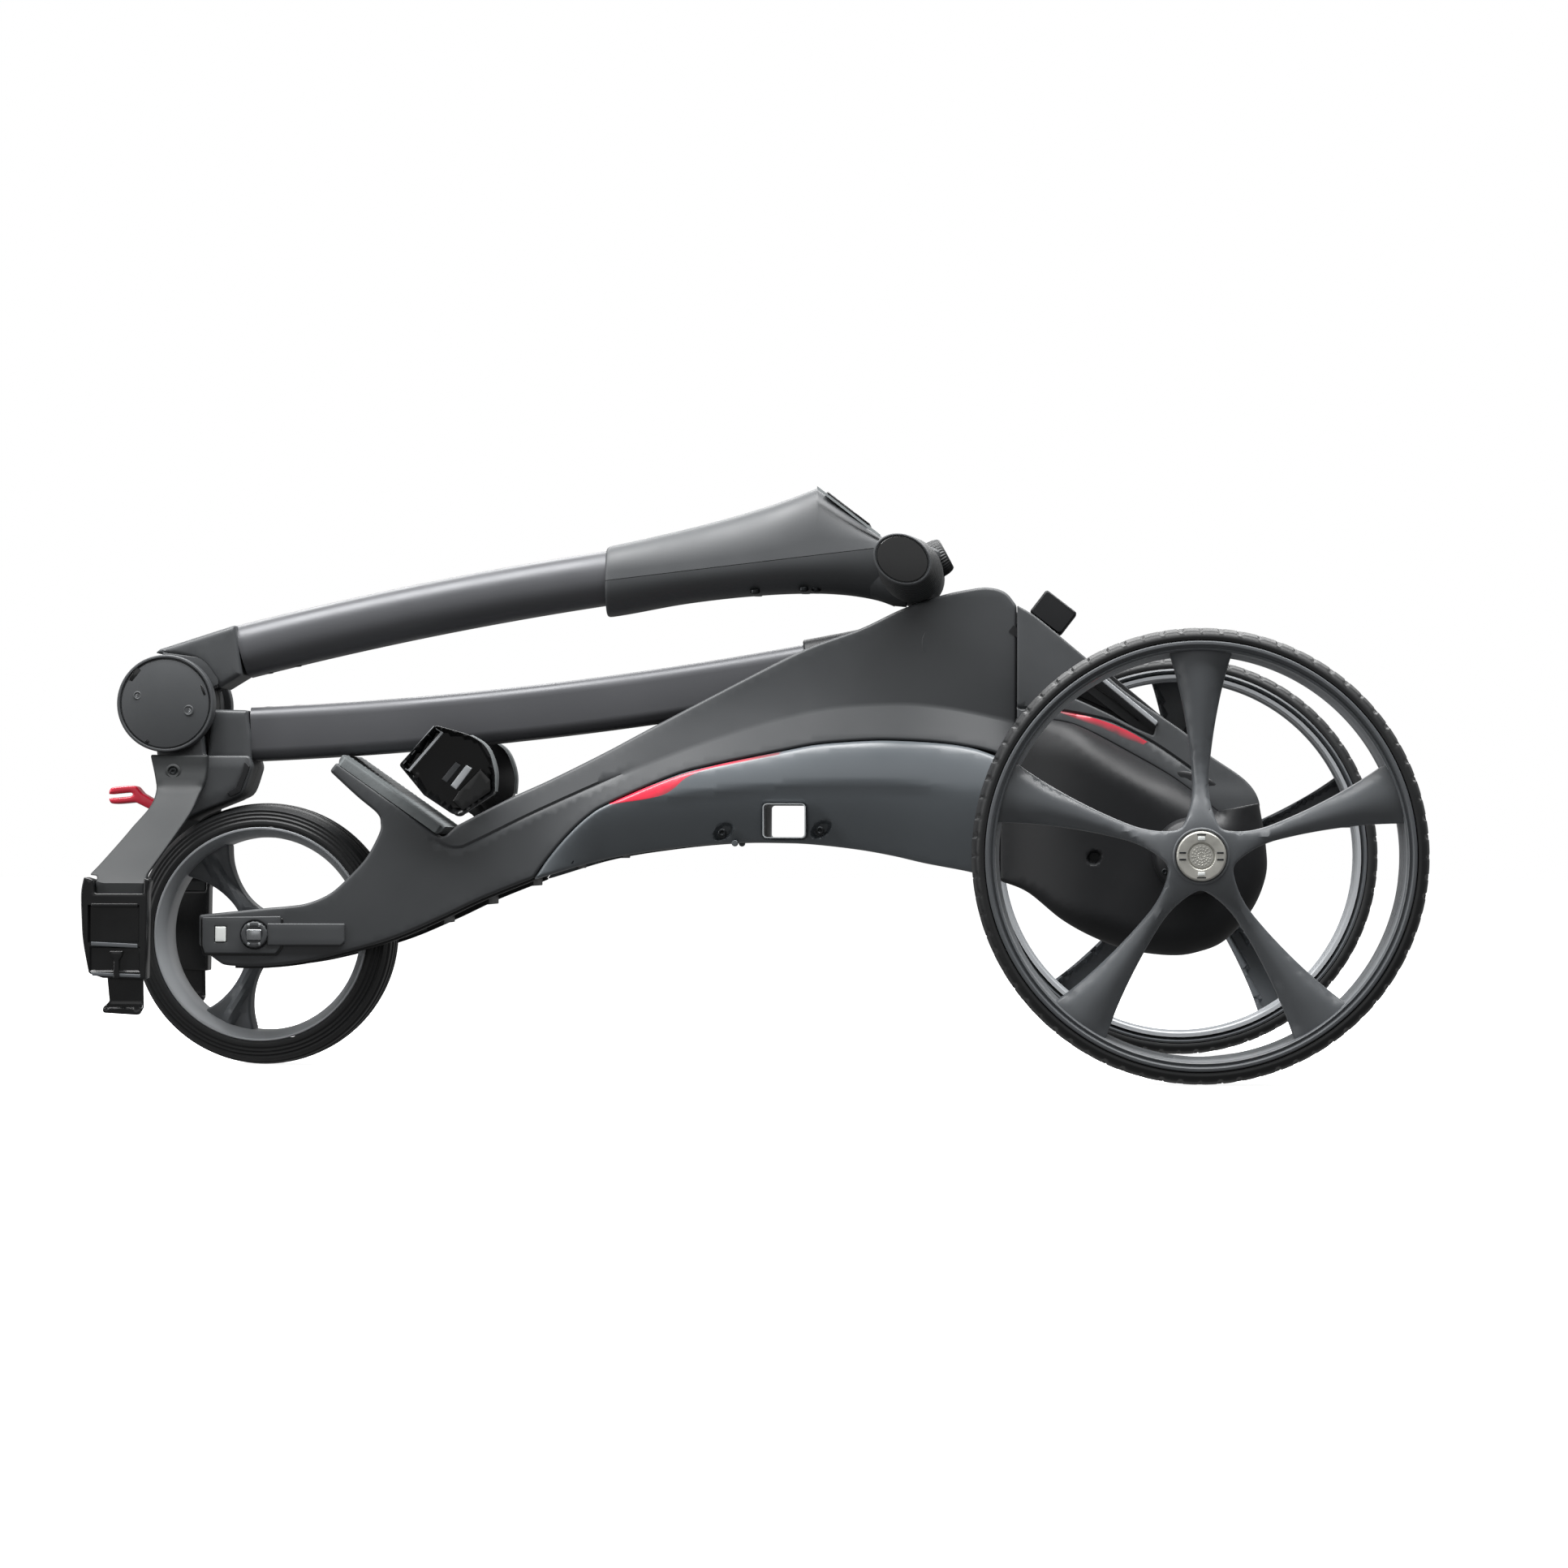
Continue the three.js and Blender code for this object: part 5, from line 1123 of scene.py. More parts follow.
class TROLLEY_OT_motor_housing(bpy.types.Operator):
    """Motor housing: a wide round drum, the covers that join it to the belly, and axle tubes"""
    bl_idname = "trolley.motor_housing"
    bl_label = "Motor housing"

    def execute(self, context):
        r = DRUM_RADIUS
        half = 75.0
        made = []
        for side in (-1, 1):
            face = half * side
            tube_end = side * (REAR_MIDDLE - REAR_HALF - 8)
            flange = [(0, face), (25.5, face), (25.5, face + side * 15), (23.5, face + side * 20),
                      (17.5, face + side * 24), (15.2, face + side * 25), (15.0, tube_end),
                      (9, tube_end), (0, tube_end)]
            made.append(lathe(soft_profile(flange, 1.5), REAR, "abs_moulded_black", 64,
                              closed=False))
            for k in range(6):  # screws round the tube's root
                a = math.radians(30 + 60 * k)
                x, z = 20.8 * math.cos(a), REAR[1] + 20.8 * math.sin(a)
                made.append(dome(x, face + side * 22.0, z, 2.2, 1.0, side, SCREW,
                                 steps=12))
        rim = [(-126.0, 125.6), (-107.6, 118, 1), (-85, 100, 1),
               (-62.5, 87.7, 1), (-40, 79.9, 1), (-13, 76.6, 1), (5, 78.9, 1), (23, 86.8, 1),
               (40.9, 107.2, 1), (49.9, 129.7, 1), (49.8, 150, 1), (45.3, 177.6)]
        fold = [(17.7, 172.4), (-9.1, 193.0, 1), (-36, 209.0, 1), (-73.6, 228.4, 1),
                (-95.6, 233.2, 1), (-116, 233.6), (-116, 205), (-126.0, 205), (-126, 150)]
        cover = outline(rim + fold, 2.2, 1.5)
        screw_at = (-63.8, 141.1)
        silhouette = through(rim, 2.2, closed=False)
        roof = through(fold[:5], 2.2, closed=False)
        skirt = through([(-112, 226), (-95.1, 224.6, 1), (-62.8, 206.7, 1), (-25.2, 180.6, 1),
                         (0, 158.0, 1), (20, 150)], 2.2, closed=False)

        def outer(x, z, d):
            at = np.stack([x, z], 1)
            under_roof = distance_to(at, [(roof, False)])
            out = np.minimum(distance_to(at, [(silhouette, False)]), under_roof)
            wide = 49.5 + (half - 49.5) * ease(x, -142, -64)
            turn = 2.0 + 17.0 * ease(x, -132, -40)
            t = np.clip(out / turn, 0, 1)
            round_off = turn * (1 - np.sqrt(np.clip(1 - (1 - t) ** 2, 0, 1)))
            hollow = (1 - ease(under_roof, 0, 24)) * 7.0 * (1 - ease(x, -30, 14))
            return np.maximum(wide - round_off - hollow, 42.6) - pocket(
                x, z, screw_at, 4.0, 5.5, 5.0)

        side_cover = skin(cover, outer, level(41.0), "abs_moulded_black",
                          fine=[(*screw_at, 9, 1.4)],
                          creases=[beside(silhouette, 3), beside(silhouette, 9),
                                   beside(roof, 4), skirt], spacing=4.6, edge=1.2)
        screw = dome(screw_at[0], 69.4, screw_at[1], 3.2, 1.2, 1, SCREW)
        made += [side_cover.mirrored(), screw.mirrored(), side_cover, screw]
        # belly of the drum between the two side covers
        made.append(lathe(soft_profile([(0, -50), (r - 2.5, -50), (r - 0.6, -44), (r - 0.6, 44),
                                        (r - 2.5, 50), (0, 50)], 3.0), DRUM,
                          "abs_moulded_black", 128, closed=False))
        for y in (-30, -10, 10, 30):
            made.append(lathe(soft_profile([(r - 4, y - 1.2), (r, y - 1.0), (r, y + 1.0),
                                            (r - 4, y + 1.2)], 0.4) + [(r - 4, y - 1.2)],
                              DRUM, "abs_moulded_black", 128, closed=False))
        pin = soft_profile([(0, -34.5), (4.6, -34.5), (4.6, 34.5), (0, 34.5)], 0.6)
        piece("pivot_pin_short", [lathe(pin, PIVOT, "steel_turned", 32, closed=False)],
              "chassis", ["pivot_pin"])
        piece("motor_housing_body", made, "chassis", ["motor_housing"])
        for name in ("motor_can", "axle_bearing_left", "axle_bearing_right", "drive_axle",
                     "drive_gear", "motor_pinion", "front_axle", "hinge_pin",
                     "dial_shaft"):
            coat_node(name, "steel_turned")
        coat_node("service_cover", "abs_moulded_black")
        coat_node("controller_board", "epoxy_board")
        return {"FINISHED"}


# ------------------------------------------------------------------ wheels
def star(count, first, hub_meet, half_width, end, centre, fillet):
    """Closed loop round trumpet-shaped spokes that meet at the hub and end on a circle."""
    gap = math.pi / count
    radii = np.concatenate([[hub_meet * math.cos(gap)], np.linspace(
        hub_meet * math.cos(gap) + 3, end, 22)])
    points = []
    for k in range(count):
        a = first + 2 * gap * k
        way, side = np.array([math.cos(a), math.sin(a)]), np.array([-math.sin(a), math.cos(a)])
        widths = [hub_meet * math.sin(gap)] + [float(half_width(r)) for r in radii[1:]]
        left = [way * r + side * w for r, w in zip(radii, widths)]
        right = [way * r - side * w for r, w in zip(radii, widths)]
        tip = math.atan2(widths[-1], radii[-1])
        far = math.hypot(widths[-1], radii[-1])
        arc = [far * np.array([math.cos(a + t), math.sin(a + t)])
               for t in np.linspace(-tip, tip, 9)[1:-1]]
        points += right[1:] + arc + left[::-1]
    loop = np.array(points) + np.array(centre)
    return rounded(loop, fillet, 30.0)


class TROLLEY_OT_rear_wheels(bpy.types.Operator):
    """Rear wheels: tyres with notched shoulders, five hollow spokes, rim and hub button"""
    bl_idname = "trolley.rear_wheels"
    bl_label = "Rear wheels"

    def execute(self, context):
        sizes = context.scene.trolley_sizes
        self.tyres(sizes.tread_groove * 1000)
        self.rims(sizes.spoke_wall * 1000)
        self.buttons()
        return {"FINISHED"}

    def tyres(self, groove):
        R, w, m = REAR_RADIUS, REAR_HALF, REAR_MIDDLE
        base = R - 8.1
        profile = [(base, -w + 0.6), (base + 1.5, -w), (R - 5.6, -w + 0.1), (R - 3.9, -w + 0.9),
                   (R - 2.6, -w + 2.4), (R - 1.9, -w + 5), (R - 1.2, -w + 9), (R - 0.7, -w + 13)]
        flat = [(R - 0.15, y) for y in np.linspace(-w + 17, w - 17, 13)]
        profile = profile + flat + [(r, -y) for r, y in profile[::-1]]

        def ripple(r, y, a):
            y = np.asarray(y)
            tread = ease(r, R - 3.4, R - 2.2)
            blocks = 72
            turn = (a / (2 * math.pi) * blocks + np.where(y > 0, 0.0, 0.5)) % 1
            cut = (1 - ease(np.abs(turn - 0.5), 0.07, 0.13)) * ease(np.abs(y), w - 20, w - 17)
            middle_turn = (a / (2 * math.pi) * blocks + 0.25) % 1
            middle_cut = (1 - ease(np.abs(middle_turn - 0.5), 0.05, 0.10)) * (
                1 - ease(np.abs(y), 9, 12))
            ring = 1 - ease(np.abs(np.abs(y) - 11.0), 0.8, 1.8)
            return r - tread * (groove * cut + 0.8 * middle_cut + 0.9 * ring), y

        for word, side in SIDES:
            shape = lathe(profile, REAR, "rubber_moulded", 600, ripple=ripple)
            piece(f"rear_tyre_tread_{word}", [shape.moved(y=side * m)],
                  f"rear_wheel_{word}", [f"rear_tyre_{word}"], sharp=30)

    def rims(self, wall):
        w, m = REAR_HALF, REAR_MIDDLE
        R = REAR_RADIUS - 8.5
        barrel = R - 5.4
        # outer face at +w; the rim's seat, a rolled lip, a small step and the tapering barrel
        rim = [(R - 0.2, -w + 0.6), (R - 0.2, w - 0.6), (R - 0.9, w + 0.2), (R - 2.2, w + 0.3),
               (R - 3.0, w - 0.2), (R - 3.3, w - 1.6), (R - 4.0, w - 1.9), (R - 5.2, w - 0.9),
               (barrel - 0.4, w - 1.4), (barrel - 0.9, w - 3.0), (barrel, w - 6),
               (barrel + 1.4, w - 12), (barrel + 1.4, -w + 5), (R - 1.5, -w)]
        # pale liner inside the barrel: a painted reflection of the rim's shine
        barrel_reflection_liner = [(barrel + 1.0, w - 6.5), (barrel - 0.8, w - 7), (barrel - 1.0, w - 12),
                 (barrel - 2.6, -w + 5), (barrel - 2.4, -w + 2.4), (barrel - 1.4, -w + 1.0),
                 (barrel + 1.0, -w + 0.6)]
        half = curve_at((16, 12), (24, 8.4), (33, 5.9), (44, 4.9), (55, 5.5), (74, 7.6),
                        (95, 11.2), (110, 14.6), (120, 17.4), (130, 20.5))
        loop = star(REAR_SPOKES, math.pi / 2, 20.0, half, barrel + 1.4, (0, REAR[1]), 5.0)
        face = m + w

        def radius(x, z):
            return np.hypot(x, z - REAR[1])

        def off_axis(x, z):
            """Distance from the middle line of the nearest spoke."""
            turn = 2 * math.pi / REAR_SPOKES
            a = (np.arctan2(z - REAR[1], x) - math.pi / 2) % turn
            a = np.minimum(a, turn - a)
            return radius(x, z) * np.sin(a)

        def outer(x, z, d):
            r = radius(x, z)
            base = face - 6.4 + 2.2 * ease(r, 60, 112) + 12.6 * (1 - ease(r, 15.5, 58))
            across = np.clip(off_axis(x, z) / half(np.clip(r, 16, 130)), 0, 1)
            crown = across ** 2
            flare = ease(r, 84, 104) * ease(across, 0.68, 0.86) * (1 - ease(r, 121, 126))
            return (base - (2.6 + 2.0 * ease(r, 50, 110)) * crown * ease(r, 20, 46)
                    - 1.8 * flare)

        def inner(x, z, d):
            r = radius(x, z)
            deep = ease(d, wall, wall + 0.8) * ease(r, 26, 30)
            return face - 24.0 + deep * 14.0

        hub_out = HUB_FACE - 3.2
        hub = [(6.6, m - w + 3), (17.5, m - w + 3), (18.5, m - w + 12), (19.0, m + 4),
               (19.0, face - 4), (18.2, face + 3.0), (17.6, hub_out - 0.4), (17.0, hub_out),
               (16.2, hub_out - 0.2), (16.0, face - 6.8), (6.6, face - 6.8)]

        # stiffening rib round the inside of the barrel, pale like the liner: painted reflection
        rib = [(barrel - 0.8, m - 2.0), (barrel - 3.4, m - 1.0), (barrel - 3.4, m + 1.0),
               (barrel - 0.6, m + 2.0)]
        made = [lathe([(a, b + m) for a, b in rim], REAR, "nylon_rim_satin", 220),
                lathe([(a, b + m) for a, b in barrel_reflection_liner], REAR, "pale_grey_painted_sheen", 220),
                skin(loop, outer, inner, "nylon_rim_satin", spacing=3.6, edge=1.5),
                lathe(hub, REAR, "nylon_rim_satin", 80),
                lathe(rib, REAR, "pale_grey_painted_sheen", 160)]
        pair("rear_rim_moulding", made, "rear_wheel_{}", ["rear_rim_{}"], sharp=32)

    def buttons(self):
        face = HUB_FACE

        profile = soft_profile([(0, face - 0.9), (7.4, face - 0.9), (8.0, face - 1.5),
                                (8.7, face - 0.4), (14.4, face - 0.3), (15.0, face - 0.6),
                                (15.5, face - 1.6), (15.5, face - 13), (0, face - 13)], 0.25)

        def pips(r, y, a):
            """Small pips stamped in the middle, so that a finger doesn't slip."""
            bump = 0.35 * np.maximum(0, np.sin(r * 3.6)) * np.maximum(0, np.sin(a * 16))
            return r, y + bump * (r < 7.2) * (r > 0.5)

        rings = [(r, face - 0.9) for r in np.linspace(0, 7.3, 22)] + profile[3:]
        made = [lathe(rings, REAR, "zinc_nickel_plated", 128, closed=False, ripple=pips)]

        def mark(x, z, half_x, half_z, drop, material, radius):
            return slab_box(x - half_x, x + half_x, face - 0.9, face - drop, REAR[1] + z - half_z,
                            REAR[1] + z + half_z, material, radius)

        # two dark bars left and right, and a dark and a pale mark above and below
        made += [mark(x, z, 2.1, 0.55, 0.1, SCREW, 0.2)
                 for x in (-11.6, 11.6) for z in (-2.1, 2.1)]
        for side in (-1, 1):
            made.append(mark(0.0, side * 13.3, 2.8, 0.4, 0.1, SCREW, 0.15))
            made.append(mark(0.0, side * 11.0, 2.2, 1.2, 0.05, "ink_white", 0.3))
        pair("hub_button_face", made, "button_{}", ["hub_button_{}"])


class TROLLEY_OT_front_wheel(bpy.types.Operator):
    """Front wheel: ribbed tyre, dished rim and three ridged spokes; tracking adjuster"""
    bl_idname = "trolley.front_wheel"
    bl_label = "Front wheel and adjuster"

    def execute(self, context):
        depth = context.scene.trolley_sizes.rib_depth * 1000
        R, w = FRONT_RADIUS, FRONT_HALF
        seat = R - 15.9
        crown = curve_at((0, 0), (10, 0.25), (20, 1.3), (28, 3.2), (31, 5.4), (32.6, 8.0),
                         (33, 11.0))
        ys = np.concatenate([np.linspace(0, 30, 121), [30.6, 31.2, 31.8, 32.4, 32.8, 33]])
        tread = []
        for y in np.concatenate([-ys[::-1], ys[1:]]):
            a = abs(y)
            r = R - float(crown(a))
            wave = (a / 9.6) % 1.0
            cut = 1 - ease(abs(wave - 0.5), 0.10, 0.30) if a < 28.8 else 0.0
            tread.append((r - depth * float(cut), y * w / 33.0))
        # stepped rings down the shoulder to the bead
        shoulder = soft_profile([(R - 4.2, 29.6), (R - 4.8, 30.9), (R - 6.4, 30.3),
                                 (R - 7.2, 31.6), (R - 8.8, 31.1), (R - 9.8, 32.3),
                                 (R - 11.4, 31.8), (R - 12.4, 32.9), (R - 14.4, 32.9),
                                 (seat, 32.4)], 0.35)
        tread = [t for t in tread if abs(t[1]) <= 29.0]
        profile = [(r, -y) for r, y in shoulder[::-1]] + tread + shoulder
        piece("front_tyre_tread", [lathe(profile, FRONT, "rubber_moulded", 200)], "front_wheel",
              ["front_tyre"], sharp=28)

        rim_edge = seat - 0.3
        ring = [(rim_edge, -w + 1.0), (rim_edge, w - 1.0), (rim_edge - 0.6, w - 0.3),
                (rim_edge - 1.6, w - 0.4), (rim_edge - 2.2, w - 1.4), (68.6, w - 5),
                (66.0, w - 12), (65.2, w - 18), (65.0, 0), (65.2, -w + 18), (66.0, -w + 12),
                (68.6, -w + 5), (rim_edge - 2.2, -w + 1.4), (rim_edge - 1.6, -w + 0.4),
                (rim_edge - 0.6, -w + 0.3)]
        half = curve_at((9, 10), (14, 8), (20, 6.2), (28, 5.2), (36, 5.8), (46, 8.2), (54, 11.6),
                        (61, 16.4), (67, 22))
        first = math.radians(8)
        loop = star(FRONT_SPOKES, first, 15.0, half, 66.0, FRONT, 9.0)

        def radius(x, z):
            return np.hypot(x - FRONT[0], z - FRONT[1])

        def off_axis(x, z):
            """Distance from the middle line of the nearest spoke."""
            turn = 2 * math.pi / FRONT_SPOKES
            a = (np.arctan2(z - FRONT[1], x - FRONT[0]) - first) % turn
            a = np.minimum(a, turn - a)
            return radius(x, z) * np.sin(a)

        def outer(x, z, d):
            r = radius(x, z)
            off = off_axis(x, z)
            ridge = 4.5 * (1 - ease(off, 1.6, 4.6)) * ease(r, 14, 24) * (1 - 0.4 * ease(r, 56, 64))
            return 9.5 + 3.5 * ease(r, 36, 62) + ridge

        spokes = skin(loop, outer, level(0.3), "nylon_rim_satin", spacing=3.0, edge=2.0)
        hub = [(5.5, -w + 1.5), (11, -w + 1.5), (13, -w + 5), (15.5, -12), (16, 0), (15.5, 12),
               (13, w - 5), (11, w - 1.5), (5.5, w - 1.5)]
        piece("front_rim_moulding",
              [lathe(ring, FRONT, "pale_grey_painted_sheen", 180), spokes, spokes.mirrored(),
               lathe(hub, FRONT, "nylon_rim_satin", 64)],
              "front_wheel", ["front_rim"], sharp=34)
        self.adjuster()
        return {"FINISHED"}

    def adjuster(self):
        fx, fz = FRONT
        y = SHELL_FACE + 0.4
        scale_slot = outline([(fx - 26.9, fz - 5.2), (fx - 18.9, fz - 5.2),
                              (fx - 18.9, fz + 5.7), (fx - 26.9, fz + 5.7)], 1.0, 0.6)
        knob_hole = np.array([(fx + 9.6 * math.cos(t), fz + 9.6 * math.sin(t))
                              for t in np.linspace(0, 2 * math.pi, 40)[:-1]])
        panel = [(fx - 35.2, fz + 11.6), (fx - 35.2, fz - 7.4), (fx - 33.4, fz - 12.6),
                 (fx + 14.0, fz - 12.6), (fx + 17.4, fz - 8.2), (fx + 17.4, fz + 12.4)]
        plate_shape = skin(outline(panel, 2.0, 1.2), level(y + 1.7), level(y),
                           "abs_moulded_texture", holes=[scale_slot, knob_hole], spacing=4.0,
                           edge=0.8).mirrored()
        arm = plate([(fx + 8.4, fz + 7.6), (fx + 8.4, fz - 7.2), (fx + 58.0, fz - 7.0),
                     (fx + 60.4, fz - 4.6), (fx + 60.4, fz + 7.6)], y - 1.6, y + 3.0,
                    "abs_moulded_texture", corner=1.2, edge=0.9, spacing=6).mirrored()
        shadow = plate([(fx - 36.4, fz + 11.0), (fx - 36.4, fz - 8.0), (fx - 34.4, fz - 14.0),
                        (fx + 15.0, fz - 14.0), (fx + 18.8, fz - 9.0), (fx + 18.8, fz + 11.0)],
                       y - 1.0, y + 0.35, "abs_moulded_gloss", corner=1.2, edge=0.3,
                       spacing=8, holes=[knob_hole]).mirrored()
        scale = plate([(fx - 26.4, fz - 4.7), (fx - 19.4, fz - 4.7), (fx - 19.4, fz + 5.2),
                       (fx - 26.4, fz + 5.2)], y - 0.6, y + 2.1, "ink_white", corner=0.5,
                      edge=0.3, spacing=3).mirrored()
        piece("adjuster_panel", [plate_shape, arm, shadow, scale], "chassis",
              ["adjuster_plate"])
        knob = soft_profile([(0, -(y + 4.4)), (4.0, -(y + 4.4)), (6.4, -(y + 5.2)),
                             (8.3, -(y + 5.0)), (9.0, -(y + 3.8)), (9.0, -y), (0, -y)], 0.5)

        def grip_edge(r, yy, a):
            return r - 0.35 * (r > 8.6) * (np.sin(a * 18) > 0), yy

        shapes = [lathe(knob, FRONT, "abs_moulded_texture", 72, closed=False, ripple=grip_edge),
                  slab_box(fx - 5.0, fx + 5.0, -(y + 5.8), -(y + 4.0), fz - 3.6, fz + 3.6,
                           "steel_turned", 1.6)]
        for a in (60, 120, 240, 300):  # bright click marks round the knob
            c, s = math.cos(math.radians(a)), math.sin(math.radians(a))
            shapes.append(slab_box(fx + 7.3 * c - 0.9, fx + 7.3 * c + 0.9, -(y + 5.5), -(y + 4.6),
                                   fz + 7.3 * s - 0.9, fz + 7.3 * s + 0.9, "steel_turned", 0.3))
        piece("adjuster_knob_cap", shapes, "adjuster", ["adjuster_knob"])


# ------------------------------------------------------------------ bag supports
class TROLLEY_OT_lower_support(bpy.types.Operator):
    """Lip with its scuffed rubber pad, and the two black support wings"""
    bl_idname = "trolley.lower_support"
    bl_label = "Lip and wings"

    def execute(self, context):
        coat_node("support_lip", "nylon_moulded")
        tip, notch = np.array((-565.2, 209.0)), np.array((-494.6, 159.6))
        run = (notch - tip) / np.linalg.norm(notch - tip)
        up = np.array([-run[1], run[0]])
        length = np.linalg.norm(notch - tip)
        rings = []
        for k, s in enumerate(np.linspace(0.5, length - 2.0, 57)):
            ridge = 0.55 * (0.5 + 0.5 * math.cos(s * 2 * math.pi / 3.5))
            ends = 1.0 if 0 < k < 56 else 0.55
            low = PAD * ends
            half_y = 56.6 - (0 if 2 <= k <= 54 else 1.6)
            section = [(-half_y, -low), (-half_y, -1.6), (-half_y + 0.5, -0.5),
                       (-half_y + 2.0, 0.0 + ridge * 0.3), (-half_y + 6, ridge), (0, ridge),
                       (half_y - 6, ridge), (half_y - 2.0, ridge * 0.3), (half_y - 0.5, -0.5),
                       (half_y, -1.6), (half_y, -low)]
            base = tip + run * s
            rings.append([(base[0] + up[0] * (v - 0.6), u, base[1] + up[1] * (v - 0.6))
                          for u, v in section])
        piece("lip_pad_ribbed", [loft(rings, "rubber_scuffed")], "chassis", ["lip_pad"])
        pair("support_wing_box", self.wing(), "chassis", ["support_wing_{}"])
        return {"FINISHED"}

    def wing(self):
        """An open black box on the +Y side, lipped all round, with its inner fittings."""
        body = [(-524.4, 201.5), (-500.1, 228.0), (-475.6, 220.5, 1), (-465.4, 211.3, 1),
                (-461.6, 197.8, 1), (-461.4, 182.7), (-482.5, 168.8), (-489, 168.8),
                (-508.1, 181.5), (-519, 195)]
        loop = outline(body, 1.8, 2.0)

        def flare(x, z):
            return 0.10 * np.maximum(0, z - 176) + 0.06 * np.maximum(0, -480 - x)

        def hollow(x, z, d):
            """The rim's wall all round, and the floor behind it."""
            return 73.0 + flare(x, z) - 9.0 * ease(d, 2.0, 2.7)

        def back_face(x, z, d):
            return 57.5 + flare(x, z)

        shell = skin(loop, hollow, back_face, "abs_moulded_gloss", spacing=2.6, edge=0.5)
        bar = plate([(-490.7, 188.0), (-480.2, 201.7), (-476.3, 199.2), (-486.9, 185.2)],
                    63.0, 72.0, "pale_grey_painted_sheen", corner=0.6, edge=0.6, spacing=3)
        socket = plate([(-497.1, 192.2), (-487.6, 203.8), (-484.0, 201.6), (-493.6, 189.8)],
                       63.0, 69.0, "nylon_moulded", corner=0.6, edge=0.6, spacing=3)
        panel = plate([(-484.8, 185.4), (-471.0, 199.4), (-464.0, 192.0), (-463.8, 184.0),
                       (-482.6, 171.0), (-489.6, 177.6)], 63.0, 69.6, "abs_moulded_gloss",
                      corner=1.0, edge=0.8, spacing=4)
        # the mouth's frame: two pale rails with a dark channel between them; the pale grey is a
        # painted highlight along the mouth's edges
        edge = [loft([[(p[0] + dx + back * 5.4, y, p[1] + dz - back * 3.4)
                       for dx, dz, y in ((-0.6, 0.6, 59), (0.6, -0.5, 59),
                                         (0.6, -0.5, 76.2), (-0.6, 0.6, 76.2))]
                      for p in ((-523.4, 201.0), (-501.2, 226.8))], "pale_grey_painted_sheen")
                for back in (0, 1)]
        edge += [loft([[(p[0] + dx, y, p[1] + dz) for dx, dz, y in
                        ((-0.4, 0.5, 59), (0.4, -0.6, 59), (0.4, -0.6, 76.0), (-0.4, 0.5, 76.0))]
                       for p in ((a, b), (a + 5.6, b - 3.4))], "pale_grey_painted_sheen")
                 for a, b in ((-523.2, 200.8), (-501.6, 226.6))]
        # grey strip round the curved back, in the scuffed pad's grey: a painted highlight along
        # the box's outer curved edge
        back = through([(-477.0, 221.0), (-467.0, 213.0, 1), (-461.4, 198.6, 1),
                        (-460.8, 184.0)], 2.0, closed=False)
        way = np.gradient(back, axis=0)
        out = np.stack([-way[:, 1], way[:, 0]], 1)
        out /= np.linalg.norm(out, axis=1)[:, None]
        if (out[0] @ np.array([1.0, 1.0])) < 0:
            out = -out
        rings = []
        for k, (p, q) in enumerate(zip(back, out)):
            t = 1.6 * math.sin(math.pi * (k + 0.6) / (len(back) + 0.2)) ** 0.4
            rings.append([(p[0], 60, p[1]), (p[0], 74.5, p[1]),
                          (p[0] + q[0] * t, 73.5, p[1] + q[1] * t),
                          (p[0] + q[0] * t, 61, p[1] + q[1] * t)])
        back_edge_highlight = loft(rings, "rubber_scuffed")
        post = lathe(soft_profile([(0, 56.6), (5, 56.6), (5, 60.5), (0, 60.5)], 0.6),
                     (-486, 172.5), "abs_moulded_gloss", 24, closed=False)
        return [shell, bar, socket, panel, *edge, back_edge_highlight, post]


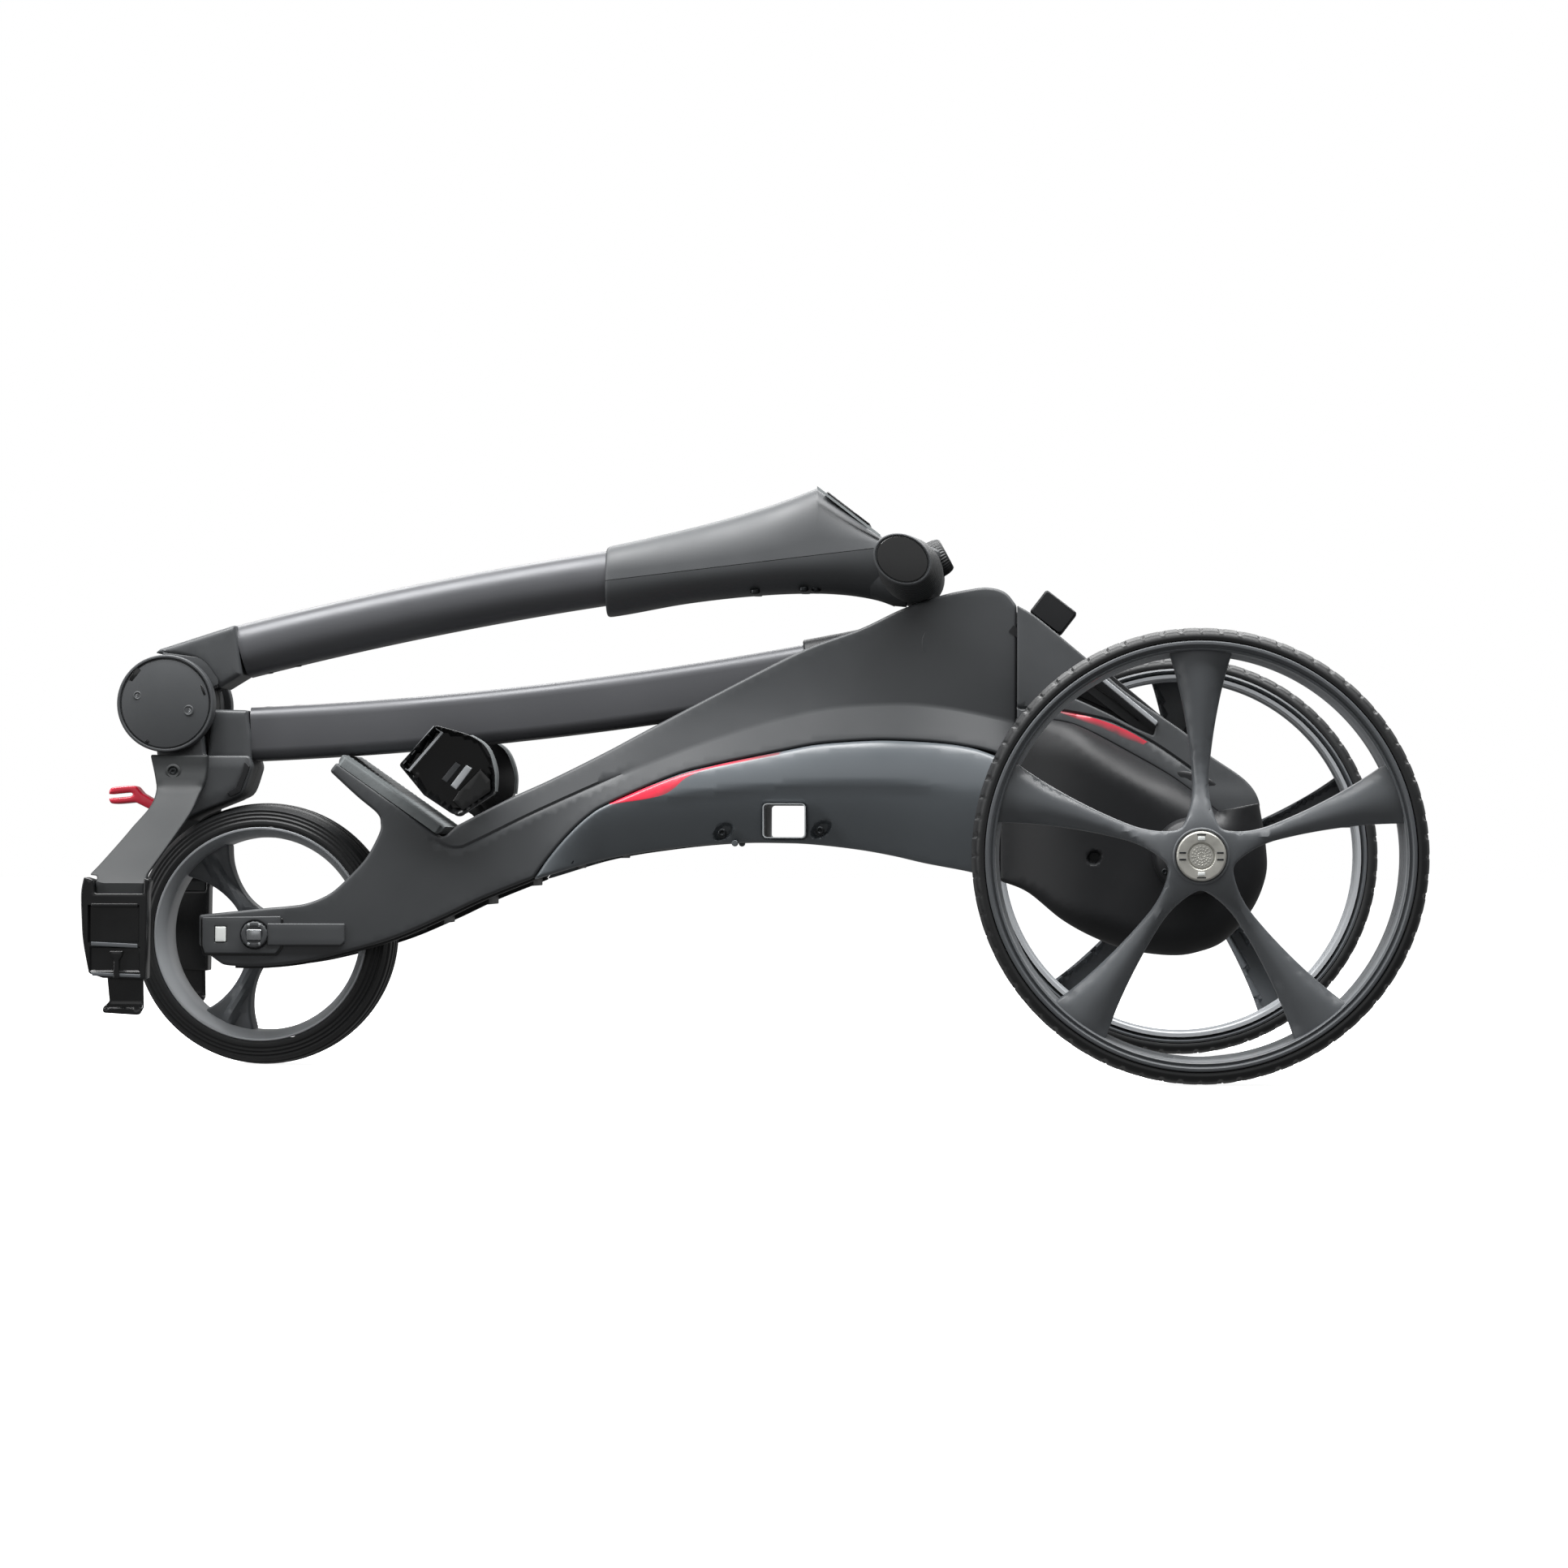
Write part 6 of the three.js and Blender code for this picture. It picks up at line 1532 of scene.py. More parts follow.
class TROLLEY_OT_upper_support(bpy.types.Operator):
    """Yoke, splayed arms, strap brackets with hooks, elastic strap and red release lever"""
    bl_idname = "trolley.upper_support"
    bl_label = "Upper bag support"

    def execute(self, context):
        yoke = outline([(-692, 199), (-694.5, 214.4), (-686.2, 213.3, 1), (-676, 215.1, 1),
                        (-667, 220.6, 1), (-663.5, 224.0), (-661.5, 208.4), (-631.4, 208.4),
                        (-629.2, 201.2), (-635.2, 184.3, 1), (-643.4, 178.8),
                        (-668.1, 168.9, 1), (-674.7, 164), (-690, 182)], 2.0, 2.4)

        def yoke_face(x, z, d):
            return 30.5 + 3.0 * (1 - ease(x, -664, -640)) - 1.2 * ease(-d, -4.6, -3.4)

        def yoke_inside(x, z, d):
            """Hollow under the hinge, where the upper collar swings to when it is unfolded."""
            return 0.2 + 27.8 * (1 - ease(x, -671.5, -669)) * ease(z, 196.5, 199.0)

        half = skin(yoke, yoke_face, yoke_inside, "abs_moulded_texture",
                    spacing=4.0, edge=2.0)
        rim = plate([(-634.4, 204.5), (-630.6, 200.8), (-637.0, 183.6), (-643.8, 180.4),
                     (-646.0, 183.0), (-639.8, 187.4), (-635.0, 200.0)], 30.0, 32.2,
                    "abs_moulded_black", corner=0.8, edge=0.5, spacing=4)
        piece("support_yoke_shell", [half, half.mirrored(), rim, rim.mirrored()], "lower_shaft",
              ["support_yoke"])
        pair("support_arm_blade", self.arm(), "lower_shaft", ["support_arm_{}"])
        pair("strap_bracket_frame", self.bracket(), "lower_shaft", ["strap_bracket_{}"])
        pair("strap_hook_blade", self.hook(), "lower_shaft", ["strap_hook_{}"])
        self.strap()
        self.lever()
        return {"FINISHED"}

    def arm(self):
        """A flat blade that bends outwards below its screw, down to the strap's bracket."""
        points = [(-696.3, 208.6), (-657.4, 208.6), (-658.6, 192.2, 1), (-661.5, 183, 1),
                  (-666.6, 166, 1), (-684.0, 129.0), (-684.0, 112.5), (-716.6, 112.5),
                  (-716.6, 127.6), (-722.0, 128.2), (-715.5, 137.5, 1), (-702.5, 158.5, 1),
                  (-691.5, 180, 1)]
        loop = outline(points, 2.0, 1.6)
        half, bend_z = 4.6, 186.5
        blade = skin(loop, level(half), level(-half), "nylon_arm_matt", spacing=4.0, edge=1.8,
                     inner_edge=1.8)
        z = blade.points[:, 2]
        splay = 38.9 + 92.1 * np.clip((bend_z - z) / 63.0, 0, 1)
        soften = 6.0 * (1 - ease(np.abs(z - bend_z), 0, 16))
        blade.points[:, 1] += splay + soften * 0.5
        head = lathe(soft_profile([(0, 40.2), (5.2, 40.2), (5.2, 44.8), (3.6, 45.4), (3.2, 44.0),
                                   (0, 44.0)], 0.4), (-680.6, 197.2), "nylon_arm_matt", 28,
                     closed=False)
        screw = dome(-680.6, 44.1, 197.2, 2.6, 0.9, 1, SCREW)
        return [blade, head, screw]

    def bracket(self):
        """The strap's bracket: a black frame with a recess, a lower panel and a T-shaped rib."""
        low, high = lowest("strap_bracket_right")[1], highest("strap_bracket_right")[1]
        frame_points = [(-717.4, 125.2), (-723.6, 127.0), (-725.4, 116.5, 1),
                        (-725.0, 100, 1), (-723.9, 84.7, 1), (-720.1, 64), (-711, 61.0),
                        (-682.7, 60.0), (-681.9, 117.7), (-680.2, 125.4), (-684.0, 126.4),
                        (-684.2, 116.2), (-716.2, 116.2)]
        loop = outline(frame_points, 1.8, 1.4)

        def face(x, z, d):
            recess = ease(z, 84.0, 85.0) * (1 - ease(z, 107.6, 108.6)) * ease(
                x, -720.8, -719.8) * (1 - ease(x, -688.0, -687.0))
            lower_panel = ease(x, -719.5, -718.5) * (1 - ease(x, -687.5, -686.5)) * ease(
                z, 65.0, 66.0) * (1 - ease(z, 80.5, 81.5))
            return high - 4.4 * recess - 1.2 * lower_panel

        lines = []
        for x0, x1, z0, z1 in ((-720.3, -687.5, 84.5, 108.1), (-719.0, -687.0, 65.5, 81.0)):
            for grow in (-0.6, 0.6):
                lines.append(through([(x0 - grow, z0 - grow), (x1 + grow, z0 - grow),
                                      (x1 + grow, z1 + grow), (x0 - grow, z1 + grow),
                                      (x0 - grow, z0 - grow)], 2.0, closed=False))
        body = skin(loop, face, level(low), "abs_moulded_gloss", spacing=2.4, edge=1.0,
                    inner_edge=1.0, creases=lines)
        # T-shaped rib below the strap, and the lighter ledge over it
        rib = plate([(-706.4, 78.6), (-697.4, 78.6), (-698.2, 75.0), (-700.0, 72.6),
                     (-699.6, 60.6), (-703.8, 60.6), (-703.4, 72.6), (-705.4, 75.0)],
                    high - 2.2, high + 1.3, "abs_moulded_gloss", corner=0.8, edge=0.6,
                    spacing=3, step=1.2)
        ledge = plate([(-718.6, 84.6), (-688.0, 83.2), (-688.0, 80.6), (-718.4, 82.0)],
                      high - 2.0, high + 0.5, "nylon_rim_satin", corner=0.5, edge=0.4, spacing=4)
        top_ledge = plate([(-718.6, 109.6), (-688.0, 109.6), (-688.0, 107.4), (-718.4, 107.4)],
                          high - 2.0, high + 0.3, "abs_moulded_gloss", corner=0.5, edge=0.4,
                          spacing=4)
        foot = plate([(-718.6, 64.6), (-686.0, 63.4), (-686.0, 61.2), (-717.4, 62.4)],
                     high - 2.0, high + 0.6, "nylon_rim_satin", corner=0.5, edge=0.4, spacing=4)
        return [body, rib, ledge, top_ledge, foot]

    def hook(self):
        """A blade below the bracket, with a thicker toe that holds the strap's end."""
        y = middle("strap_hook_right")[1]
        points = [(-709.4, 62.0), (-707.9, 45.6), (-712.1, 41.4), (-711.6, 38.0), (-688.2, 36.6),
                  (-685.2, 41.8), (-685.6, 62.0)]
        loop = outline(points, 1.5, 1.4)

        def outer(x, z, d):
            return y + 1.0 + 2.4 * (1 - ease(z, 40.2, 43.6))

        def inner(x, z, d):
            return y - 1.4 - 1.8 * (1 - ease(z, 40.2, 43.6))

        return [skin(loop, outer, inner, "abs_moulded_gloss", spacing=2.2, edge=0.8,
                     inner_edge=0.8)]

    def strap(self):
        """Flat elastic strap between the two brackets, bowed a little in the middle."""
        (x0, y0, z0), (x1, y1, z1) = lowest("bag_strap"), highest("bag_strap")
        x0, x1 = x0 - AXLE_X, x1 - AXLE_X
        section = ((0, 0.06), (0, 0.5), (0, 0.94), (0.25, 1), (0.75, 1), (1, 0.94), (1, 0.5),
                   (1, 0.06), (0.75, 0), (0.25, 0))
        rings = []
        for y in np.linspace(y0, y1, 61):
            bow = 0.44 * math.sin(math.pi * (y - y0) / (y1 - y0)) ** 2
            rings.append([(x0 + (x1 - x0) * u + bow, y, z0 + (z1 - z0) * v) for u, v in section])
        piece("bag_strap_webbing", [loft(rings, "polyester_webbing")], "lower_shaft",
              ["bag_strap"], sharp=60)

    def lever(self):
        """Red release lever: a forked tab under the hinge."""
        body = [(-697, 177), (-707.5, 183.0), (-711.5, 187.6), (-716, 188.3, 1),
                (-727, 187.2, 1), (-729.8, 185.2, 1), (-730.3, 182.3), (-716.2, 183.6, 1),
                (-714.2, 182.4, 1), (-715.6, 181.0, 1), (-730.3, 179.6), (-729.6, 177.4, 1),
                (-726.6, 175.8, 1), (-712, 176.9), (-700, 171)]
        loop = outline(body, 1.0, 0.9)
        half = highest("release_lever")[1]
        shape = skin(loop, level(half), level(-half), "polycarbonate_red", spacing=2.4,
                     edge=1.6, inner_edge=1.6)
        piece("release_lever_tab", [shape], "lever", ["release_lever"])


# ------------------------------------------------------------------ folding shafts
def lower_line(x):
    """Height and slope of the lower shaft's middle line, which sags like a shallow bow."""
    run = x + 631.0
    return 223.1 + 0.045 * run + run * run / 5400.0, 0.045 + run / 2700.0


def upper_line(x):
    """Height and slope of the upper shaft's middle line, which arches."""
    run = x + 639.0
    return 279.3 + 0.255 * run - run * run / 4700.0, 0.255 - run / 2350.0


def shaft(line, start, end, half_width, half_height, radius, material, steps, soft=0.0):
    """A round-cornered bar along a line; `soft` rounds the edges of its two ends."""
    def ring(x, shrink=0.0):
        section = box_section(half_width - shrink, half_height - shrink, radius - shrink, 8)
        z, slope = line(x)
        return ring_at(section, x, z, slope)

    rings = [ring(x) for x in np.linspace(start, end, steps)]
    if soft:
        rings = [ring(start, soft), ring(start + soft), *rings[1:-1], ring(end - soft),
                 ring(end, soft)]
    return loft(rings, material)


def tube_bolt(x, z, way):
    """A countersunk bolt head on the top or underside of a tube."""
    head = lathe(soft_profile([(0, 0.9), (2.2, 0.9), (4.6, 0.5), (5.4, -0.6), (5.4, -2.0),
                               (0, -2.0)], 0.4), (0, 0), SCREW, 24, closed=False)
    turn = Matrix.Rotation(math.radians(90 if way > 0 else -90), 4, "X")
    return head.turned(turn).moved(x=x, z=z)


class TROLLEY_OT_lower_shaft(bpy.types.Operator):
    """Lower shaft: tube, pivot sleeve and hinge collar"""
    bl_idname = "trolley.lower_shaft"
    bl_label = "Lower shaft"

    def execute(self, context):
        tube = shaft(lower_line, -631.2, -226, TUBE_HALF_WIDTH, TUBE_HALF_HEIGHT, 8.5,
                     "aluminium_powder_coated", 72)
        bolts = [tube_bolt(x, lower_line(x)[0] + TUBE_HALF_HEIGHT - 0.2, 1)
                 for x in (-621.5, -601.7)]
        piece("lower_tube_coated", [tube, *bolts], "lower_shaft", ["lower_tube"])
        sleeve = shaft(lower_line, -255.5, PIVOT[0] - 6, COLLAR_HALF, 21.2, 13,
                       "abs_moulded_black", 16, soft=1.0)
        eye = lathe(soft_profile([(0, -24), (21.8, -24), (21.8, 24), (0, 24)], 1.6), PIVOT,
                    "abs_moulded_black", 72, closed=False)
        piece("pivot_sleeve_moulding", [sleeve, eye], "lower_shaft", ["pivot_sleeve"])
        self.collar()
        return {"FINISHED"}

    def collar(self):
        """Collar on the lower tube, and the middle knuckle of the hinge."""
        x0, z0 = HINGE
        knuckle = lathe(soft_profile([(0, -10.6), (28.4, -10.6), (28.4, 10.6), (0, 10.6)], 1.0),
                        HINGE, "abs_moulded_texture", 72, closed=False)
        web = plate([(x0 - 14, z0 - 23), (x0, z0 - 29), (x0 + 13, z0 - 33.2), (x0 + 30, z0 - 35.8),
                     (x0 + 30, z0 - 8), (x0, z0)], -10.6, 10.6, "abs_moulded_texture")
        front = [(-657.0, 239.6), (-633.4, 239.0), (-630.9, 222), (-630.6, 205.0),
                 (-661.0, 205.4), (-659.4, 222)]
        loop = outline(front, 2.0, 1.4)
        half = skin(loop, lambda x, z, d: COLLAR_HALF - 1.6 * (1 - ease(x, -660, -646)),
                    level(0.2), "abs_moulded_texture", spacing=4.0, edge=3.0)
        piece("lower_collar_moulding", [knuckle, web, half, half.mirrored()], "lower_shaft",
              ["lower_hinge_collar"])


class TROLLEY_OT_upper_shaft(bpy.types.Operator):
    """Upper shaft: tube, hinge collar and the two hinge discs"""
    bl_idname = "trolley.upper_shaft"
    bl_label = "Upper shaft"

    def execute(self, context):
        tube = shaft(upper_line, -639.0, -353, TUBE_HALF_WIDTH, TUBE_HALF_HEIGHT, 16.5,
                     "aluminium_powder_coated", 56)
        bolts = [tube_bolt(x, upper_line(x)[0] - TUBE_HALF_HEIGHT + 0.2, -1)
                 for x in (-624.4, -605.1)]
        piece("upper_tube_coated", [tube, *bolts], "upper_shaft", ["upper_tube"])
        x0, z0 = HINGE
        collar = outline([(x0 - 10.2, z0 + 34.6), (x0 - 7.0, z0 + 37.2), (x0 + 44.2, z0 + 53.6),
                          (x0 + 46.6, z0 + 36), (x0 + 48.6, z0 + 19.9), (x0 + 33.4, z0 + 10.6),
                          (x0 + 29.4, z0 + 17.4, 1), (x0 + 17.6, z0 + 29.6, 1)], 2.0, 1.4)

        half = skin(collar, level(COLLAR_HALF), level(0.2), "abs_moulded_texture", spacing=4.0,
                    edge=3.6)
        ears = [lathe(soft_profile([(6.8, 11.4), (28.5, 11.4), (28.5, 32.4), (6.8, 32.4)], 0.8)
                      + [(6.8, 11.4)], HINGE, "abs_moulded_texture", 72, closed=False)]
        ears.append(plate([(x0 - 5, z0 + 22), (x0 + 22, z0 + 8), (x0 + 33, z0 + 13),
                           (x0 + 33, z0 + 30), (x0 - 5, z0 + 35)], 11.4, 27.0,
                          "abs_moulded_texture"))
        shapes = [half, half.mirrored()]
        for e in ears:
            shapes += [e, e.mirrored()]
        piece("upper_collar_moulding", shapes, "upper_shaft", ["upper_hinge_collar"])
        pair("hinge_disc_cap", self.disc(), "upper_shaft", ["hinge_disc_{}"])
        return {"FINISHED"}

    def disc(self):
        """Round cap over the hinge: slightly domed, with a groove, two screws and three slots."""
        R, face = DISC_RADIUS, DISC_FACE
        inner = lowest("hinge_disc_right")[1]

        groove = 29.4

        def crown(r):
            return face - 0.2 - 2.6 * (r / groove) ** 2

        rings = [(r, crown(r)) for r in np.linspace(0, 29.2, 12)]
        profile = rings + soft_profile([(groove, crown(groove)), (29.7, face - 4.2),
                                        (30.5, face - 4.2), (30.8, face - 2.2),
                                        (R - 0.5, face - 2.3), (R, face - 3.4),
                                        (R, inner + 0.8), (R - 0.8, inner), (0, inner)], 0.3)
        made = [lathe(profile, HINGE, "abs_moulded_texture", 120, closed=False)]
        x0, z0 = HINGE
        for x, z, size in ((-704.5, 248.2, 2.9), (-670.1, 238.2, 3.7)):
            y = crown(math.hypot(x - x0, z - z0))
            made.append(lathe(soft_profile([(0.55 * size, y - 1.6), (0.55 * size, y + 0.1),
                                            (0.8 * size, y + 0.4), (size, y + 0.1),
                                            (size, y - 1.6)], 0.2), (x, z),
                              "abs_moulded_texture", 28, closed=False))
            made.append(dome(x, y - 0.5, z, 0.55 * size, 0.5, 1, "steel_turned"))
        for x, z, turn, half, thick in ((-706.6, 262.2, 58, 5.0, 1.9),
                                        (-660.6, 252.0, -68, 3.6, 0.8),
                                        (-698.0, 217.6, 30, 1.3, 1.2)):
            y = crown(min(29.0, math.hypot(x - x0, z - z0)))
            slot = slab_box(-half, half, y - 1.5, y + 0.25, -thick, thick,
                            "abs_moulded_gloss", 0.4)
            slot = slot.turned(Matrix.Rotation(math.radians(-turn), 4, "Y"))
            made.append(slot.moved(x=x, z=z))
        return made


# ------------------------------------------------------------------ handle
STEM_TOP = curve_at((-392, 350.2), (-358.5, 357.6), (-319.4, 367.2), (-290.3, 375.6),
                    (-268.8, 382.8), (-249.6, 390.0))
STEM_FOOT = curve_at((-392, 302.9), (-384.6, 304.0), (-338.8, 312.2), (-300, 316.8),
                     (-268.6, 318.9), (-241.4, 318.9), (-222, 317.0), (-206.3, 313.6),
                     (-196, 309.6))
STEM_PEAK = (-249.6, 390.0)
PANEL_FALL = 0.768  # how steeply the screen panel falls behind the stem's peak


def panel_z(x):
    """Height of the sloping screen panel."""
    return STEM_PEAK[1] - (x - STEM_PEAK[0]) * PANEL_FALL


class TROLLEY_OT_handle(bpy.types.Operator):
    """Handle: stem in two halves, screen, bar, grips and speed dial"""
    bl_idname = "trolley.handle"
    bl_label = "Handle"

    def execute(self, context):
        self.stem(context.scene.trolley_sizes.seam_gap * 1000)
        self.screen()
        self.bar()
        self.dial()
        return {"FINISHED"}

    def station(self, x):
        """Top, seam, foot, half width and squareness of the stem at x."""
        top = float(STEM_TOP(x)) if x <= STEM_PEAK[0] else panel_z(x)
        foot = float(STEM_FOOT(x))
        seam = 327.0 + (x + 387.4) * 0.1205
        width = float(curve_at((-392, 26.6), (-330, 26.8), (-270, 27.0), (-236, 27.0),
                               (-215, 26.6), (-200, 26.0))(x))
        square = float(curve_at((-392, 3.4), (-330, 3.0), (-280, 3.0), (-250, 3.6),
                                (-205, 4.5))(x))
        return top, seam, foot, width, square

    def stem(self, gap):
        """Stem in two halves, with the screen panel's frame above and screws below."""
        xs = np.concatenate([[-392.0, -391.6, -390.6, -388.5], np.linspace(-384, -252, 34),
                             [-250.4, -249.6, -248.8, -247.0], np.linspace(-243, -198, 15)])
        halves = {"upper": [], "lower": []}
        count = 26
        for k, x in enumerate(xs):
            top, seam, foot, width, square = self.station(x)
            shrink = {0: 1.4, 1: 0.7, 2: 0.2}.get(k, 0.0)  # rounds the open end's edge
            width -= shrink
            t = np.linspace(0, math.pi, count)
            c, s = np.cos(t), np.sin(t)
            across = width * np.sign(c) * np.abs(c) ** (2 / square)
            up = np.abs(s) ** (2 / (square * 0.8))
            crown = 0.985
            lean = 1 - 0.14 * up ** 1.6  # the sides lean in towards the top
            upper = [(x, a * k_lean, seam + gap / 2 + (top - shrink - seam) * u * crown
                      + (top - seam) * (1 - crown) * (1 - (a / width) ** 2) * (u > 0.5))
                     for a, u, k_lean in zip(across, up, lean)]
            across = width * np.sign(c) * np.abs(c) ** (2 / 2.3)
            up = np.abs(s) ** (2 / 2.1)
            lower = [(x, -a, seam - gap / 2 - (seam - foot - shrink) * u)
                     for a, u in zip(across, up)]
            halves["upper"].append(upper)
            halves["lower"].append(lower)
        top_shapes = [loft(halves["upper"], "abs_moulded_texture")]
        low_shapes = [loft(halves["lower"], "abs_moulded_texture")]
        # raised frame round the sloping screen panel
        for y in (-24.6, 24.6):
            rings = []
            for x in np.linspace(-249.4, -207, 14):
                z = panel_z(x)
                rings.append([(x, y - 1.3, z - 1.8), (x, y + 1.3, z - 1.8),
                              (x, y + 0.9, z + 0.2), (x, y - 0.9, z + 0.2)])
            top_shapes.append(loft(rings, "rubber_scuffed"))
        for x, y in ((-291.4, 17), (-258.7, 17), (-250.5, 12)):
            for side in (-1, 1):
                z = float(STEM_FOOT(x)) + 1.2
                head = lathe(soft_profile([(0, 0.4), (1.6, 0.4), (2.7, 0.9), (3.3, 0.3),
                                           (3.3, -2.0), (0, -2.0)], 0.3), (0, 0),
                             SCREW, 20, closed=False)
                low_shapes.append(head.turned(Matrix.Rotation(math.radians(-90), 4, "X"))
                                  .moved(x=x, y=side * y, z=z))
        piece("stem_upper_half", top_shapes, "upper_shaft", ["stem_upper"])
        piece("stem_lower_half", low_shapes, "upper_shaft", ["stem_lower"])

    def screen(self):
        """Polished window on the sloping panel."""
        run, out = SLOPE_ALONG, SLOPE_OUT
        start = np.array((-243.4, 386.2))
        length = 36.0
        rings = []
        for s, shrink in ((0, 1.2), (0.6, 0.4), (1.5, 0), (length - 1.5, 0), (length - 0.6, 0.4),
                          (length, 1.2)):
            p = start + run * s
            section = box_section(19.0 - shrink, 1.1, 0.5, 3)
            rings.append([(p[0] + out[0] * v, u, p[1] + out[1] * v) for u, v in section])
        piece("display_glass", [loft(rings, "acrylic_screen")], "upper_shaft",
              ["display_window"])

    def grip_ring(self, y, major, minor, shift=(0.0, 0.0), tilt=-45.0):
        """An oval round the bar, turned by `tilt` degrees."""
        count, tilt = 64, math.radians(tilt)
        t = np.arange(count) * 2 * math.pi / count
        u, v = major * np.cos(t), minor * np.sin(t)
        return np.stack([GRIP[0] + shift[0] + u * math.cos(tilt) - v * math.sin(tilt),
                         np.full(count, y),
                         GRIP[1] + shift[1] + u * math.sin(tilt) + v * math.cos(tilt)], 1)

    def bar(self):
        """Pod with its console and keys, the neck that joins it to the stem, and the grips."""
        major, minor = 23.0, 20.4
        # middle pod between the grips
        rings = []
        for y, s in ((-34, 0.965), (-33.4, 0.99), (-32, 1.0), (-16, 1.0), (0, 1.0), (16, 1.0),
                     (32, 1.0), (33.4, 0.99), (34, 0.965)):
            rings.append(self.grip_ring(y, major * s, minor * s))
        pod = loft(rings, "abs_moulded_texture")
        neck = []
        for x, lift, wide in ((-214, 3.0, 22.0), (-206, 2.0, 23.5), (-198, 0.5, 25.5),
                              (-190, -1.0, 27.0)):
            top, foot = 355.0 + lift - (x + 206) * 0.35, float(STEM_FOOT(x)) + 0.3
            s = oval(wide, (top - foot) / 2, 2.6, 48)
            neck.append(np.stack([np.full(48, float(x)), s[:, 0],
                                  s[:, 1] + (top + foot) / 2], 1))
        neck = loft(neck, "abs_moulded_texture")
        x0, z0 = GRIP
        console = plate([(x0 - 12.5, z0 + 20.0), (x0 - 6, z0 + 24.2), (x0 + 19.6, z0 + 13.4),
                         (x0 + 19.6, z0 + 8.0), (x0 + 8, z0 - 2), (x0 - 10, z0 + 6)], -26, 26,
                        "abs_moulded_texture", corner=2.0, edge=2.0)
        keys = []
        slope = np.array([25.6, -10.8])
        slope = slope / np.linalg.norm(slope)
        out = np.array([-slope[1], slope[0]])
        for y in (-18.5, 18.5):
            section = box_section(5.2, 3.4, 1.6, 4)
            p = np.array((x0 + 3.0, z0 + 20.4))
            rings = [[(p[0] + slope[0] * v * k + out[0] * h, y + u * k,
                       p[1] + slope[1] * v * k + out[1] * h) for u, v in section]
                     for h, k in ((-2.0, 1.0), (0.8, 1.0), (1.5, 0.92), (1.7, 0.7))]
            keys.append(loft(rings, "rubber_overmoulded"))
        piece("handle_bar_pod", [pod, neck, console, *keys], "upper_shaft",
              ["handle_bar"])
        pair("grip_sleeve", self.grip(major, minor), "upper_shaft", ["grip_{}"])

    def grip(self, major, minor):
        """Grooved rubber sleeve with a rim and a dark cap at its end."""
        end = BAR_END

        def ring(y, scale=1.0, ridge=0.0):
            """Grips taper, turn and rise a little towards their ends."""
            t = float(ease(y, 36, end))
            return self.grip_ring(y, (major - 3.4 * t + ridge) * scale,
                                  (minor - 4.6 * t + ridge) * scale,
                                  shift=(-3.6 * t, 3.2 * t), tilt=-45 + 17 * t)

        def closed_end(material, *places):
            return loft([ring(end - back, scale) for back, scale in places], material)

        groove = 0.4
        sleeve = loft([ring(y, 1.0, -groove if k % 6 == 3 and 8 < k < 76 else 0.0)
                       for k, y in enumerate(np.linspace(34.5, end - 5.0, 85))],
                      "rubber_overmoulded")
        rim = closed_end("abs_moulded_texture", (4.8, 1.0), (4.4, 1.02), (1.4, 1.02), (0.6, 1.0),
                         (0.4, 0.96), (1.2, 0.94), (3.0, 0.5))
        cap = closed_end("abs_moulded_gloss", (2.0, 0.90), (0.9, 0.90), (0.4, 0.87),
                         (0.25, 0.6), (0.2, 0.2))
        return [sleeve, rim, cap]

    def dial(self):
        """Knurled speed dial on the pod."""
        axis = Vector((0.88, 0, 0.475)).normalized()
        base = 15.9
        profile = soft_profile([(0, base), (12.8, base), (13.0, base + 1.0), (12.6, base + 6.5),
                                (11.6, base + 9.6), (10.4, base + 10.9), (8.0, base + 10.9),
                                (7.2, base + 10.2), (0, base + 10.2)], 0.5)

        def knurl(r, y, a):
            return r - 0.45 * (r > 11.4) * (0.5 + 0.5 * np.cos(a * 36)), y

        shape = lathe(profile, (0, 0), "rubber_overmoulded", 216, closed=False, ripple=knurl)
        turn = Vector((0, 1, 0)).rotation_difference(axis).to_matrix()
        shape = shape.turned(turn).moved(x=GRIP[0], z=GRIP[1])
        piece("speed_dial_knob", [shape], "dial", ["speed_dial"])


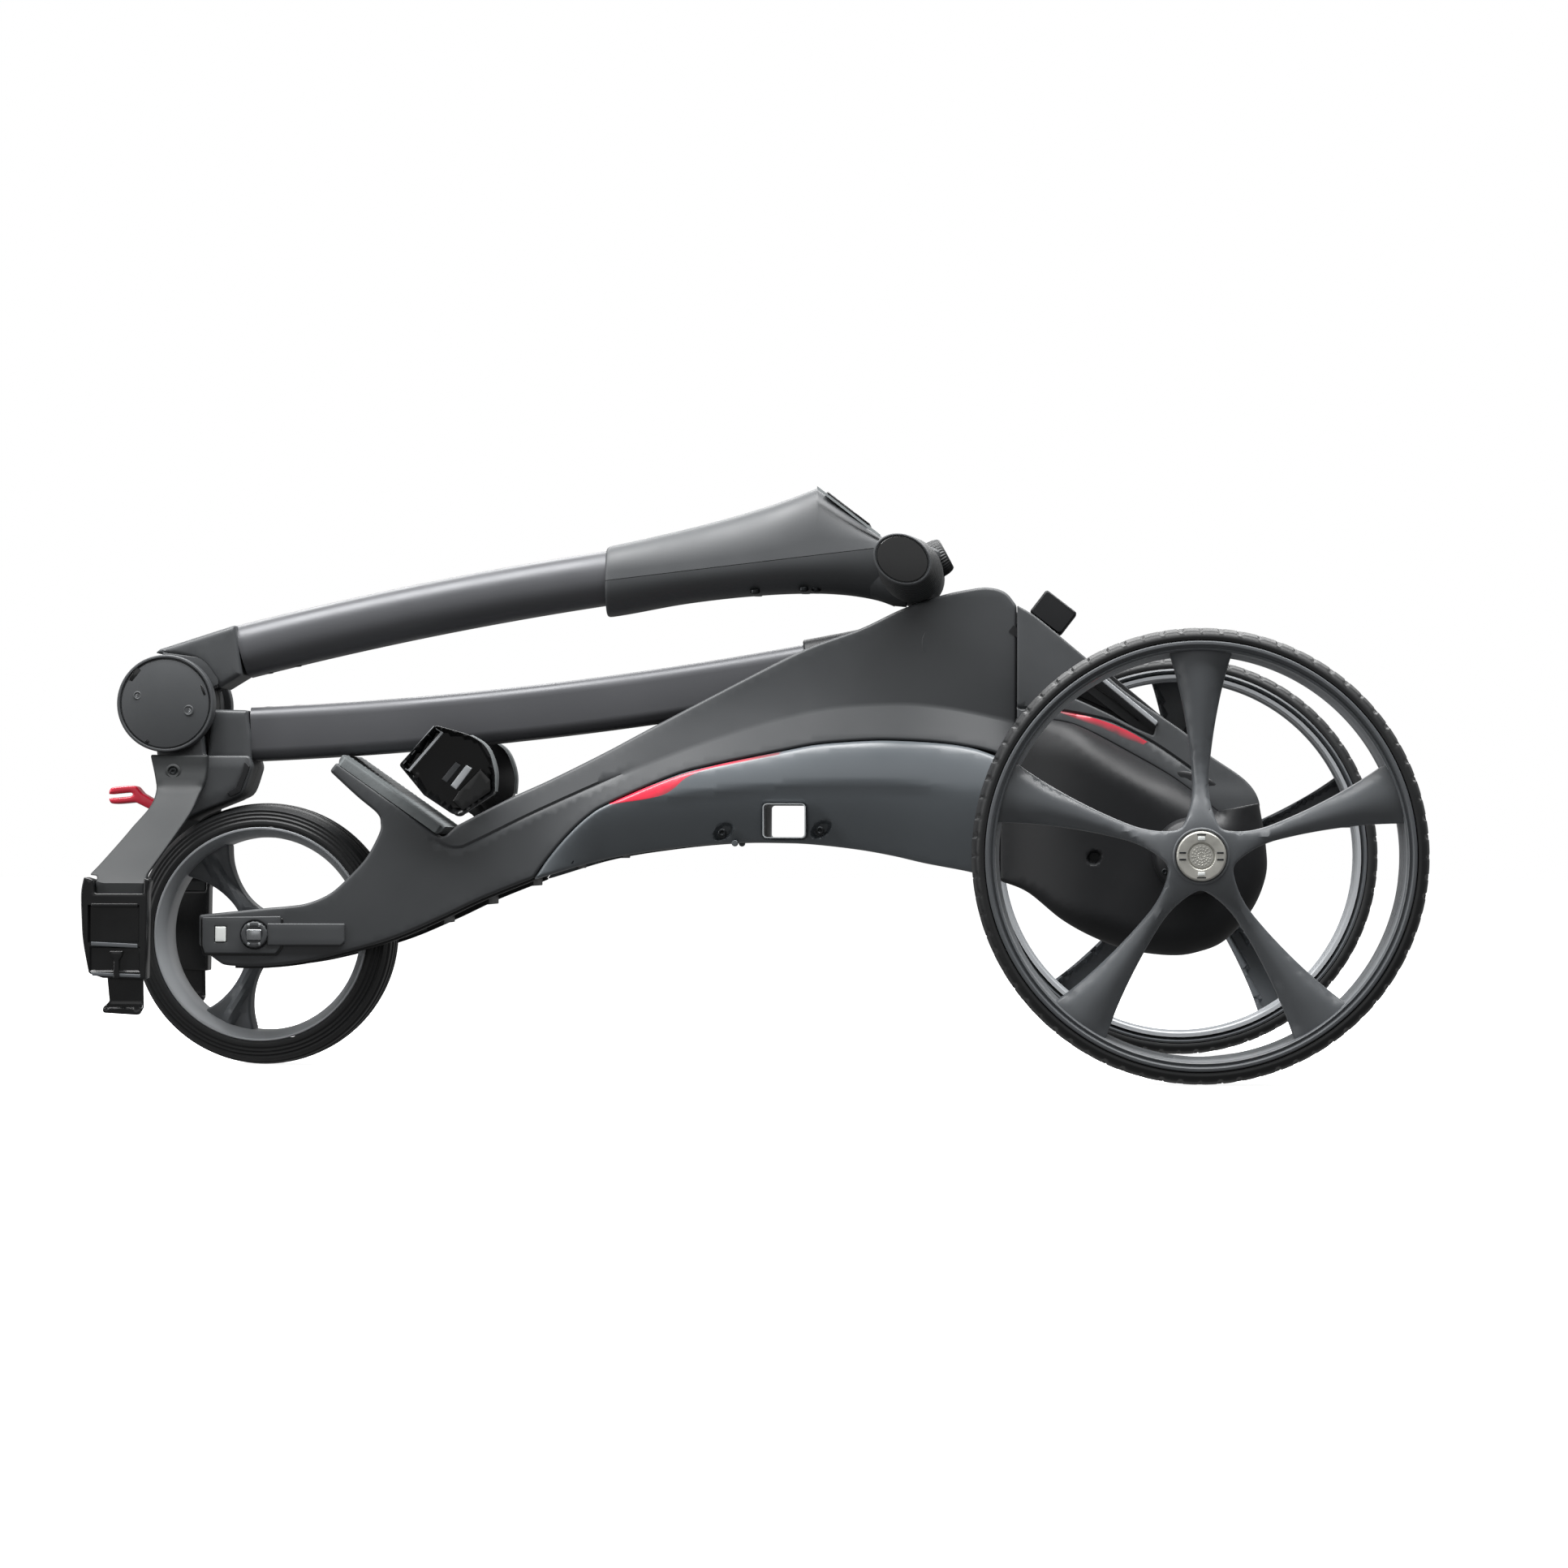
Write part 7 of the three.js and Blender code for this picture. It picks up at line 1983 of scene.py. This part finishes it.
# ------------------------------------------------------------------ stage
class TROLLEY_OT_stage(bpy.types.Operator):
    """Pale floor and backdrop, soft studio lights and the camera"""
    bl_idname = "trolley.stage"
    bl_label = "Stage"

    def execute(self, context):
        self.floor()
        self.lights()
        self.camera()
        context.scene.view_settings.view_transform = "Standard"
        return {"FINISHED"}

    def floor(self):
        """Pale paper lit from below like a light table, and a white backdrop behind it all."""
        paper = bpy.data.materials.new("paper_pale")
        paper.use_nodes = True
        tree = paper.node_tree
        shader = shader_of(paper)
        mottle = add_node(tree, "ShaderNodeTexNoise", {"Scale": 3.0, "Detail": 3.0})
        tone = add_node(tree, "ShaderNodeMapRange",
                        {"Value": mottle.outputs["Fac"], "To Min": 0.93, "To Max": 0.95}
                        ).outputs["Result"]
        shade = add_node(tree, "ShaderNodeCombineColor",
                         {"Red": tone, "Green": tone, "Blue": tone})
        tree.links.new(shade.outputs["Color"], shader.inputs["Base Color"])
        shader.inputs["Roughness"].default_value = 0.9
        shader.inputs["Specular IOR Level"].default_value = 0.1
        shader.inputs["Emission Color"].default_value = (1, 1, 1, 1)
        shader.inputs["Emission Strength"].default_value = 0.93
        mesh = bpy.data.meshes.new("floor")
        half, z = 30.0, -0.0003
        mesh.from_pydata([(-half, -half, z), (half, -half, z), (half, half, z),
                          (-half, half, z)], [], [(0, 1, 2, 3)])
        floor = self.staged("floor", mesh, paper)
        floor.visible_diffuse = False
        floor.visible_glossy = False

        scene = bpy.context.scene
        scene.world = scene.world or bpy.data.worlds.new("studio")
        scene.world.use_nodes = True
        sky = scene.world.node_tree.nodes["Background"]
        sky.inputs["Color"].default_value = (1, 1, 1, 1)
        sky.inputs["Strength"].default_value = 0.24

        glow = bpy.data.materials.new("backdrop_lit")
        glow.use_nodes = True
        nodes = glow.node_tree
        nodes.nodes.clear()
        out = add_node(nodes, "ShaderNodeOutputMaterial")
        light = add_node(nodes, "ShaderNodeEmission", {"Color": (1, 1, 1, 1), "Strength": 1.0})
        nodes.links.new(light.outputs["Emission"], out.inputs["Surface"])
        shell = bpy.data.meshes.new("backdrop")
        work = bmesh.new()
        bmesh.ops.create_icosphere(work, subdivisions=4, radius=25.0)
        work.to_mesh(shell)
        work.free()
        backdrop = self.staged("backdrop", shell, glow)
        for flag in ("visible_diffuse", "visible_glossy", "visible_transmission",
                     "visible_shadow", "visible_volume_scatter"):
            setattr(backdrop, flag, False)

    def staged(self, name, mesh, material):
        """A piece of the studio, which isn't part of the trolley."""
        mesh.materials.append(material)
        made = bpy.data.objects.new(name, mesh)
        bpy.context.scene.collection.objects.link(made)
        return made

    def lights(self):
        """Softboxes above and behind, a strip on the left and a weak fill at the front."""
        for name, where, aim, size, size_y, watts in (
                ("overhead_softbox", (-0.05, -0.45, 1.75), (0, 0, 0.15), 2.8, 0.8, 120),
                ("back_softbox", (0.1, 1.5, 1.6), (0, 0, 0.2), 2.6, 0.9, 45),
                ("left_strip", (-2.7, -1.3, 0.75), (0, 0, 0.18), 0.5, 1.8, 34),
                ("front_fill", (-0.4, -3.0, 0.9), (0, 0, 0.15), 1.8, 1.2, 5)):
            data = bpy.data.lights.new(name, "AREA")
            data.shape = "RECTANGLE"
            data.size, data.size_y, data.energy = size, size_y, watts
            lamp = bpy.data.objects.new(name, data)
            bpy.context.scene.collection.objects.link(lamp)
            lamp.location = where
            lamp.rotation_mode = "QUATERNION"
            lamp.rotation_quaternion = (Vector(aim) - Vector(where)).to_track_quat("-Z", "Y")

    def camera(self):
        """A long lens straight from the left side, level with the body."""
        data = bpy.data.cameras.new("camera")
        data.sensor_width, data.lens = 36.0, 122.53
        camera = bpy.data.objects.new("camera", data)
        bpy.context.scene.collection.objects.link(camera)
        yaw, pitch, roll = 0.0473653, 0.0127139, 0.0026927
        ahead = Vector((-math.sin(yaw) * math.cos(pitch), math.cos(yaw) * math.cos(pitch),
                        math.sin(pitch)))
        right = Vector((math.cos(yaw), math.sin(yaw), 0))
        up = right.cross(ahead)
        c, s = math.cos(roll), math.sin(roll)
        right, up = c * right + s * up, -s * right + c * up
        turn = Matrix((right, up, -ahead)).transposed()
        distance, ahead_of_axle, above_axle = 3.601072, 0.101676, 0.002004
        camera.matrix_world = Matrix.Translation(
            (AXLE_X / 1000 - ahead_of_axle, -distance, REAR[1] / 1000 + above_axle)
        ) @ turn.to_4x4()
        data.clip_start, data.clip_end = 0.05, 200
        bpy.context.scene.camera = camera


class TROLLEY_PT_panel(bpy.types.Panel):
    """Lists the trolley's pieces"""
    bl_idname = "TROLLEY_PT_panel"
    bl_label = "Golf Trolley"
    bl_space_type = "VIEW_3D"
    bl_region_type = "UI"
    bl_category = "Trolley"

    def draw(self, context):
        column = self.layout.column()
        for operator in BUILD_ORDER:
            column.operator(operator.bl_idname)
        for group in (context.scene.trolley_colours, context.scene.trolley_sizes):
            for name in group.__annotations__:
                column.prop(group, name)


BUILD_ORDER = (
    TROLLEY_OT_stage,
    TROLLEY_OT_side_frames,
    TROLLEY_OT_belly_shells,
    TROLLEY_OT_rear_covers,
    TROLLEY_OT_battery_seat,
    TROLLEY_OT_motor_housing,
    TROLLEY_OT_rear_wheels,
    TROLLEY_OT_front_wheel,
    TROLLEY_OT_lower_support,
    TROLLEY_OT_upper_support,
    TROLLEY_OT_lower_shaft,
    TROLLEY_OT_upper_shaft,
    TROLLEY_OT_handle,
)
CLASSES = (TrolleyColours, TrolleySizes, *BUILD_ORDER, TROLLEY_PT_panel)


def register():
    for c in CLASSES:
        bpy.utils.register_class(c)
    bpy.types.Scene.trolley_colours = bpy.props.PointerProperty(type=TrolleyColours)
    bpy.types.Scene.trolley_sizes = bpy.props.PointerProperty(type=TrolleySizes)


def unregister():
    del bpy.types.Scene.trolley_sizes
    del bpy.types.Scene.trolley_colours
    for c in reversed(CLASSES):
        bpy.utils.unregister_class(c)


def main():
    register()
    make_materials()
    for operator in BUILD_ORDER:
        group, name = operator.bl_idname.split(".")
        getattr(getattr(bpy.ops, group), name)()


if __name__ == "__main__":
    main()
